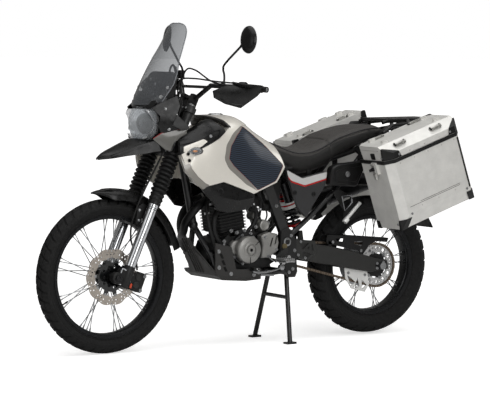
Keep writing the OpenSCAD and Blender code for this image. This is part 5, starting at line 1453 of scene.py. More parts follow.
    def headlight(self) -> None:
        """Clear lens, smooth metal reflector, bulb and housing."""
        lens = sheet(self.lens_rows(0, 1.0, 62), vec(-3.5, 0, 0), 6).piece("headlight_lens", CLEAR, "chassis",
            "lamp_glass", 40)
        stands_for(lens, "headlight")
        rows = []
        steps = 24
        for i in range(steps + 1):
            v = -1 + 2 * i / steps
            row = []
            for j in range(steps + 1):
                u = -1 + 2 * j / steps
                level = self.half_at(v)
                y, z = u * level * 0.93, 1026 + v * 66
                r = math.hypot(u, v)
                row.append(vec(492 + 42 * min(1.2, r) ** 2, y, z))
            rows.append(row)
        Shape().rings([line + [p + vec(-2, 0, 0) for p in reversed(line)]
            for line in rows]).piece("headlight_reflector", REFLECTOR, "chassis", "lamp_glass", 60)
        sheet(self.lens_rows(10, 0.99, 8), vec(-5, 0, 0), 4).piece("headlight_housing", PLASTIC_BLACK, "chassis",
            "black_plastic", 40)
        rim = [vec(519, s * half, z) for s, levels in ((1, self.lens_levels), (-1, tuple(reversed(self.lens_levels))))
            for half, z in levels]
        tube(rim + [rim[0]], 0.0045, sides=8, steps=4).piece("headlight_seal", GLOSS_BLACK, "chassis",
            "black_plastic", 60)
        glass = Shape().lathe([(0.0001, 0.034), (0.006, 0.032), (0.0085, 0.026), (0.0085, 0.0), (0.013, -0.002),
            (0.015, -0.012), (0.0001, -0.013)], 24)
        turn = Matrix.Translation(vec(500, 0, 1030)) @ Matrix.Rotation(math.radians(-90), 4, "Z")
        glass.copy_turned([turn]).piece("headlight_bulb", CLEAR, "chassis", "lamp_glass", 40)
        shade = Shape().lathe([(0.011, 0.040), (0.0125, 0.034), (0.0125, 0.026), (0.0001, 0.044)], 24)
        shade.copy_turned([turn]).piece("headlight_bulb_shade", DARK_CHROME, "chassis", "lamp_glass", 40)
        arms = [tube([vec(498, s * 10, 1030 + 22 * k), vec(530, s * 6, 1030 + 6 * k)], 0.0014, 6, 1) for s in Sides
            for k in (-1, 1)]
        merged(*arms).piece("headlight_bulb_arms", DARK_CHROME, "chassis", "lamp_glass")

    def half_at(self, v: float) -> float:
        """Half width of the lens at a height from -1 to 1."""
        z = 1026 + 66 * v
        for (a, za), (b, zb) in zip(self.lens_levels, self.lens_levels[1:]):
            if za <= z <= zb:
                return a + (b - a) * (z - za) / (zb - za)
        return self.lens_levels[0][0] if z < 1000 else self.lens_levels[-1][0]

    def screen(self) -> None:
        """Tall smoked screen with a black printed foot and four rubber-mounted screws."""
        levels = ((566, 66, 112, 1112), (548, 62, 132, 1150), (512, 58, 148, 1205), (474, 46, 140, 1262),
            (446, 38, 122, 1312), (412, 36, 103, 1375), (378, 28, 88, 1436), (362, 16, 66, 1468), (355, 5, 30, 1478))
        spread = (-1, -0.85, -0.6, -0.3, 0, 0.3, 0.6, 0.85, 1)
        rows = [[vec(x - sweep * t * t, half * t, z) for x, sweep, half, z in levels] for t in spread]
        stands_for(sheet(rows, vec(-3.5, 0, 0), 5).piece("screen_sheet", SMOKED, "chassis", "screen_smoke", 50),
            "windshield")
        foot = ((565, 67, 114, 1110), (557, 65, 126, 1134), (545, 62, 134, 1156))
        inner = [[vec(x - 5 - sweep * t * t, half * t, z - 10 * abs(t) ** 3) for x, sweep, half, z in foot]
            for t in spread]
        sheet(inner, vec(-2, 0, 0), 4).piece("screen_printed_foot", GLOSS_BLACK, "chassis", "black_plastic", 50)
        for k, (x, y, z) in enumerate(((498, 116, 1150), (471, 130, 1190))):
            merged(*[bolt(vec(x + 2, s * y, z), Vector((0.7, s * 0.6, 0.2)), 0.006, 0.004, 16)
                for s in Sides]).piece(f"screen_screws_{k}", ZINC, "chassis", "steel")
        edge = [vec(x - sweep, half, z) for x, sweep, half, z in levels]
        over = [vec(levels[-1][0] - 5 * t * t, 30 * t, 1478) for t in (0.6, 0, -0.6)]
        line = edge + over + flipped(edge)[::-1]
        tube(line, 0.0022, 6, 3).piece("screen_polished_edge", SMOKED_EDGE, "chassis", "screen_smoke", 60)

    def dash(self) -> None:
        """Instrument housing with two clocks, a display, brackets and plugs."""
        shell = [(478, 1128), (490, 1158), (476, 1204), (442, 1254), (420, 1262), (396, 1252), (390, 1226),
            (404, 1150), (420, 1128)]
        body = rounded(shell, 14)
        housing = prism(body, -0.090, 0.090, 0.014).piece("dash_housing", PLASTIC_BLACK, "chassis", "black_plastic",
            30)
        stands_for(housing, "instrument_panel")
        slope = Vector((-0.82, 0, 0.57)).normalized()
        for name, y, z, r in (("speedometer", 42, 1226, 0.034), ("rev_counter", -42, 1226, 0.034),
                ("display", 0, 1190, 0.022)):
            turn = Matrix.Translation(vec(396, y, z)) @ slope.to_track_quat("Y", "Z").to_matrix().to_4x4()
            Shape().lathe([(r * 0.9, -0.02), (r, -0.012), (r, 0.008), (r * 0.93, 0.011), (r * 0.9, 0.006),
                (0.0001, 0.0055)], 36).copy_turned([turn]).piece(f"dash_{name}", GLOSS_BLACK, "chassis",
                "black_plastic", 30)
            Shape().lathe([(r * 0.93, 0.0105), (r * 1.02, 0.0085), (r * 1.02, 0.0065), (r * 0.93, 0.0055)], 36,
                True).copy_turned([turn]).piece(f"dash_{name}_ring", CHROME, "chassis", "steel", 30)
        front = []
        for y, z, w, h in ((-58, 1196, 40, 30), (52, 1204, 44, 26), (0, 1182, 52, 34), (0, 1222, 30, 22),
                (62, 1160, 30, 28), (-62, 1158, 30, 28)):
            front.append(Shape().block((0.024, w / 1000, h / 1000), vec(500 - (z - 1150) * 0.42, y, z), 0.004))
        merged(*front).piece("dash_brackets", SATIN_GREY, "chassis", "black_plastic", 30)
        plugs = [bolt(vec(514 - (z - 1150) * 0.42, y, z), Vector((1, 0, 0.3)), 0.006, 0.007, 6) for y,
            z in ((-58, 1196), (52, 1204), (18, 1180), (-18, 1184), (0, 1224), (64, 1160), (-64, 1160))]
        merged(*plugs).piece("dash_bracket_screws", CHROME, "chassis", "steel")
        looms = []
        for k, (y0, y1, z1) in enumerate(((-70, -30, 1170), (70, 34, 1186), (-34, 44, 1158), (80, -10, 1206),
                (-84, -60, 1232))):
            looms.append(tube([vec(492, y0, 1138), vec(506, (y0 + y1) / 2, 1160 + 6 * k),
                vec(500 - (z1 - 1150) * 0.4, y1, z1)], 0.0035, 8, 6))
        merged(*looms).piece("dash_wiring", SOFT_RUBBER, "chassis", "rubber_black", 60)

    def indicators(self) -> None:
        """Clear-lens indicators on rubber stalks, with amber bulbs."""
        lens, bulb, back = [], [], []
        ball = [(0.0001, 0.030), (0.010, 0.028), (0.017, 0.021), (0.0205, 0.010), (0.021, 0.0)]
        cup = [(0.021, 0.0), (0.0225, -0.002), (0.021, -0.012), (0.012, -0.022), (0.0001, -0.024)]
        for side in Sides:
            aim = Vector((0.85, side * 0.5, 0)).normalized()
            turn = Matrix.Translation(vec(384, side * 230, 910)) @ aim.to_track_quat("Y", "Z").to_matrix().to_4x4()
            turn = turn @ Matrix.Diagonal((1.35, 1.2, 0.78, 1))
            lens.append(Shape().lathe(ball, 32).copy_turned([turn]))
            back.append(Shape().lathe(cup, 32).copy_turned([turn]))
            bulb.append(Shape().lathe([(0.0001, 0.020), (0.005, 0.017), (0.007, 0.010), (0.006, 0.001),
                (0.0001, 0.0)], 20).copy_turned([turn]))
            back.append(tube([vec(380, side * 196, 908), vec(382, side * 222, 909)], 0.008, 12, 2))
        stands_for(merged(*back).piece("front_indicator_bodies", PLASTIC_BLACK, "chassis", "black_plastic"),
            "front_indicators")
        merged(*lens).piece("front_indicator_lenses", CLEAR, "chassis", "lamp_glass", 60)
        merged(*bulb).piece("front_indicator_bulbs", AMBER_BULB, "chassis", "lamp_glass", 60)
        plate = [(448, 895, 212), (420, 911, 216), (386, 889, 219), (404, 855, 218), (430, 850, 214)]
        both(draped(plate, 6, 1)).piece("indicator_plates", TANK_PAINT, "chassis", "tank_silver", 28)
        spots = [(418, 898), (412, 868)]
        merged(*[bolt(vec(x, s * 219, z), Vector((0, s, 0)), 0.006, 0.004, 16) for s in Sides for x,
            z in spots]).piece("indicator_plate_screws", BLACK_BOLT, "chassis", "steel")

    def build(self) -> None:
        """Makes the whole front."""
        self.beak()
        self.cowl()
        self.headlight()
        self.screen()
        self.dash()
        self.indicators()


@dataclass
class Bars:
    """Guards, mirrors, switches, levers and cables of the handlebar."""

    def guards(self) -> None:
        """Hand guards with a framed, recessed middle and bar-end weights."""
        outer = [(297, 1177, 232), (262, 1196, 262), (217, 1206, 304), (168, 1206, 388), (154, 1196, 412),
            (154, 1180, 414), (172, 1156, 402), (223, 1102, 346), (266, 1119, 288), (297, 1146, 242)]
        inner = [(280, 1152, 247), (246, 1178, 277), (180, 1181, 358), (176, 1163, 372), (221, 1118, 340),
            (268, 1133, 281)]
        shell = both(draped(outer, 6, 5, 12, 7)).piece("hand_guard_shells", PLASTIC_SATIN, "steering",
            "black_plastic", 28)
        stands_for(shell, "hand_guards")
        raised = [(x, z, y + 6) for x, z, y in inner]
        both(bead(raised, 0.0030)).piece("hand_guard_rims", GLOSS_BLACK, "steering", "black_plastic", 60)
        both(draped(shrunk(lifted(inner, 4.5), 0.96), 3, 3, 10, 7)).piece("hand_guard_middles", GLOSS_BLACK,
            "steering", "black_plastic", 28)
        # White patch on the rear, outer end of the raised rim: painted reflection
        wedge = [(190, 1176, 353), (178, 1164, 371), (196, 1144, 362), (188, 1162, 362)]
        both(draped(lifted(wedge, 9), 2)).piece("hand_guard_painted_reflections", WHITE_PAINT, "steering", "black_plastic", 28)
        ends = []
        tips = []
        for side in Sides:
            end = in_fork(-179, side * 402, 998)
            aim = (end - in_fork(-148, side * 262, 992)).normalized()
            ends.append(tube([end - aim * 0.001, end + aim * 0.026, end + aim * 0.028], 0.0135, 20, 1))
            tips.append(bolt(end + aim * 0.029, aim, 0.006, 0.003, 16))
        merged(*ends).piece("bar_end_weights", PLASTIC_BLACK, "steering", "black_plastic")
        merged(*tips).piece("bar_end_screws", ZINC, "steering", "steel")

    def mirrors(self) -> None:
        """Oval mirrors with a soft rim on bent stems with ball joints."""
        stem = [(-109, 182, 986), (-108, 182, 1005), (-98, 180, 1030), (-84, 179, 1050), (-70, 204, 1074),
            (-52, 318, 1158)]
        stems, shells, glass, nuts = [], [], [], []
        for side in Sides:
            line = [in_fork(x, side * y, z) for x, y, z in stem]
            stems.append(tube(line, 0.0050, 12, 6))
            at = in_fork(-48, side * 352, 1181)
            aim = Vector((0.93, side * 0.25, 0.12)).normalized()
            turn = Matrix.Translation(at) @ aim.to_track_quat("Y", "Z").to_matrix().to_4x4()
            oval = turn @ Matrix.Rotation(math.radians(side * 8), 4, "Y") @ Matrix.Diagonal((0.80, 1, 1.06, 1))
            shells.append(Shape().lathe([(0.0001, 0.012), (0.030, 0.0105), (0.048, 0.006), (0.0575, -0.001),
                (0.059, -0.007), (0.056, -0.009), (0.054, -0.007)], 48).copy_turned([oval]))
            glass.append(Shape().lathe([(0.054, -0.0075), (0.0001, -0.0065)], 48).copy_turned([oval]))
            nuts.append(bolt(line[0], Vector((0.2, 0, 1)), 0.009, 0.014, 6))
            nuts.append(tube([line[-1] - (line[-1] - line[-2]).normalized() * 0.012,
                line[-1] + (line[-1] - line[-2]).normalized() * 0.014], 0.0075, 12, 1))
        stands_for(merged(*stems).piece("mirror_stems", PLASTIC_SATIN, "steering", "mirror_black", 60), "mirrors")
        merged(*shells).piece("mirror_shells", PLASTIC_SATIN, "steering", "mirror_black", 40)
        merged(*glass).piece("mirror_glass", MIRROR_GLASS, "steering", "mirror_black", 40)
        merged(*nuts).piece("mirror_joints", BLACK_BOLT, "steering", "steel", 40)

    def switches(self) -> None:
        """Switch housings, lever perches, the brake reservoir and clamps."""
        blocks, buttons, screws = [], [], []
        for side in Sides:
            at = in_fork(-150, side * 262, 992)
            along = (in_fork(-179, side * 402, 998) - at).normalized()
            turn = Matrix.Translation(at + along * 0.018) @ along.to_track_quat("X", "Z").to_matrix().to_4x4()
            blocks.append(Shape().block((0.034, 0.040, 0.050), Vector((0, 0, 0)), 0.006).copy_turned([turn]))
            blocks.append(Shape().block((0.026, 0.050, 0.024), Vector((-0.022, 0.018 * -side, 0.004)),
                0.005).copy_turned([turn]))
            for k in range(3):
                buttons.append(Shape().block((0.010, 0.006, 0.008), Vector((-0.008 + 0.009 * k, 0.021 * side,
                    -0.012 + 0.012 * k)), 0.002).copy_turned([turn]))
            screws.append(bolt(turn @ Vector((-0.022, 0, 0.018)), Vector((0, 0, 1)), 0.004, 0.004, 6))
        merged(*blocks).piece("switch_housings", PLASTIC_BLACK, "steering", "rubber_black")
        merged(*buttons).piece("switch_buttons", RED_PAINT, "steering", "rubber_black")
        merged(*screws).piece("perch_screws", ZINC, "steering", "steel")
        pot = Matrix.Translation(in_fork(-116, -232, 1030)) @ Matrix.Rotation(math.radians(90), 4, "X")
        Shape().lathe([(0.0001, -0.02), (0.020, -0.019), (0.022, -0.015), (0.022, 0.010), (0.024, 0.011),
            (0.024, 0.018), (0.0001, 0.020)], 32).copy_turned([pot]).piece("brake_reservoir", PLASTIC_SATIN,
            "steering", "rubber_black")
        ribs = []
        for side in Sides:
            start, end = in_fork(-158, side * 300, 993.6), in_fork(-177, side * 392, 997.6)
            ribs += [tube([start.lerp(end, t), start.lerp(end, t + 0.006)], 0.0182, 24, 1)
                for t in (k / 14 for k in range(14))]
        merged(*ribs).piece("grip_ribs", SOFT_RUBBER, "steering", "rubber_black")

    def cables(self) -> None:
        """Looping cables and hoses from the bar."""
        runs = {"clutch_cable": ((-128, 236, 1002), (-60, 190, 980), (10, 130, 962), (50, 84, 936), (20, 56, 880),
            (-24, 44, 830)), "throttle_cables": ((-128, -236, 1002), (-60, -180, 988), (16, -96, 990), (36, -40, 950),
            (-14, -34, 840)), "left_switch_wires": ((-140, 236, 992), (-70, 160, 980), (10, 104, 1004), (40, 80, 980),
            (14, 66, 850)), "throttle_return_cable": ((-130, -232, 998), (-60, -150, 996), (14, -60, 1012),
            (44, 10, 970), (6, 30, 850)),}
        for name, run in runs.items():
            made = tube([in_fork(*p) for p in run], 0.0040, 10, 10).piece(name, SOFT_RUBBER, "", "rubber_black", 60)
            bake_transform(made)
        hose = tube([in_fork(*p) for p in ((-96, -196, 996), (-64, -190, 1024), (-20, -150, 1036), (10, -110, 1004),
            (2, -92, 950), (-26, -70, 902))], 0.0048, 10, 10)
        hose.piece("brake_hose_loop", SOFT_RUBBER, "steering", "rubber_black", 60)

    def build(self) -> None:
        """Makes everything on the bar."""
        self.guards()
        self.mirrors()
        self.switches()
        self.cables()


# ---------- bodywork ----------

def carved(base: Shape, keep: Shape | None = None, remove: Sequence[Shape] = ()) -> Shape:
    """Cuts a solid with other solids.

    Args:
        base: the solid.
        keep: what it is limited to.
        remove: what is taken away from it.

    Returns:
        The cut solid.
    """
    work = linked("carving_base", outward(base.data("carving_base")))
    tools = []
    for shape, way in [(keep, "INTERSECT")] * (keep is not None) + [(s, "DIFFERENCE") for s in remove]:
        tool = linked("carving_tool", outward(shape.data("carving_tool")))
        tools.append(tool)
        cut = work.modifiers.new("cut", "BOOLEAN")
        cut.operation, cut.object, cut.solver = way, tool, "EXACT"
    done = work.evaluated_get(bpy.context.evaluated_depsgraph_get()).to_mesh()
    made = Shape().join([v.co.copy() for v in done.vertices], [tuple(p.vertices) for p in done.polygons])
    work.to_mesh_clear()
    for o in (work, *tools):
        bpy.data.objects.remove(o)
    return made


def round_square(t: float, width: float, height: float, power: float) -> tuple[float, float]:
    """A point of a closed curve that is squarer the higher its power."""
    c, s = math.cos(t), math.sin(t)
    return (width * math.copysign(abs(c) ** (2 / power), c), height * math.copysign(abs(s) ** (2 / power), s))


def lofted(sections: Sequence[Sequence[float]], power: float, sides: int = 96, steps: int = 5) -> Shape:
    """A smooth body through sections.

    Args:
        sections: (x, half width, bottom z, top z) in millimetres, and a squareness of its own if it has one.
        power: squareness of the other sections.
        sides: corners of one ring.
        steps: rings between two sections.

    Returns:
        The closed body.
    """
    flat = smooth_path([Vector((*s, power)[:5]) for s in sections], steps)
    rings = []
    for s in flat:
        ring = []
        for k in range(sides):
            y, z = round_square(math.tau * k / sides, s[1], (s[3] - s[2]) / 2, s[4])
            ring.append(vec(s[0], y, (s[2] + s[3]) / 2 + z))
        rings.append(ring)
    return Shape().rings(rings)


@dataclass
class Bodywork:
    """Tank, knee pads, ducts, shrouds and side covers, all cut from one smooth form."""

    half_w: float = 218.0
    power: float = 3.1
    knee_thick: float = 4.0

    def form(self, inset: float = 0.0) -> Shape:
        """The smooth form of tank and shrouds, pulled in by an inset in millimetres."""
        w = self.half_w
        p = self.power
        sections = [(478, w - 16, 560, 960, p), (462, w - 10, 560, 968, p), (400, w, 560, 1000, p),
            (310, w + 2, 560, 1040, p), (262, w, 560, 1058, p), (205, w - 4, 560, 1061, 3.0),
            (110, w - 11, 560, 1061, 2.8), (54, w - 18, 560, 1044, 2.6), (-12, w - 30, 564, 1000, 2.45),
            (-88, w - 44, 572, 956, 2.4), (-160, w - 58, 584, 920, 2.4)]
        return lofted([(x, h - inset, lo + inset, hi - inset, e) for x, h, lo, hi, e in sections], p)

    TANK = ((256, 1080), (180, 1038), (164, 1012), (246, 960), (316, 928), (352, 915), (448, 890), (441, 856),
        (431, 821), (379, 762), (339, 737), (319, 750), (227, 767), (52, 706), (-45, 739), (-85, 752), (-141, 820),
        (-104, 960), (-104, 1080))
    BAND = ((470, 905), (465, 850), (450, 800), (395, 745), (339, 715), (316, 735), (308, 756), (330, 765),
        (368, 795), (398, 830), (412, 866), (418, 908))
    EDGE = ((100, 1016), (160, 984), (210, 932), (226, 868), (202, 826), (100, 748), (30, 716), (27, 700),
        (-200, 700), (-200, 1020))
    SHADE = ((100, 1017), (158, 984), (207, 932), (223, 868), (200, 826), (100, 750), (30, 718), (60, 745),
        (160, 828), (180, 900), (120, 975), (80, 1010))
    PAD = ((86, 1013), (-29, 931), (-133, 829), (-80, 758), (29, 720), (171, 836), (198, 869), (183, 926), (140, 974))
    DUCT = ((250, 1050), (282, 1040), (394, 980), (428, 961), (447, 893), (352, 918), (316, 931), (246, 963),
        (196, 994))

    def tank(self) -> None:
        """Painted tank with painted shade in darker grey at its front and round the pad recess, and the filler cap.
        """
        core = prism(((490, 1100), (240, 1100), (240, 500), (490, 500)), -0.158, 0.158)
        pad = rounded(self.PAD, 9)
        nose = carved(self.form(14), slab(((490, 1100), (248, 1100), (248, 500), (490, 500))))
        recess = carved(slab(pad), None, [self.form(self.knee_thick + 3)])
        whole = carved(self.form(), slab(self.TANK), [core, nose])
        dip = carved(slab(rounded(self.EDGE, 20)), None, [self.form(2.6)])
        tank = carved(whole, None, [recess, dip]).piece("painted_tank", TANK_PAINT, "chassis", "tank_silver", 32)
        stands_for(tank, "fuel_tank")
        # Darker grey skin over the tank's front edge: painted shade where the surface turns forward
        kept = carved(self.form(-1.4), slab(self.TANK), [self.form(12.0)])
        carved(kept, slab(self.BAND)).piece("tank_front_painted_shade", TANK_PAINTED_SHADE, "chassis", "tank_silver", 32)
        lip = ((417, 908), (411, 866), (397, 831), (367, 796), (330, 766), (327, 770), (362, 801), (390, 835),
            (403, 867), (408, 908))
        carved(self.form(-2.2), slab(lip), [self.form(3)]).piece("tank_band_lip", TANK_PAINT, "chassis",
            "tank_silver", 32)
        # Darker grey band round the front of the pad recess: painted shade
        around = carved(self.form(2.4), slab(rounded(self.SHADE, 8)), [self.form(6), slab(pad)])
        around.piece("tank_pad_painted_shade", TANK_PAINTED_SHADE, "chassis", "tank_silver", 32)
        cap = Shape().lathe([(0.030, 0.0), (0.0335, 0.002), (0.034, 0.006), (0.0315, 0.009), (0.022, 0.0102),
            (0.021, 0.0085), (0.012, 0.008), (0.011, 0.0105), (0.0001, 0.011)], 40)
        up = Matrix.Translation(vec(140, 0, 1056.5)) @ Matrix.Rotation(math.radians(90), 4, "X")
        cap.copy_turned([up]).piece("filler_cap", ZINC, "chassis", "steel", 40)
        ring = [vec(140, 0, 1057.5) + Vector((0.028 * math.cos(a), 0.028 * math.sin(a), 0.006))
            for a in (math.tau * k / 6 for k in range(6))]
        bolts(ring, Vector((0, 0, 1)), head_r=0.0028, head_h=0.0035, sides=12,
            washer=False).piece("filler_cap_screws", BLACK_BOLT, "chassis", "steel")

    def pads(self) -> None:
        """Knee pads of wavy film, each in a thin red frame."""
        pad = rounded(self.PAD, 9)
        skin = carved(self.form(3.0), slab(grown(pad, -2.2)), [self.form(self.knee_thick + 2.4)])
        both_pads = skin.piece("knee_pad_film", KNEE_FILM, "chassis", "knee_pad", 32)
        stands_for(both_pads, "knee_pads")
        frame_outer = carved(self.form(3.4), slab(grown(pad, -0.5)), [self.form(self.knee_thick + 2.4)])
        carved(frame_outer, None, [slab(grown(pad, -2.6))]).piece("knee_pad_outline", DULL_RED, "chassis", "knee_pad",
            32)

    def ducts(self) -> None:
        """Black side ducts over the tank's nose, with a bolt and a silver insert."""
        top = prism(((490, 1100), (100, 1100), (100, 840), (490, 840)), -0.112, 0.112)
        skin = carved(self.form(-3.0), slab(rounded(self.DUCT, 14)), [top, self.form(12)])
        lower = ((250, 962), (300, 940), (452, 896), (440, 936), (330, 960), (262, 996), (228, 1000))
        facet = carved(slab(lower), None, [self.form(1.0)])
        cheek = slab(((259, 1084), (180, 1041), (160, 1013), (166, 1006), (186, 1030), (262, 1072)))
        carved(self.form(-0.6), cheek, [self.form(26)]).piece("tank_nose_seal", PLASTIC_SATIN, "chassis",
            "black_plastic", 32)
        ducts = carved(skin, None, [facet]).piece("side_duct_covers", PLASTIC_SATIN, "chassis", "black_plastic", 32)
        stands_for(ducts, "side_ducts")
        insert = ((423, 929), (324, 961), (308, 950), (361, 917), (430, 903))
        carved(self.form(-2.6), slab(rounded(insert, 5)), [self.form(1)]).piece("side_duct_inserts", TANK_PAINT,
            "chassis", "tank_silver", 32)
        spots = [vec(297, s * 213, 974) for s in Sides]
        for side, at in zip(Sides, spots):
            bolt(at, Vector((0.1, side, 0.35)), 0.0055, 0.006,
                16).piece(f"duct_bolt_{'left' if side > 0 else 'right'}", ZINC, "chassis", "steel")

    def shrouds(self) -> None:
        """Black lower shrouds with a rimmed round opening whose dark plug is painted shade, and a bolt."""
        upper = [(326, 742, 206), (227, 765, 210), (52, 704, 196), (56, 690, 204), (150, 680, 216), (225, 694, 218),
            (292, 716, 212)]
        lower = [(292, 716, 212), (225, 694, 218), (150, 680, 216), (56, 690, 204), (56, 657, 190), (80, 635, 182),
            (185, 624, 184), (245, 637, 190), (277, 680, 200)]
        flank = [(326, 742, 206), (292, 716, 212), (277, 680, 200), (300, 700, 196), (334, 736, 200)]
        shells = both(merged(draped(upper, 10), draped(lower, 10), draped(flank, 10)))
        shrouds = shells.piece("lower_shroud_panels", PLASTIC_SATIN, "chassis", "shroud_black", 18)
        stands_for(shrouds, "lower_shrouds")
        ring = Shape().lathe([(0.0105, 0.0), (0.0125, 0.0012), (0.0145, 0.0)], 32, False)
        plug = Shape().lathe([(0.0112, 0.0006), (0.0001, 0.0002)], 32)
        for side in Sides:
            at = Matrix.Translation(vec(244, side * 212.6, 724)) @ Matrix.Rotation(0 if side > 0 else math.pi, 4, "Z")
            word = "left" if side > 0 else "right"
            # The opening is not cut: a near-black disc inside the rim paints its shade
            plug.copy_turned([at]).piece(f"shroud_hole_{word}", SHADE_AND_JOINT_BLACK, "chassis", "shroud_black")
            ring.copy_turned([at]).piece(f"shroud_hole_rim_{word}", PLASTIC_SATIN, "chassis", "shroud_black")
            bolt(vec(180, side * 187, 648), Vector((0, side, -0.3)), 0.0065, 0.005, 16).piece(f"shroud_bolt_{word}",
                DARK_STEEL, "chassis", "steel")

    def side_covers(self) -> None:
        """Grey side covers with a light band, a red line and two mount screws."""
        outline = ((-146, 812), (-178, 796), (-236, 768), (-376, 796), (-368, 730), (-300, 640), (-262, 580),
            (-214, 628), (-160, 770))
        upper = ((-150, 806), (-178, 792), (-236, 764), (-374, 792), (-371, 762), (-330, 752), (-250, 733),
            (-176, 756), (-158, 776))
        line = ((-158, 775), (-176, 755), (-250, 732), (-330, 751), (-371, 761), (-370, 755), (-330, 745),
            (-250, 726), (-178, 748), (-160, 768))
        base = both(prism(rounded(outline, 14), 0.137, 0.156, 0.003))
        cover = base.piece("side_cover_shells", PLASTIC_GREY, "chassis", "cover_grey", 32)
        stands_for(cover, "side_panels")
        both(prism(rounded(upper, 9), 0.1555, 0.1585, 0.001)).piece("side_cover_bands", WHITE_SILVER, "chassis",
            "cover_grey", 32)
        both(prism(line, 0.1556, 0.1574)).piece("side_cover_red_lines", RED_PAINT, "chassis", "cover_grey", 32)
        for x, z in ((-196, 700), (-300, 690)):
            merged(*[bolt(vec(x, s * 156, z), Vector((0, s, 0)), 0.0085, 0.005, 16)
                for s in Sides]).piece(f"side_cover_screws_{-x}", SOFT_RUBBER, "chassis", "cover_grey")
        rear = ((-386, 812), (-420, 826), (-578, 840), (-584, 832), (-528, 718), (-376, 729))
        box = both(prism(rounded(rear, 16), 0.134, 0.186, 0.008)).piece("rear_side_boxes", PLASTIC_BLACK, "chassis",
            "black_plastic", 32)
        stands_for(box, "rear_covers")
        rib = both(prism(rounded(((-404, 800), (-560, 818), (-520, 742), (-400, 748)), 16), 0.184, 0.1895, 0.002))
        rib.piece("rear_side_box_ribs", PLASTIC_BLACK, "chassis", "black_plastic", 32)
        merged(*[bolt(vec(-470, s * 189, 780), Vector((0, s, 0)), 0.010, 0.006, 16)
            for s in Sides]).piece("rear_side_box_bolts", ZINC, "chassis", "steel")

    def build(self) -> None:
        """Makes the whole bodywork."""
        self.tank()
        self.pads()
        self.ducts()
        self.shrouds()
        self.side_covers()


@dataclass
class Seat:
    """Two-level vinyl seat, puffed over its foam, with piping and a fold between rider and passenger."""

    power: float = 3.2
    voxel: float = 0.006
    cap: float = 0.008                # furthest that the cover may puff out
    pressure: float = 4.0
    stiffness: float = 25.0
    frames: int = 20                  # length of the simulation
    sections: tuple[tuple[float, ...], ...] = ((-70, 78, 856, 950), (-110, 98, 842, 938), (-170, 122, 812, 910),
        (-238, 136, 786, 892), (-320, 143, 796, 898), (-400, 145, 822, 930), (-440, 145, 842, 950),
        (-483, 144, 862, 964), (-600, 140, 914, 990), (-700, 126, 950, 994), (-742, 98, 960, 986))

    def foam(self) -> Shape:
        """The smaller form that the cover is stretched over."""
        return lofted(self.sections, self.power, 48, 6)

    def puff(self, shape: Shape) -> Shape:
        """Blows the cover up a little with a cloth simulation.

        Args:
            shape: the form.

        Returns:
            The puffed form.
        """
        work = linked("seat_work", shape.data("seat_work"))
        remesh = work.modifiers.new("remesh", "REMESH")
        remesh.mode, remesh.voxel_size = "VOXEL", self.voxel
        bpy.context.view_layer.objects.active = work
        work.select_set(True)
        bpy.ops.object.modifier_apply(modifier=remesh.name)
        rest = [v.co.copy() for v in work.data.vertices]
        cloth = work.modifiers.new("cloth", "CLOTH")
        settings = cloth.settings
        settings.use_pressure, settings.uniform_pressure_force = True, self.pressure
        settings.quality = 5
        settings.tension_stiffness = settings.compression_stiffness = self.stiffness
        settings.effector_weights.gravity = 0.0
        scene = bpy.context.scene
        for at in range(1, self.frames + 1):
            scene.frame_set(at)
        done = work.evaluated_get(bpy.context.evaluated_depsgraph_get()).to_mesh()
        for v, p, q in zip(work.data.vertices, rest, [u.co.copy() for u in done.vertices]):
            step = q - p
            v.co = p + step * min(1.0, self.cap / max(step.length, 1e-9))
        work.to_mesh_clear()
        work.modifiers.remove(cloth)
        scene.frame_set(1)
        made = Shape().join([v.co.copy() for v in work.data.vertices], [tuple(p.vertices)
            for p in work.data.polygons])
        bpy.data.objects.remove(work)
        return made

    def crease(self, shape: Shape) -> Shape:
        """Presses the fold in front of the passenger's part and the sewn line across the nose."""
        for v in shape.verts:
            for x, deep, wide in ((-0.408, 0.007, 0.007), (-0.205, 0.003, 0.004)):
                near = max(0.0, 1 - abs(v.x - x) / wide)
                if near and v.z > 0.80:
                    v.z -= deep * near * near * (3 - 2 * near)
                    v.y *= 1 - 0.02 * near
        return shape

    def edge(self, share: float) -> list[Vector]:
        """A line along the seat at one angle of its sections."""
        out = []
        for s in smooth_path([Vector(s) for s in self.sections], 6):
            y, z = round_square(math.radians(share), s[1], (s[3] - s[2]) / 2, self.power)
            middle = Vector((0, (s[2] + s[3]) / 2000))
            out.append(Vector((s[0] / 1000, y / 1000 * 1.035, middle.y + z / 1000 * 1.045)))
        return out

    def build(self) -> None:
        """Makes the cushion and its piping."""
        shape = self.crease(self.puff(self.foam()))
        cushion = shape.piece("seat_cushion", SEAT_TWO_TONE, "chassis", "seat_vinyl", 60)
        stands_for(cushion, "seat")
        line = self.edge(38)[3:-4]
        piping = tube(line, 0.0028, sides=8, steps=0)
        piped = both(piping).piece("seat_piping", SEAT_SIDE, "chassis", "seat_vinyl", 60)


# ---------- cases and rack ----------

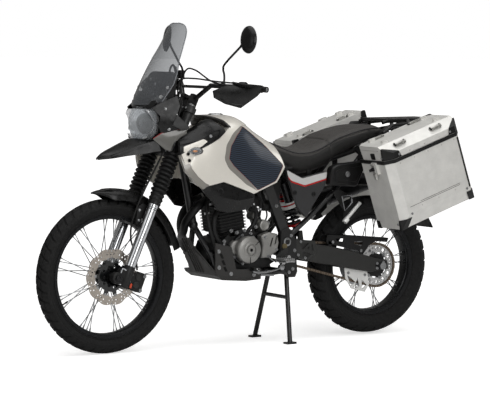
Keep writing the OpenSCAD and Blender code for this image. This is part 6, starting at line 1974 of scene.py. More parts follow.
@dataclass
class Cases:
    """Trim of the two aluminium cases: protectors, gasket, rivets, lugs, latch and lines."""

    length: float = 437.0
    in_y: float = 262.0
    out_y: float = 482.0
    height: float = 336.0
    lid_z: float = 338.0
    lid_h: float = 66.0
    corner: float = 36.0
    foot: float = 62.0
    slope: float = 38.0               # chamfer of the lid's outer edge

    def plan(self, out: float) -> list[tuple[float, float]]:
        """Plan of a case, grown by some millimetres."""
        c = self.corner - 0.4 * out
        return [(out, self.in_y - out), (out, self.out_y - c), (-c, self.out_y + out),
            (c - self.length, self.out_y + out), (-out - self.length, self.out_y - c),
            (-out - self.length, self.in_y - out)]

    def walls(self, out: float, low: float, high: float) -> Shape:
        """The plan as an upright solid."""
        return Shape().rings([[vec(x, y, z) for x, y in self.plan(out)] for z in (low, high)])

    def end(self, profile: Sequence[tuple[float, float]]) -> Shape:
        """An end view drawn out along the whole case."""
        return Shape().rings([[vec(x, y, z) for y, z in profile] for x in (-self.length - 12, 12)])

    def body_skin(self, out: float) -> Shape:
        """The case's outside, grown."""
        end = [(self.in_y - 12, -out), (self.out_y - self.corner + out, -out), (self.out_y + 0.5 * out, self.foot),
            (self.out_y + 12, self.foot), (self.out_y + 12, 400), (self.in_y - 12, 400)]
        return carved(self.walls(out, -out, self.height), self.end(end))

    def lid_skin(self, out: float) -> Shape:
        """The lid's outside, grown."""
        z0, top = self.lid_z, self.lid_z + self.lid_h + out
        end = [(self.in_y - 12, z0 - 10), (self.out_y + out, z0 - 10), (self.out_y + out,
            top - self.slope - 0.4 * out), (self.out_y + out - self.slope * 1.5, top), (self.in_y - 12, top)]
        return carved(self.walls(out, z0, top), self.end(end))

    def corner_wedge(self, x: float, y: float, low: tuple[float, float], high: tuple[float, float]) -> Shape:
        """A tapering corner block that says how far a protector reaches.

        Args:
            x: the corner, 0 in front and minus the length behind.
            y: its side.
            low: height of its foot and reach there.
            high: height of its top and reach there.

        Returns:
            The block.
        """
        way = -1 if x > -10 else 1
        out = 14 * (1 if y > self.in_y + 50 else -1)
        rings = []
        for z, reach in (low, high):
            rings.append([vec(x - way * 14, y + out, z), vec(x + way * reach, y + out, z),
                vec(x + way * reach, y + out * 0.1, z), vec(x + way * 6, y - math.copysign(reach * 0.62, out), z),
                vec(x - way * 14, y - math.copysign(reach * 0.62, out), z)])
        return Shape().rings(rings)

    def place(self, shape: Shape, name: str, finish: Finish, lid: bool = False, slot: str = "case_aluminium",
            crease: float = 30.0) -> None:
        """Makes the same piece on both cases."""
        for side, word in ((1, "left"), (-1, "right")):
            turned = shape.copy_turned([Matrix.Scale(side, 4, (0, 1, 0)) @ AT.case])
            body = f"{word}_lid" if lid else "chassis"
            turned.piece(f"{word}_{name}", finish, body, slot, crease)

    def protectors(self) -> None:
        """Black corner protectors of body and lid with their screws."""
        body, lid = self.body_skin(2.6), self.lid_skin(2.6)
        feet, caps = [], []
        for x in (0, -self.length):
            feet.append(carved(body, self.corner_wedge(x, self.out_y, (-8, 84), (46, 66))))
            feet.append(carved(body, self.corner_wedge(x, self.in_y, (-8, 46), (34, 34))))
            caps.append(carved(lid, self.corner_wedge(x, self.out_y, (self.lid_z - 1, 78), (self.lid_z + 72, 54))))
            caps.append(carved(lid, self.corner_wedge(x, self.in_y, (self.lid_z - 1, 40), (self.lid_z + 72, 24))))
        self.place(merged(*feet), "case_foot_protectors", PLASTIC_BLACK, slot="black_plastic")
        self.place(merged(*caps), "case_lid_protectors", PLASTIC_BLACK, True, "black_plastic")
        low = [bolt(vec(x, self.out_y + 2.4, 64), Vector((0, 1, 0)), 0.0045, 0.003, 12)
            for x in (-52, 52 - self.length)]
        low += [bolt(vec(x, 428, 26), Vector((way, 0, 0)), 0.0045, 0.003, 12) for x,
            way in ((2.6, 1), (-2.6 - self.length, -1))]
        self.place(merged(*low), "case_foot_screws", ZINC, slot="steel")
        high = [bolt(vec(x, self.out_y + 2.4, self.lid_z + 12), Vector((0, 1, 0)), 0.0045, 0.003, 12)
            for x in (-66, 66 - self.length)]
        high += [bolt(vec(x, 436, self.lid_z + 12), Vector((way, 0, 0)), 0.0045, 0.003, 12) for x,
            way in ((2.6, 1), (-2.6 - self.length, -1))]
        self.place(merged(*high), "case_lid_screws", ZINC, True, "steel")

    def gasket(self) -> None:
        """Black strip round the top of the body and the trim up its rear edge."""
        ring = carved(self.walls(3.0, self.height - 17, self.height - 0.5), None, [self.walls(-0.6, 300, 340)])
        self.place(ring, "case_gasket_strip", SOFT_RUBBER, slot="black_plastic")
        edge = Shape().block((0.008, 0.003, 0.246), vec(self.corner - self.length - 3, self.out_y + 1.0, 190), 0.0008)
        side = Shape().block((0.003, 0.008, 0.246), vec(-self.length - 1.0, self.in_y + 5, 190), 0.0008)
        self.place(merged(edge, side), "case_edge_trim", PLASTIC_BLACK, slot="black_plastic")

    def rivets(self) -> None:
        """Blind rivets along the seams."""
        domes = [(x, self.height - 28) for x in (-62, -144, -226, -308, -382)] + [(x, self.foot + 20)
            for x in (-120, -220, -320)]
        body = [self.dome(vec(x, self.out_y, z)) for x, z in domes]
        self.place(merged(*body), "case_rivets", CASE_TRIM, slot="steel", crease=60)
        lid = [self.dome(vec(x, self.out_y, self.lid_z + 9)) for x in (-130, -218, -306)]
        self.place(merged(*lid), "case_lid_rivets", CASE_TRIM, True, "steel", 60)

    def dome(self, at: Vector) -> Shape:
        """One rivet head."""
        return Shape().lathe([(0.0034, 0.0), (0.0030, 0.0008), (0.0016, 0.0014), (0.0001, 0.0015)],
            14).copy_turned([Matrix.Translation(at)])

    def lugs(self) -> None:
        """Tie-down lugs along both edges of the lid, with dark ends."""
        slope = math.atan2(self.slope, self.slope * 1.5)
        silver, dark = [], []
        for x in (-104, -318):
            outer = Matrix.Translation(vec(x, self.out_y - 30,
                self.lid_z + self.lid_h - 16)) @ Matrix.Rotation(-slope, 4, "X")
            inner = Matrix.Translation(vec(x, self.in_y + 28, self.lid_z + self.lid_h + 1)) @ Matrix.Diagonal((1, 1,
                0.6, 1))
            for turn in (outer, inner):
                silver.append(Shape().block((0.058, 0.024, 0.003), vec(0, 0, 1.5), 0.001).copy_turned([turn]))
                loop = [vec(-24, 6, 2), vec(-24, 8, 13), vec(-20, 9, 17), vec(20, 9, 17), vec(24, 8, 13),
                    vec(24, 6, 2)]
                silver.append(tube(loop, 0.0032, 8, 3).copy_turned([turn]))
                silver.append(Shape().block((0.040, 0.003, 0.012), vec(0, 4, 8), 0.001).copy_turned([turn]))
                dark.append(Shape().block((0.008, 0.020, 0.009), vec(-28, 0, 4.5), 0.002).copy_turned([turn]))
                dark.append(Shape().block((0.008, 0.020, 0.009), vec(28, 0, 4.5), 0.002).copy_turned([turn]))
        self.place(merged(*silver), "case_lid_lugs", CASE_TRIM, True, "steel")
        self.place(merged(*dark), "case_lid_lug_ends", PLASTIC_BLACK, True, "black_plastic")

    def latches(self) -> None:
        """Over-centre latch with a lock and key on the front face, and another behind."""
        for k, (x, way) in enumerate(((0.0, 1), (-self.length, -1))):
            hasp, lock = [], []
            y = self.in_y + 109
            reach = 13 if k == 0 else 1
            hasp.append(Shape().block((0.004, 0.026, 0.072), vec(x + way * (reach + 3), y, 290), 0.0015))
            hasp.append(tube([vec(x + way * (reach + 6), y - 12, 322), vec(x + way * (reach + 6), y + 12, 322)],
                0.0045, 12, 1))
            hasp.append(Shape().block((0.006, 0.020, 0.030), vec(x + way * (reach + 5), y, 262), 0.002))
            turn = Matrix.Translation(vec(x + way * (reach + 4), y, 300)) @ Matrix.Rotation(math.radians(-90 * way),
                4, "Z")
            lock.append(Shape().lathe([(0.0001, 0.010), (0.008, 0.010), (0.0095, 0.008), (0.0095, -0.002)],
                24).copy_turned([turn]))
            lock.append(Shape().block((0.018, 0.003, 0.014), vec(x + way * (reach + 20), y, 300), 0.001))
            self.place(merged(*hasp), f"case_latch_{k}", CASE_TRIM, slot="steel")
            self.place(merged(*lock), f"case_lock_{k}", PLASTIC_BLACK, slot="black_plastic")
            strike = Shape().block((0.005, 0.030, 0.030), vec(x + way * 2.6, y, self.lid_z + 18), 0.0015)
            self.place(strike, f"case_latch_strike_{k}", BLACK_BOLT, True, "steel")

    def lines(self) -> None:
        """Two thin accent lines along the lower part of the outer face."""
        thin = [Shape().block((length / 1000, 0.0006, 0.0016), vec(x - length / 2, self.out_y + 0.2, z)) for x,
            length, z in ((-52, 300, 96), (-116, 240, 103))]
        self.place(merged(*thin), "case_accent_lines", PLASTIC_BLACK, slot="black_plastic")

    def folds(self) -> None:
        """Folded flange along the top of the lid's front and rear sides."""
        for x, way in ((0.4, 1), (-self.length - 0.4, -1)):
            strip = Shape().block((0.0016, 0.150, 0.0030), vec(x, 345, self.lid_z + 46), 0.0006)
            self.place(strip, f"case_lid_fold_{'front' if way > 0 else 'rear'}", CASE_TRIM, True, "case_aluminium")

    def build(self) -> None:
        """Makes all the trim."""
        self.protectors()
        self.gasket()
        self.rivets()
        self.lugs()
        self.latches()
        self.lines()
        self.folds()


@dataclass
class Carrier:
    """Ribbed rack with rubber pads and moulded grab handles."""

    def build(self) -> None:
        """Makes rails, ribs, pads and handles."""
        rails = [tube([vec(-735, s * 92, 1012), vec(-770, s * 97, 1019), vec(-900, s * 99, 1020),
            vec(-1020, s * 96, 1020), vec(-1048, s * 74, 1020), vec(-1054, s * 30, 1020), vec(-1055, 0, 1020)],
            0.0098, 16, 8) for s in Sides]
        ribs = [tube([vec(x, -92, 1020), vec(x, 92, 1020)], 0.0075, 12, 1) for x in range(-1030, -760, 31)]
        merged(*rails, *ribs).piece("rack_rails_and_ribs", PLASTIC_SATIN, "chassis", "black_plastic", 60)
        pads = [Shape().block((0.075, 0.020, 0.006), vec(x, s * 60, 1026.5), 0.002) for x in (-800, -900, -1000)
            for s in Sides]
        merged(*pads).piece("rack_rubber_pads", SOFT_RUBBER, "chassis", "rubber_black")
        grips = [tube([vec(-690, s * 118, 958), vec(-702, s * 138, 972), vec(-728, s * 152, 992),
            vec(-790, s * 158, 1003), vec(-846, s * 150, 1006), vec(-880, s * 112, 1012)], 0.0118, 16, 8, 0.8)
            for s in Sides]
        merged(*grips).piece("grab_handle_grips", PLASTIC_BLACK, "chassis", "black_plastic", 60)


# ---------- fork, mudguard and brake ----------

def along(start: Vector, end: Vector) -> Matrix:
    """Carries the Y axis onto a line that starts at a point."""
    turn = Vector((0, 1, 0)).rotation_difference((end - start).normalized()).to_matrix().to_4x4()
    return Matrix.Translation(start) @ turn


@dataclass
class Fork:
    """Gaiters, seals and clamps of the legs, the mudguard over the wheel and the brake caliper."""

    leg: tuple[float, float] = (-43, 97)      # x and y of a leg in the fork's frame, mm
    slider_top: float = 383
    gaiter_top: float = 607
    folds: int = 11
    fold_r: float = 38
    tyre_r: float = 347.5
    over: float = 44

    def legs(self, profile: Sequence[tuple[float, float]], steps: int = 40) -> Shape:
        """A profile of (radius, height) in millimetres turned about both legs."""
        turned = Shape().lathe([(r / 1000, z / 1000) for r, z in profile], steps)
        upright = Matrix.Rotation(math.radians(90), 4, "X")
        places = [AT.fork @ Matrix.Translation(vec(self.leg[0], side * self.leg[1], 0)) @ upright for side in Sides]
        return turned.copy_turned(places)

    def gaiters(self) -> None:
        """Rubber bellows with soft crests, held by steel bands."""
        low = self.slider_top + 4
        pitch = (self.gaiter_top - low) / self.folds
        profile = [(22, low - 17), (29, low - 17), (29.5, low - 2)]
        for i in range(self.folds):
            base = low + pitch * i
            grown = self.fold_r - (5 if i < 2 else 0)
            for share, r in ((0.0, 28.5), (0.2, grown - 3), (0.42, grown), (0.58, grown), (0.8, grown - 3)):
                profile.append((r, base + pitch * share))
        profile += [(28, self.gaiter_top), (24, self.gaiter_top)]
        stands_for(self.legs(profile, 56).piece("fork_bellows", SOFT_RUBBER, "steering", "rubber_black", 25),
            "fork_gaiters")
        bands = merged(self.legs([(29.2, low - 14), (30.6, low - 13.5), (30.6, low - 8.5), (29.2, low - 8)]),
            self.legs([(28.4, self.gaiter_top - 5), (29.6, self.gaiter_top - 4.6), (29.6, self.gaiter_top - 0.8),
            (28.4, self.gaiter_top - 0.4)]))
        bands.piece("bellows_bands", DARK_STEEL, "steering", "steel")

    def sliders(self) -> None:
        """Turned grooves drawn as near-black bands of painted shade, the lower collar and the pinch bolts."""
        # Near-black bands standing a little proud of the slider: painted shade for the grooves
        rings = [self.legs([(24.0, z), (24.35, z + 0.6), (24.35, z + 2.2), (24.0, z + 2.8)]) for z in (352, 344, 60)]
        merged(*rings).piece("slider_groove_painted_shade", SHADE_AND_JOINT_BLACK, "steering", "black_plastic")
        feet = self.legs([(10, -29), (24.2, -29), (25.6, -26), (25.6, 64), (25.0, 70), (24.2, 72)])
        lug = both(Shape().block((0.060, 0.0332, 0.076), vec(-29.5, 97, 13), 0.006))
        eye = both(Shape().lathe([(0.0265, 0.0802), (0.0265, 0.1136), (0.024, 0.1146), (0.010, 0.1146),
            (0.010, 0.0802)], 36))
        shoes = merged(feet, lug.copy_turned([AT.fork]), eye.copy_turned([AT.fork]))
        shoes.piece("slider_feet", CAST_BLACK, "steering", "engine_black", 30)
        nut = both(Shape().lathe([(0.0142, 0.1148), (0.0142, 0.119), (0.011, 0.1235), (0.0001, 0.125)], 24))
        nut.copy_turned([AT.fork]).piece("axle_nuts", DARK_STEEL, "steering", "steel")
        spots = [in_fork(-59.4, side * 97 + dy, z) for side in Sides for dy in (-8, 8) for z in (6, 34)]
        behind = (in_fork(-2, 0, 0) - in_fork(0, 0, 0)).normalized()
        bolts(spots, behind, head_r=0.0048, head_h=0.006, sides=12).piece("pinch_bolts", ZINC, "steering", "steel")
        caps = [in_fork(-43, side * 97, 850) for side in Sides]
        up = (in_fork(0, 0, 1) - in_fork(0, 0, 0)).normalized()
        bolts(caps, up, head_r=0.015, head_h=0.008).piece("fork_caps", ZINC, "steering", "steel")
        clamp_bolts = [in_fork(-12, side * y, z) for side in Sides for y in (82, 112) for z in (620, 638, 829)]
        ahead = (in_fork(1, 0, 0) - in_fork(0, 0, 0)).normalized()
        bolts(clamp_bolts, ahead, head_r=0.005, head_h=0.006, sides=12).piece("clamp_bolts", ZINC, "steering",
            "steel")

    def arch(self, first: float, last: float, section: Sequence[tuple[float, float]], thick: float,
            lift: Callable[[float], float] = lambda share: 0.0, steps: int = 40,
            taper: Callable[[float], float] = lambda share: 1.0) -> Shape:
        """A strip that follows the tyre.

        Args:
            first: angle at which it starts, in degrees up from straight ahead.
            last: angle at which it ends.
            section: (y, radius) across the strip in millimetres.
            thick: its thickness in millimetres.
            lift: extra radius along the strip.
            taper: share of its width and fall along the strip.
            steps: divisions along it.

        Returns:
            The closed strip.
        """
        rings = []
        for i in range(steps + 1):
            share = i / steps
            a = math.radians(first + (last - first) * share)
            k = taper(share)
            top = max(r for _, r in section)
            ring = [(y * k, top + (r - top) * k * k + lift(share)) for y, r in section]
            ring += [(y * 0.97 * k, top + (r - top) * k * k - thick + lift(share)) for y, r in reversed(section)]
            rings.append([AT.front_axle + Vector((r * math.cos(a), 0, r * math.sin(a))) / 1000 + vec(0, y, 0) for y,
                r in ring])
        return Shape().rings(rings)

    def mudguard(self) -> None:
        """A creased guard with dark inserts, its brackets and its bolts."""
        crown = self.tyre_r + self.over
        def swell(share: float) -> float:
            """The guard stands further off the tyre in its middle."""
            return -7 + 15 * math.sin(math.pi * min(1.0, share * 1.08))
        half = [(0, crown), (30, crown - 1), (42, crown - 4), (54, crown - 16), (60, crown - 30), (62, crown - 46)]
        section = [(-y, r) for y, r in reversed(half)] + half[1:]
        guard = self.arch(80, 162, section, 3.4, swell, taper=lambda share: min(1.0, 0.36 + share * 4.6))
        stands_for(guard.piece("mudguard", PLASTIC_SATIN, "steering", "black_plastic", 30), "front_fender")
        inserts = [self.arch(*span, [(a, crown + 0.9), (b, crown + 0.6)], 2.0, swell_part, 24) for span, low,
            high in (((88, 112), 0.10, 0.39), ((134, 159), 0.66, 0.96)) for a,
            b in ((-28, -9), (9, 28)) for swell_part in [lambda share, low=low,
            high=high: swell(low + (high - low) * share)]]
        merged(*inserts).piece("mudguard_inserts", PLASTIC_GREY, "steering", "black_plastic")
        ridge = self.arch(80.5, 161, [(-3, crown + 1.4), (3, crown + 1.4)], 2.4, swell)
        ridge.piece("mudguard_ridge", PLASTIC_SATIN, "steering", "black_plastic")
        ax, az = AT.front_axle.x * 1000, AT.front_axle.z * 1000
        plate = [(ax - 120, az + 308), (ax - 150, az + 326), (ax - 188, az + 308), (ax - 186, az + 288),
            (ax - 154, az + 234), (ax - 112, az + 234)]
        both(prism(plate, 0.0623, 0.0727, 0.0015)).piece("mudguard_brackets", CAST_BLACK, "steering", "engine_black")
        spots = [vec(ax + dx, side * 73, az + dz) for side in Sides for dx,
            dz in ((-132, 296), (-172, 300), (-128, 250), (-146, 252))]
        left = bolts([p for p in spots if p.y > 0], vec(0, 1, 0), head_r=0.0052, head_h=0.004, sides=12)
        right = bolts([p for p in spots if p.y < 0], vec(0, -1, 0), head_r=0.0052, head_h=0.004, sides=12)
        merged(left, right).piece("bracket_bolts", ZINC, "steering", "steel")

    def caliper(self) -> None:
        """A sliding caliper over the disc, with its pistons, pins and red mark."""
        outline = [(-152, -16), (-150, 58), (-132, 72), (-96, 68), (-84, 52), (-76, 56), (-64, 40), (-66, 6),
            (-84, 2), (-96, -20)]
        outer = prism(outline, 0.0575, 0.082, 0.004)
        inner = prism([(-152, -16), (-150, 58), (-132, 70), (-98, 66), (-88, 50), (-88, 4), (-98, -18)], 0.030, 0.047,
            0.003)
        bridge = prism([(-153, -12), (-152, 54), (-140, 64), (-137, 60), (-137, -12)], 0.034, 0.076, 0.002)
        body = merged(outer, inner, bridge).copy_turned([AT.fork])
        stands_for(body.piece("caliper_body", CAST_BLACK, "steering", "engine_black", 30), "front_caliper")
        out = vec(0, 1, 0)
        rounds = [Shape().lathe([(0.015, 0.080), (0.0148, 0.0855), (0.0125, 0.087), (0.011, 0.0855),
            (0.0001, 0.0852)], 28) .copy_turned([AT.fork @ Matrix.Translation(vec(-112, 0, z))]) for z in (8, 44)]
        merged(*rounds).piece("caliper_pistons", CAST_DARK, "steering", "engine_black")
        mark = prism([(-96, -16), (-96, 4), (-88, 8), (-84, 2), (-86, -14)], 0.0816, 0.0830, 0.0004)
        mark.copy_turned([AT.fork]).piece("caliper_mark", ORANGE_RED, "steering", "engine_black")
        pins = [in_fork(-74, 82, 12), in_fork(-74, 82, 44), in_fork(-146, 82, -6), in_fork(-142, 82, 60)]
        bolts(pins, out, head_r=0.0062, head_h=0.005).piece("caliper_bolts", ZINC, "steering", "steel")

    def build(self) -> None:
        """Builds all of it."""
        self.gaiters()
        self.sliders()
        self.mudguard()
        self.caliper()


# ---------- engine ----------

@dataclass
class Engine:
    """Covers, cooling jacket, plumbing and small fittings of the engine."""

    alternator: Vector = field(default_factory=lambda: vec(42, 0, 446))
    cover_r: float = 63
    case_y: float = 88
    foot: Vector = field(default_factory=lambda: vec(88, 0, 508))
    lean: float = 8.0

    @property
    def barrel(self) -> Matrix:
        """Frame of the cylinder: origin on its deck, Z up its bore."""
        return Matrix.Translation(self.foot) @ Matrix.Rotation(math.radians(self.lean), 4, "Y")

    def disc(self, x: float, z: float, profile: Sequence[tuple[float, float]], steps: int = 56) -> Shape:
        """A profile of (radius, y) in millimetres turned about a line across the machine."""
        turned = Shape().lathe([(r / 1000, y / 1000) for r, y in profile], steps)
        return turned.copy_turned([Matrix.Translation(vec(x, 0, z))])

    def covers(self) -> None:
        """The two-part alternator cover, sprocket cover and the smaller round covers."""
        x, z, r = self.alternator.x * 1000, self.alternator.z * 1000, self.cover_r
        y = self.case_y
        main = self.disc(x, z, [(r - 3, y + 1), (r - 3, y + 34), (r, y + 38), (r, y + 50), (r - 4, y + 57),
            (r - 14, y + 60), (r - 17, y + 61.5), (34, y + 62), (32, y + 64), (27, y + 66), (25, y + 63),
            (20, y + 63), (18.5, y + 69), (16, y + 71), (8, y + 71), (7, y + 66), (0.1, y + 66)])
        sprocket = [(-36, 464), (-30, 505), (-44, 512), (-78, 521), (-118, 512), (-126, 470), (-116, 430), (-70, 403),
            (-30, 404)]
        cover = prism(sprocket, 0.0885, 0.132, 0.005)
        slots = [prism([(-73, 454), (-86, 494), (-94, 497), (-83, 456)], 0.12, 0.2),
            prism([(-99, 462), (-110, 504), (-118, 504), (-108, 466)], 0.12, 0.2)]
        cover = carved(cover, remove=[*slots, self.disc(x, z, [(r + 2, 60), (r + 2, 200)])])
        starter = self.disc(-63, 552, [(26, 28), (26, 100), (24.5, 106), (20, 108), (17, 106.5), (0.1, 106.5)])
        idle = self.disc(-36, 592, [(19, 20), (19, 66), (17, 70), (0.1, 70.5)])
        water = self.disc(92, 456, [(34, y + 1), (34, y + 20), (31, y + 25), (24, y + 27), (0.1, y + 27.5)])
        clutch = self.disc(20, 440, [(0.1, -133), (58, -133), (70, -129), (74, -122), (74, -89)])
        pump = self.disc(128, 434, [(0.1, -119), (42, -119), (50, -115), (52, -109), (52, -89)])
        whole = merged(main, cover, starter, idle, water, clutch, pump)
        stands_for(whole.piece("alloy_covers", CAST_GREY, "chassis", "engine_grey", 28), "engine_covers")
        # Dark joint lines and centre plug, and near-black painted shade at the bottom of the two slots
        dark = [self.disc(x, z, [(7, y + 66.4), (7, y + 71.2), (6.2, y + 71.2), (0.1, y + 68)], 24)]
        for degrees in (38, -90):
            strip = Shape().block((0.040, 0.0016, 0.0028), vec(44, 0, 0), 0.0002)
            face = Matrix.Translation(vec(x, y + 61.9, z)) @ Matrix.Rotation(math.radians(degrees + 180), 4, "Y")
            dark.append(strip.copy_turned([face]))
        dark += [prism([(-73, 454), (-86, 494), (-94, 497), (-83, 456)], 0.119, 0.1206),
            prism([(-99, 462), (-110, 504), (-118, 504), (-108, 466)], 0.119, 0.1206)]
        merged(*dark).piece("cover_joints_and_slot_shade", SHADE_AND_JOINT_BLACK, "chassis", "engine_black")
        flange = self.disc(x, z, [(r + 4, y + 0.5), (r + 8, y + 2), (r + 8, y + 18), (r + 4, y + 20),
            (r - 4, y + 20)])
        flange.piece("cover_flange", CAST_BLACK, "chassis", "engine_black", 28)
        rim = [vec(x + 1000 * 0.067 * math.cos(a), y + 20, z + 67 * math.sin(a))
            for a in (math.radians(d) for d in (20, 75, 128, 232, 284, 330))]
        spots = rim + [vec(-48, 132, 500), vec(-112, 132, 440), vec(-66, 132, 412)]
        bolts(spots, vec(0, 1, 0), head_r=0.0056, head_h=0.006).piece("cover_bolts", ZINC, "chassis", "steel")
        rights = [vec(20 + 66 * math.cos(a), -122, 440 + 66 * math.sin(a)) for a in (math.radians(40 * k)
            for k in range(9))]
        bolts(rights, vec(0, -1, 0), head_r=0.005, head_h=0.006).piece("clutch_bolts", ZINC, "chassis", "steel")

    def jacket(self) -> None:
        """Dark body between the fins, the head cover's bolts and two studs on its side."""
        # The block between the fins is near-black: painted shadow
        block = Shape().block((0.140, 0.152, 0.128), vec(0, 0, 84), 0.008)
        side = Shape().block((0.100, 0.152, 0.050), vec(0, 0, 164), 0.010)
        merged(block, side).copy_turned([self.barrel]).piece("cooling_jacket", SHADOW_CASTING, "chassis",
            "engine_black", 25)
        spots = [self.barrel @ vec(dx, dy, 218) for dx in (-44, 0, 44) for dy in (-62, 62)]
        bolts(spots, vec(0.1, 0, 1), head_r=0.006, head_h=0.008).piece("head_bolts", ZINC, "chassis", "steel")
        studs = [self.barrel @ vec(dx, 78, 155) for dx in (-30, 30)]
        bolts(studs, vec(0, 1, 0), head_r=0.007, head_h=0.007).piece("head_studs", ZINC, "chassis", "steel")

    def plumbing(self) -> None:
        """Hoses, cables, clips, the coil and the starter lead."""
        hoses = [([(150, 62, 640), (196, 92, 610), (206, 96, 545), (176, 98, 480), (120, 96, 452)], 12.0),
            ([(40, 78, 700), (0, 96, 668), (-22, 96, 610), (-10, 92, 560), (18, 90, 530)], 9.0),
            ([(-20, 70, 770), (-44, 92, 700), (-52, 88, 640), (-50, 80, 590)], 6.0),
            ([(-8, 60, 780), (-18, 98, 720), (-62, 98, 650), (-84, 92, 600), (-76, 84, 560)], 4.0),
            ([(-60, 60, 775), (-86, 84, 680), (-104, 94, 620), (-118, 90, 540)], 4.5),
            ([(30, 80, 740), (18, 104, 690), (0, 106, 640), (-24, 100, 590), (-22, 94, 548)], 3.5),
            ([(210, 60, 690), (238, 84, 640), (232, 96, 560), (214, 98, 500), (190, 96, 440), (150, 92, 412)], 10.0),]
        for n, (points, r) in enumerate(hoses):
            run = tube(route(*points), r / 1000, 14, 8)
            run.piece(f"engine_hose_{n}", SOFT_RUBBER, "chassis", "rubber_black", 60)
        clips = []
        for points, r, at in ((hoses[0][0], 12.6, 0), (hoses[0][0], 12.6, 3), (hoses[1][0], 9.6, 1),
                (hoses[6][0], 10.6, 1), (hoses[6][0], 10.6, 4), (hoses[2][0], 6.6, 2)):
            a, b = vec(*points[at]), vec(*points[at + 1])
            ring = Shape().lathe([(r / 1000, -0.005), ((r + 0.9) / 1000, -0.0045), ((r + 0.9) / 1000, 0.0045),
                (r / 1000, 0.005)], 28)
            screw = Shape().block((0.008, 0.012, 0.007), vec(r + 3, 0, 0), 0.001)
            clips.append(merged(ring, screw).copy_turned([along(a.lerp(b, 0.28), b)]))
        merged(*clips).piece("hose_clips", STEEL, "chassis", "steel")
        coil = Shape().block((0.070, 0.030, 0.044), vec(186, 74, 744), 0.006)
        can = Shape().block((0.060, 0.050, 0.040), vec(-92, 74, 636), 0.008)
        loom = tube(route((150, 84, 750), (60, 100, 742), (-10, 100, 752), (-60, 98, 776)), 0.011, 12, 8)
        merged(coil, can, loom).piece("ignition_coil_and_loom", PLASTIC_BLACK, "chassis", "black_plastic", 40)
        bracket = prism([(96, 530), (60, 540), (-16, 524), (-20, 512), (30, 506), (92, 512)], 0.082, 0.096, 0.003)
        lug = prism([(128, 520), (150, 500), (186, 470), (196, 430), (176, 404), (150, 420), (140, 470), (112, 500)],
            0.084, 0.097, 0.003)
        merged(bracket, lug).piece("engine_lugs", CAST_BLACK, "chassis", "engine_black", 30)
        spots = route((82, 97, 524), (8, 97, 516), (114, 98, 533), (176, 98, 440), (152, 98, 486), (41, 97, 532),
            (-86, 100, 560), (-20, 98, 546))
        bolts(spots, vec(0, 1, 0), head_r=0.0066, head_h=0.007).piece("engine_bolts", ZINC, "chassis", "steel")

    def exhaust(self) -> None:
        """Smooth header pipes, their flanges and the silencer."""
        for name, points in (("left_header", [(184, 36, 676), (212, 38, 675), (250, 50, 658), (292, 44, 616),
                (306, 12, 572), (293, -28, 530), (270, -84, 500), (236, -132, 466), (196, -158, 430)]),
                ("right_header", [(184, -36, 676), (210, -38, 674), (238, -52, 656), (258, -84, 612),
                (254, -118, 556), (226, -146, 492), (196, -158, 432)])):
            run = tube(route(*points), 0.019, 24, 10)
            made = run.piece(name, HEAT_BLACK, "chassis", "pipe_black", 60)
            if name == "left_header":
                stands_for(made, "exhaust_pipes")
        link = tube(route((200, -160, 430), (120, -166, 420), (-60, -166, 430), (-220, -168, 478), (-300, -174, 548),
            (-372, -187, 586), (-424, -188, 600)), 0.024, 24, 10)
        link.piece("link_pipe", HEAT_BLACK, "chassis", "pipe_black", 60)
        front, rear = vec(-424, -188, 600), vec(-850, -194, 716)
        span = (rear - front).length
        profile = [(0.022, -0.004), (0.034, 0.004), (0.043, 0.022), (0.044, 0.030), (0.044, span - 0.034),
            (0.0445, span - 0.030), (0.0445, span - 0.012), (0.040, span - 0.002), (0.030, span),
            (0.021, span - 0.002), (0.020, span + 0.029), (0.016, span + 0.029), (0.015, span - 0.03)]
        can = Shape().lathe(profile, 56).copy_turned([along(front, rear)])
        stands_for(can.piece("silencer", HEAT_BLACK, "chassis", "pipe_black", 30), "muffler")
        straps = [Shape().lathe([(0.0442, y), (0.0456, y + 0.001), (0.0456, y + 0.017), (0.0442, y + 0.018)],
            56) .copy_turned([along(front, rear)]) for y in (0.06, 0.19, 0.36)]
        hanger = prism([(-604, 640), (-640, 640), (-632, 912), (-608, 912)], -0.1386, -0.134, 0.0008)
        merged(*straps, hanger).piece("silencer_straps", DARK_STEEL, "chassis", "pipe_black")
        rings = [Shape().lathe([(0.020, 0.0), (0.027, 0.002), (0.027, 0.009), (0.020, 0.011)],
            32) .copy_turned([along(vec(186, side * 36, 676), vec(262, side * 46, 666))]) for side in Sides]
        merged(*rings).piece("port_flanges", ZINC, "chassis", "steel")

    def build(self) -> None:
        """Builds all of it."""
        self.covers()
        self.jacket()
        self.plumbing()
        self.exhaust()


# ---------- frame, swingarm and shock ----------

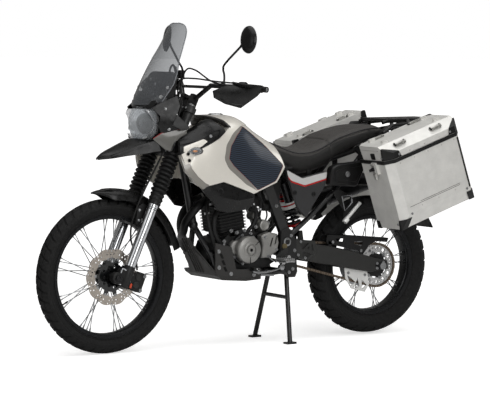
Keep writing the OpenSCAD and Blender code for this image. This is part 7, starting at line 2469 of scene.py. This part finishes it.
@dataclass
class RunningGear:
    """Faces and fittings of the frame, the swingarm with its guards, the shock and the foot pegs."""

    arm_y: tuple[float, float] = (0.092, 0.122)
    guard_y: tuple[float, float] = (0.106, 0.111)
    spring_turns: float = 7.5

    def frame_faces(self) -> None:
        """Grey faces of the side spars, the pivot plates and their bolts."""
        both(prism([(-58, 824), (-206, 482), (-162, 474), (-14, 812)], 0.1181, 0.1205, 0.0016)).piece("spar_faces",
            SATIN_GREY, "chassis", "frame_black")
        plate = [(-142, 522), (-134, 400), (-176, 322), (-190, 306), (-220, 306), (-232, 330), (-226, 404),
            (-226, 474), (-204, 520), (-180, 540)]
        both(prism(plate, 0.1242, 0.1272, 0.0015)).piece("pivot_plates", PLATE_GREY, "chassis", "frame_black")
        hub = Shape().lathe([(0.020, 0.127), (0.0195, 0.131), (0.013, 0.132), (0.012, 0.129), (0.0001, 0.129)], 32)
        plug = Shape().lathe([(0.0135, 0.126), (0.0135, 0.132), (0.012, 0.1335), (0.005, 0.1335), (0.0001, 0.132)],
            28)
        both(hub.copy_turned([Matrix.Translation(vec(-173, 0, 472))])).piece("pivot_caps", ZINC, "chassis", "steel")
        both(plug.copy_turned([Matrix.Translation(vec(-158, 0, 452))])).piece("brass_plugs", BRASS, "chassis",
            "steel")
        spots = route((-196, 127, 500), (-216, 127, 430), (-206, 127, 345), (-186, 127, 330), (-168, 121, 520),
            (-60, 121, 772), (-118, 121, 640))
        both(bolts(spots, vec(0, 1, 0), head_r=0.006, head_h=0.006)).piece("frame_bolts", ZINC, "chassis", "steel")
        lug = [tube([vec(x, y, z), vec(x, y + 9, z)], 0.013, 18, 0) for x, y,
            z in ((-196, 118, 500), (-436, 118, 690))]
        both(merged(*lug)).piece("strut_bosses", POWDER_BLACK, "chassis", "frame_black")

    def swingarm(self) -> None:
        """Deep pressed arms with a ribbed casting at the pivot, adjusters and the axle plates."""
        arm = [(-300, 462), (-340, 454), (-430, 439), (-560, 409), (-676, 373), (-753, 358), (-759, 318), (-655, 306),
            (-567, 322), (-443, 347), (-334, 367), (-286, 386)]
        beam = both(prism(arm, self.arm_y[0] + 0.0005, self.arm_y[1], 0.006))
        casting = carved(prism([(-200, 484), (-262, 476), (-330, 470), (-346, 440), (-330, 400), (-286, 380),
            (-240, 394), (-224, 420)], self.arm_y[0], 0.1262, 0.003), remove=[prism([(-246, 462), (-300, 460),
            (-262, 432)], 0.118, 0.2), prism([(-316, 456), (-322, 424), (-280, 436)], 0.118, 0.2),
            prism([(-268, 420), (-312, 410), (-286, 394), (-258, 402)], 0.118, 0.2)])
        bridge = Shape().block((0.062, 0.180, 0.056), vec(-299, 0, 441), 0.008)
        pivot = Shape().lathe([(0.026, -0.092), (0.026, 0.092)], 40).copy_turned([Matrix.Translation(vec(-173, 0,
            472))])
        horns = both(prism([(-296, 456), (-330, 456), (-322, 512), (-304, 512)], 0.023, 0.034, 0.002))
        necks = both(prism([(-158, 494), (-262, 476), (-290, 420), (-200, 440), (-152, 456)], 0.066, 0.096, 0.004))
        casts = merged(both(casting), bridge, pivot, horns, necks)
        stands_for(beam.piece("swingarm_beams", CAST_DARK, "chassis", "arm_grey", 30), "swingarm")
        casts.piece("swingarm_castings", CAST_DARK, "chassis", "arm_grey", 30)
        # Near-black strips on the arm's face paint the shade of the adjuster slots, which are not cut
        slot = both(prism([(-680, 344), (-744, 338), (-744, 328), (-680, 332)], 0.1216, 0.1226))
        slot.piece("adjuster_slot_painted_shade", SHADE_AND_JOINT_BLACK, "chassis", "black_plastic")
        block = Shape().block((0.046, 0.006, 0.034), vec(0, 125, 0), 0.003)
        both(block.copy_turned([Matrix.Translation(vec(-715, 0, 334))])).piece("axle_blocks", DARK_STEEL, "chassis",
            "steel")
        spots = [vec(-690, 123, 346), vec(-690, 123, 324), vec(-726, 123, 350), vec(-276, 127, 392),
            vec(-250, 127, 470), vec(-236, 127, 408)]
        both(bolts(spots, vec(0, 1, 0), head_r=0.0052, head_h=0.005)).piece("swingarm_bolts", ZINC, "chassis",
            "steel")
        adjusters = both(tube([vec(-757, 107, 338), vec(-776, 107, 338)], 0.005, 10, 0))
        adjusters.piece("chain_adjusters", ZINC, "chassis", "steel")

    def guards(self) -> None:
        """Slotted guard over the chain, and the bright guide that keeps its lower run."""
        low, high = self.guard_y
        plate = prism([(-405, 467), (-412, 494), (-431, 496), (-764, 464), (-755, 444), (-688, 451), (-651, 435),
            (-618, 394), (-585, 411), (-409, 452)], low, high, 0.0012)
        slots = [prism([(-460, 474), (-503, 472), (-500, 457), (-463, 462)], 0.09, 0.2),
            prism([(-562, 454), (-614, 455), (-607, 431), (-566, 442)], 0.09, 0.2)]
        top = prism([(-412, 491), (-412, 494), (-431, 496), (-764, 464), (-763, 461), (-431, 493)], 0.068, high)
        tabs = merged(prism([(-416, 440.6), (-436, 437.1), (-436, 460), (-416, 465)], low, high),
            prism([(-596, 397.2), (-616, 391), (-616, 400), (-596, 412)], low, high))
        whole = merged(carved(plate, remove=slots), top, tabs)
        made = whole.piece("slotted_guard", PLASTIC_BLACK, "chassis", "black_plastic", 30)
        guide = prism([(-520, 346), (-528, 282), (-563, 231), (-641, 210), (-665, 245), (-650, 330)], 0.086, 0.0917,
            0.001)
        holes = [prism(h, 0.07, 0.1) for h in (((-538, 298), (-588, 260), (-558, 244)),
            ((-598, 280), (-610, 240), (-576, 228)), ((-622, 270), (-652, 244), (-624, 224)))]
        carved(guide, remove=holes).piece("chain_guide", WHITE_ALLOY, "chassis", "steel", 30)
        stands_for(made, "chain_guard")
        spots = [vec(-442, 111, 458), vec(-604, 111, 410), vec(-545, 92, 306), vec(-640, 92, 292)]
        bolts(spots, vec(0, 1, 0), head_r=0.0055, head_h=0.004, sides=12).piece("guard_bolts", ZINC, "chassis",
            "steel")

    def shock(self) -> None:
        """Coil spring on its damper, with red collars and a banded sleeve."""
        top, low = vec(-224, 0, 744), vec(-313, 0, 496)
        span = (low - top).length
        place = along(top, low)
        def turned(profile: Sequence[tuple[float, float]]) -> Shape:
            """A profile of (radius, distance from the top) in millimetres about the damper."""
            return Shape().lathe([(r / 1000, y / 1000) for r, y in profile], 36).copy_turned([place])
        body = merged(turned([(14, 6), (20, 14), (20, 100), (17, 104)]), turned([(7, 98), (7, 236)]),
            turned([(12, 222), (13, 228), (13, span * 1000 - 6)]))
        eyes = both(Shape().lathe([(0.015, 0.0), (0.015, 0.0207)], 28))
        body = merged(body, eyes.copy_turned([Matrix.Translation(top)]), eyes.copy_turned([Matrix.Translation(low)]))
        stands_for(body.piece("damper", DARK_STEEL, "chassis", "steel"), "shock_absorber")
        turns, start, end = self.spring_turns, 0.068, 0.210
        coil = [place @ on_circle(0.031, a, start + (end - start) * a / (math.tau * turns))
            for a in (math.tau * turns * k / 180 for k in range(181))]
        tube(coil, 0.0052, 10, 1).piece("shock_spring", GLOSS_BLACK, "chassis", "steel", 60)
        turned([(20, 58), (36, 58), (37, 60), (37, 66), (36, 68), (20, 68)]).piece("preload_ring", RED_PAINT,
            "chassis", "steel")
        turned([(14, 210), (34, 210), (36, 212), (36, 219), (14, 220)]).piece("spring_seat", RED_PAINT, "chassis",
            "steel")
        for name, finish, a, b in (("band_white", WHITE_PAINT, 92, 132), ("band_red_upper", RED_PAINT, 82, 92),
                ("band_red_lower", RED_PAINT, 110, 117)):
            turned([(37.4 if "lower" in name else 37, a), (37.4 if "lower" in name else 37, b)]).piece(name, finish,
                "chassis", "steel")
        pot = tube([vec(-196, 62, 742), vec(-228, 62, 652)], 0.022, 28, 0)
        pot.piece("shock_reservoir", DARK_STEEL, "chassis", "steel")

    def pegs(self) -> None:
        """Toothed riders' pegs with springs and pins, the gear lever and the passengers' pegs."""
        y = 0.124
        arm = prism([(-112, 396), (-146, 396), (-170, 420), (-170, 444), (-152, 444), (-112, 414)], y + 0.0003,
            y + 0.014, 0.002)
        made = both(arm).piece("peg_brackets", CAST_DARK, "chassis", "steel", 30)
        stands_for(made, "foot_pegs")
        teeth = [prism([(-152 + 11 * k, 396), (-149 + 11 * k, 404), (-146 + 11 * k, 404), (-144 + 11 * k, 396)],
            0.146, 0.226) for k in range(5)]
        frame_bar = carved(Shape().block((0.052, 0.086, 0.012), vec(-128, 186, 391), 0.003),
            remove=[Shape().block((0.034, 0.022, 0.04), vec(-128, 164 + 26 * k, 391), 0.002) for k in range(3)])
        toes = Shape()
        for row in teeth:
            for k in range(6):
                toes.join([Vector((v.x, 0.148 + 0.014 * k + (0.006 if v.y > 0.18 else 0), v.z)) for v in row.verts],
                    row.faces)
        both(merged(frame_bar, toes)).piece("toothed_pegs", BRIGHT_CAST, "chassis", "steel", 30)
        pins = [tube([vec(-156, 140, 388), vec(-100, 140, 388)], 0.007, 14, 0),
            tube([vec(-164, 132, 402), vec(-164, 158, 402)], 0.0105, 14, 0)]
        coil = [vec(-150 + 0.9 * k / 3, 140 + 10 * math.cos(k), 378 + 9 * math.sin(k)) for k in range(60)]
        both(merged(*pins, tube(coil, 0.0018, 6, 1))).piece("peg_pins", BRIGHT_CAST, "chassis", "steel", 60)
        lever = tube(route((-140, 132, 356), (-96, 140, 346), (-49, 146, 341), (7, 150, 341), (34, 152, 354)), 0.0052,
            12, 8)
        rod_ = tube([vec(-106, 120, 384), vec(-60, 116, 420)], 0.0034, 10, 0)
        toe = tube([vec(34, 142, 358), vec(34, 178, 358)], 0.009, 16, 0)
        joint = Shape().lathe([(0.012, 0.118), (0.013, 0.122), (0.013, 0.138), (0.0001, 0.140)], 24)
        merged(lever, rod_, joint.copy_turned([Matrix.Translation(vec(-140, 0, 356))])).piece("gear_lever", ZINC,
            "chassis", "steel", 60)
        toe.piece("gear_lever_rubber", SOFT_RUBBER, "chassis", "rubber_black")
        pedal = tube(route((-150, -134, 372), (-80, -142, 352), (10, -148, 346), (44, -150, 352)), 0.006, 12, 8)
        pad = Shape().block((0.040, 0.030, 0.008), vec(50, -152, 356), 0.003)
        merged(pedal, pad).piece("brake_pedal", ZINC, "chassis", "steel", 60)
        outline = [(-424, 694), (-452, 712), (-576, 640), (-572, 600), (-508, 546), (-486, 548), (-488, 604)]
        hanger = carved(prism(outline, 0.1283, 0.134, 0.0012), remove=[prism([(-478, 668), (-524, 668), (-526, 644),
            (-494, 612)], 0.11, 0.16)])
        both(hanger).piece("passenger_hangers", CAST_BLACK, "chassis", "steel")
        edge = route((-474, 135.5, 674), (-530, 135.5, 676), (-532, 135.5, 642), (-492, 135.5, 604),
            (-474, 135.5, 674))
        both(tube(edge, 0.0022, 8, 0)).piece("hanger_edges", SATIN_ALLOY, "chassis", "steel", 60)
        bar = tube([vec(-490, 141, 560), vec(-574, 141, 640)], 0.0085, 16, 0)
        root = tube([vec(-486, 140, 552), vec(-503, 140, 568)], 0.0125, 16, 0)
        both(merged(bar, root)).piece("passenger_pegs", WHITE_ALLOY, "chassis", "steel")

    def skid(self) -> None:
        """Pressed ribs and bolts of the skid plate."""
        ribs = [tube([vec(222, y, 342), vec(300, y, 498)], 0.004, 10, 0) for y in (-30, -10, 10, 30)]
        side = [tube(route(*run), 0.0035, 8, 0) for run in (((216, 139, 338), (196, 139, 324), (60, 139, 312),
            (-14, 139, 316)), ((221, 138, 348), (221, 138, 478)), ((290, 34, 482), (276, 44, 458), (222, 136, 348)))]
        merged(*ribs, *side).piece("skid_ribs", MATT_GREY, "chassis", "skid_grey", 60)
        # Near-black marks on the skid plate paint the shade of its slots, which are not cut
        slots = [prism([(x + 12, 352 + k * 30), (x, 352 + k * 30), (x + 12, 376 + k * 30), (x + 24, 372 + k * 30)],
            0.1382, 0.1390) for k, x in enumerate((158, 168, 178))]
        merged(*slots).piece("skid_slot_painted_shade", SHADE_AND_JOINT_BLACK, "chassis", "black_plastic")
        spots = route((140, 139, 340), (16, 139, 330), (-10, 139, 340), (206, 139, 446), (204, 139, 372))
        bolts(spots, vec(0, 1, 0), head_r=0.007, head_h=0.005, sides=12).piece("skid_bolts", ZINC, "chassis", "steel")
        pipes = both(tube([vec(60, 118, 330), vec(-104, 120, 322)], 0.006, 12, 0))
        pipes.piece("under_rails", ZINC, "chassis", "steel")

    def tail(self) -> None:
        """The plate's bolts and lamp details."""
        spots = [vec(-1033, y, 880 - 60 * k) for k in range(2) for y in (-60, 60)]
        bolts(spots, vec(-1, 0, 0.3), head_r=0.006, head_h=0.004).piece("plate_bolts", ZINC, "chassis", "steel")
        lines = [Shape().block((0.003, 0.112, 0.002), vec(-1030 + k * 0.8, 0, 918 + 7 * k), 0.0004) for k in range(4)]
        merged(*lines).piece("lens_lines", DULL_RED, "chassis", "red_lens")

    def build(self) -> None:
        """Builds all of it."""
        self.frame_faces()
        self.swingarm()
        self.guards()
        self.shock()
        self.pegs()
        self.skid()
        self.tail()


# The intake takes SHADOW_CASTING, near-black painted shadow
FINISH_OF = {"frame": POWDER_BLACK, "crankcase": CAST_BLACK, "engine_top": CAST_BLACK, "intake": SHADOW_CASTING,
    "engine_covers": CAST_GREY, "exhaust_pipes": HEAT_BLACK, "muffler": HEAT_BLACK, "skid_plate": MATT_GREY,
    "swingarm": CAST_DARK, "shock_absorber": ZINC, "rear_axle": ZINC, "chain_guard": PLASTIC_BLACK, "foot_pegs": ZINC,
    "rear_fender": PLASTIC_BLACK, "tail_lights": RED_LENS, "luggage_rack": POWDER_BLACK, "case_rails": POWDER_BLACK,
    "left_case": CASE_SKIN, "right_case": CASE_SKIN, "fork_clamps": SATIN_GREY, "fork_sliders": POLISHED,
    "fork_gaiters": SOFT_RUBBER, "front_axle": DARK_STEEL, "front_fender": PLASTIC_SATIN, "front_caliper": CAST_BLACK,
    "front_brake_hose": SOFT_RUBBER, "handlebar": POWDER_BLACK, "hand_controls": SOFT_RUBBER,
    "rear_brake_disc": STEEL, "centre_stand": POWDER_BLACK, "left_case_lid": CASE_SKIN, "right_case_lid": CASE_SKIN,}


def main() -> None:
    """Builds everything in order."""
    logging.basicConfig(level=logging.INFO)
    Studio().build()
    for node, finish in FINISH_OF.items():
        dress(node, finish)
    front = Wheel("front", "front_wheel", AT.front_axle, tyre_r=0.3475, tyre_w=0.090, bead_r=0.2667, bead_y=0.027,
        hub_r=0.042, barrel_r=0.026, flange_y=0.030, ends=(-0.044, 0.044), pitches=44)
    rear = Wheel("rear", "rear_wheel", AT.rear_axle, tyre_r=0.328, tyre_w=0.124, bead_r=0.2286, bead_y=0.038,
        hub_r=0.050, barrel_r=0.032, flange_y=0.036, ends=(-0.062, 0.066), pitches=36, depth=0.009, rim_depth=0.013)
    for part in (front, rear, FrontDisc(), ChainDrive(), Bodywork(), Seat(), FrontEnd(), Bars(), Cases(), Carrier(),
            Fork(), Engine(), RunningGear()):
        part.build()
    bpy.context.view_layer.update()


if __name__ == "__main__":
    main()
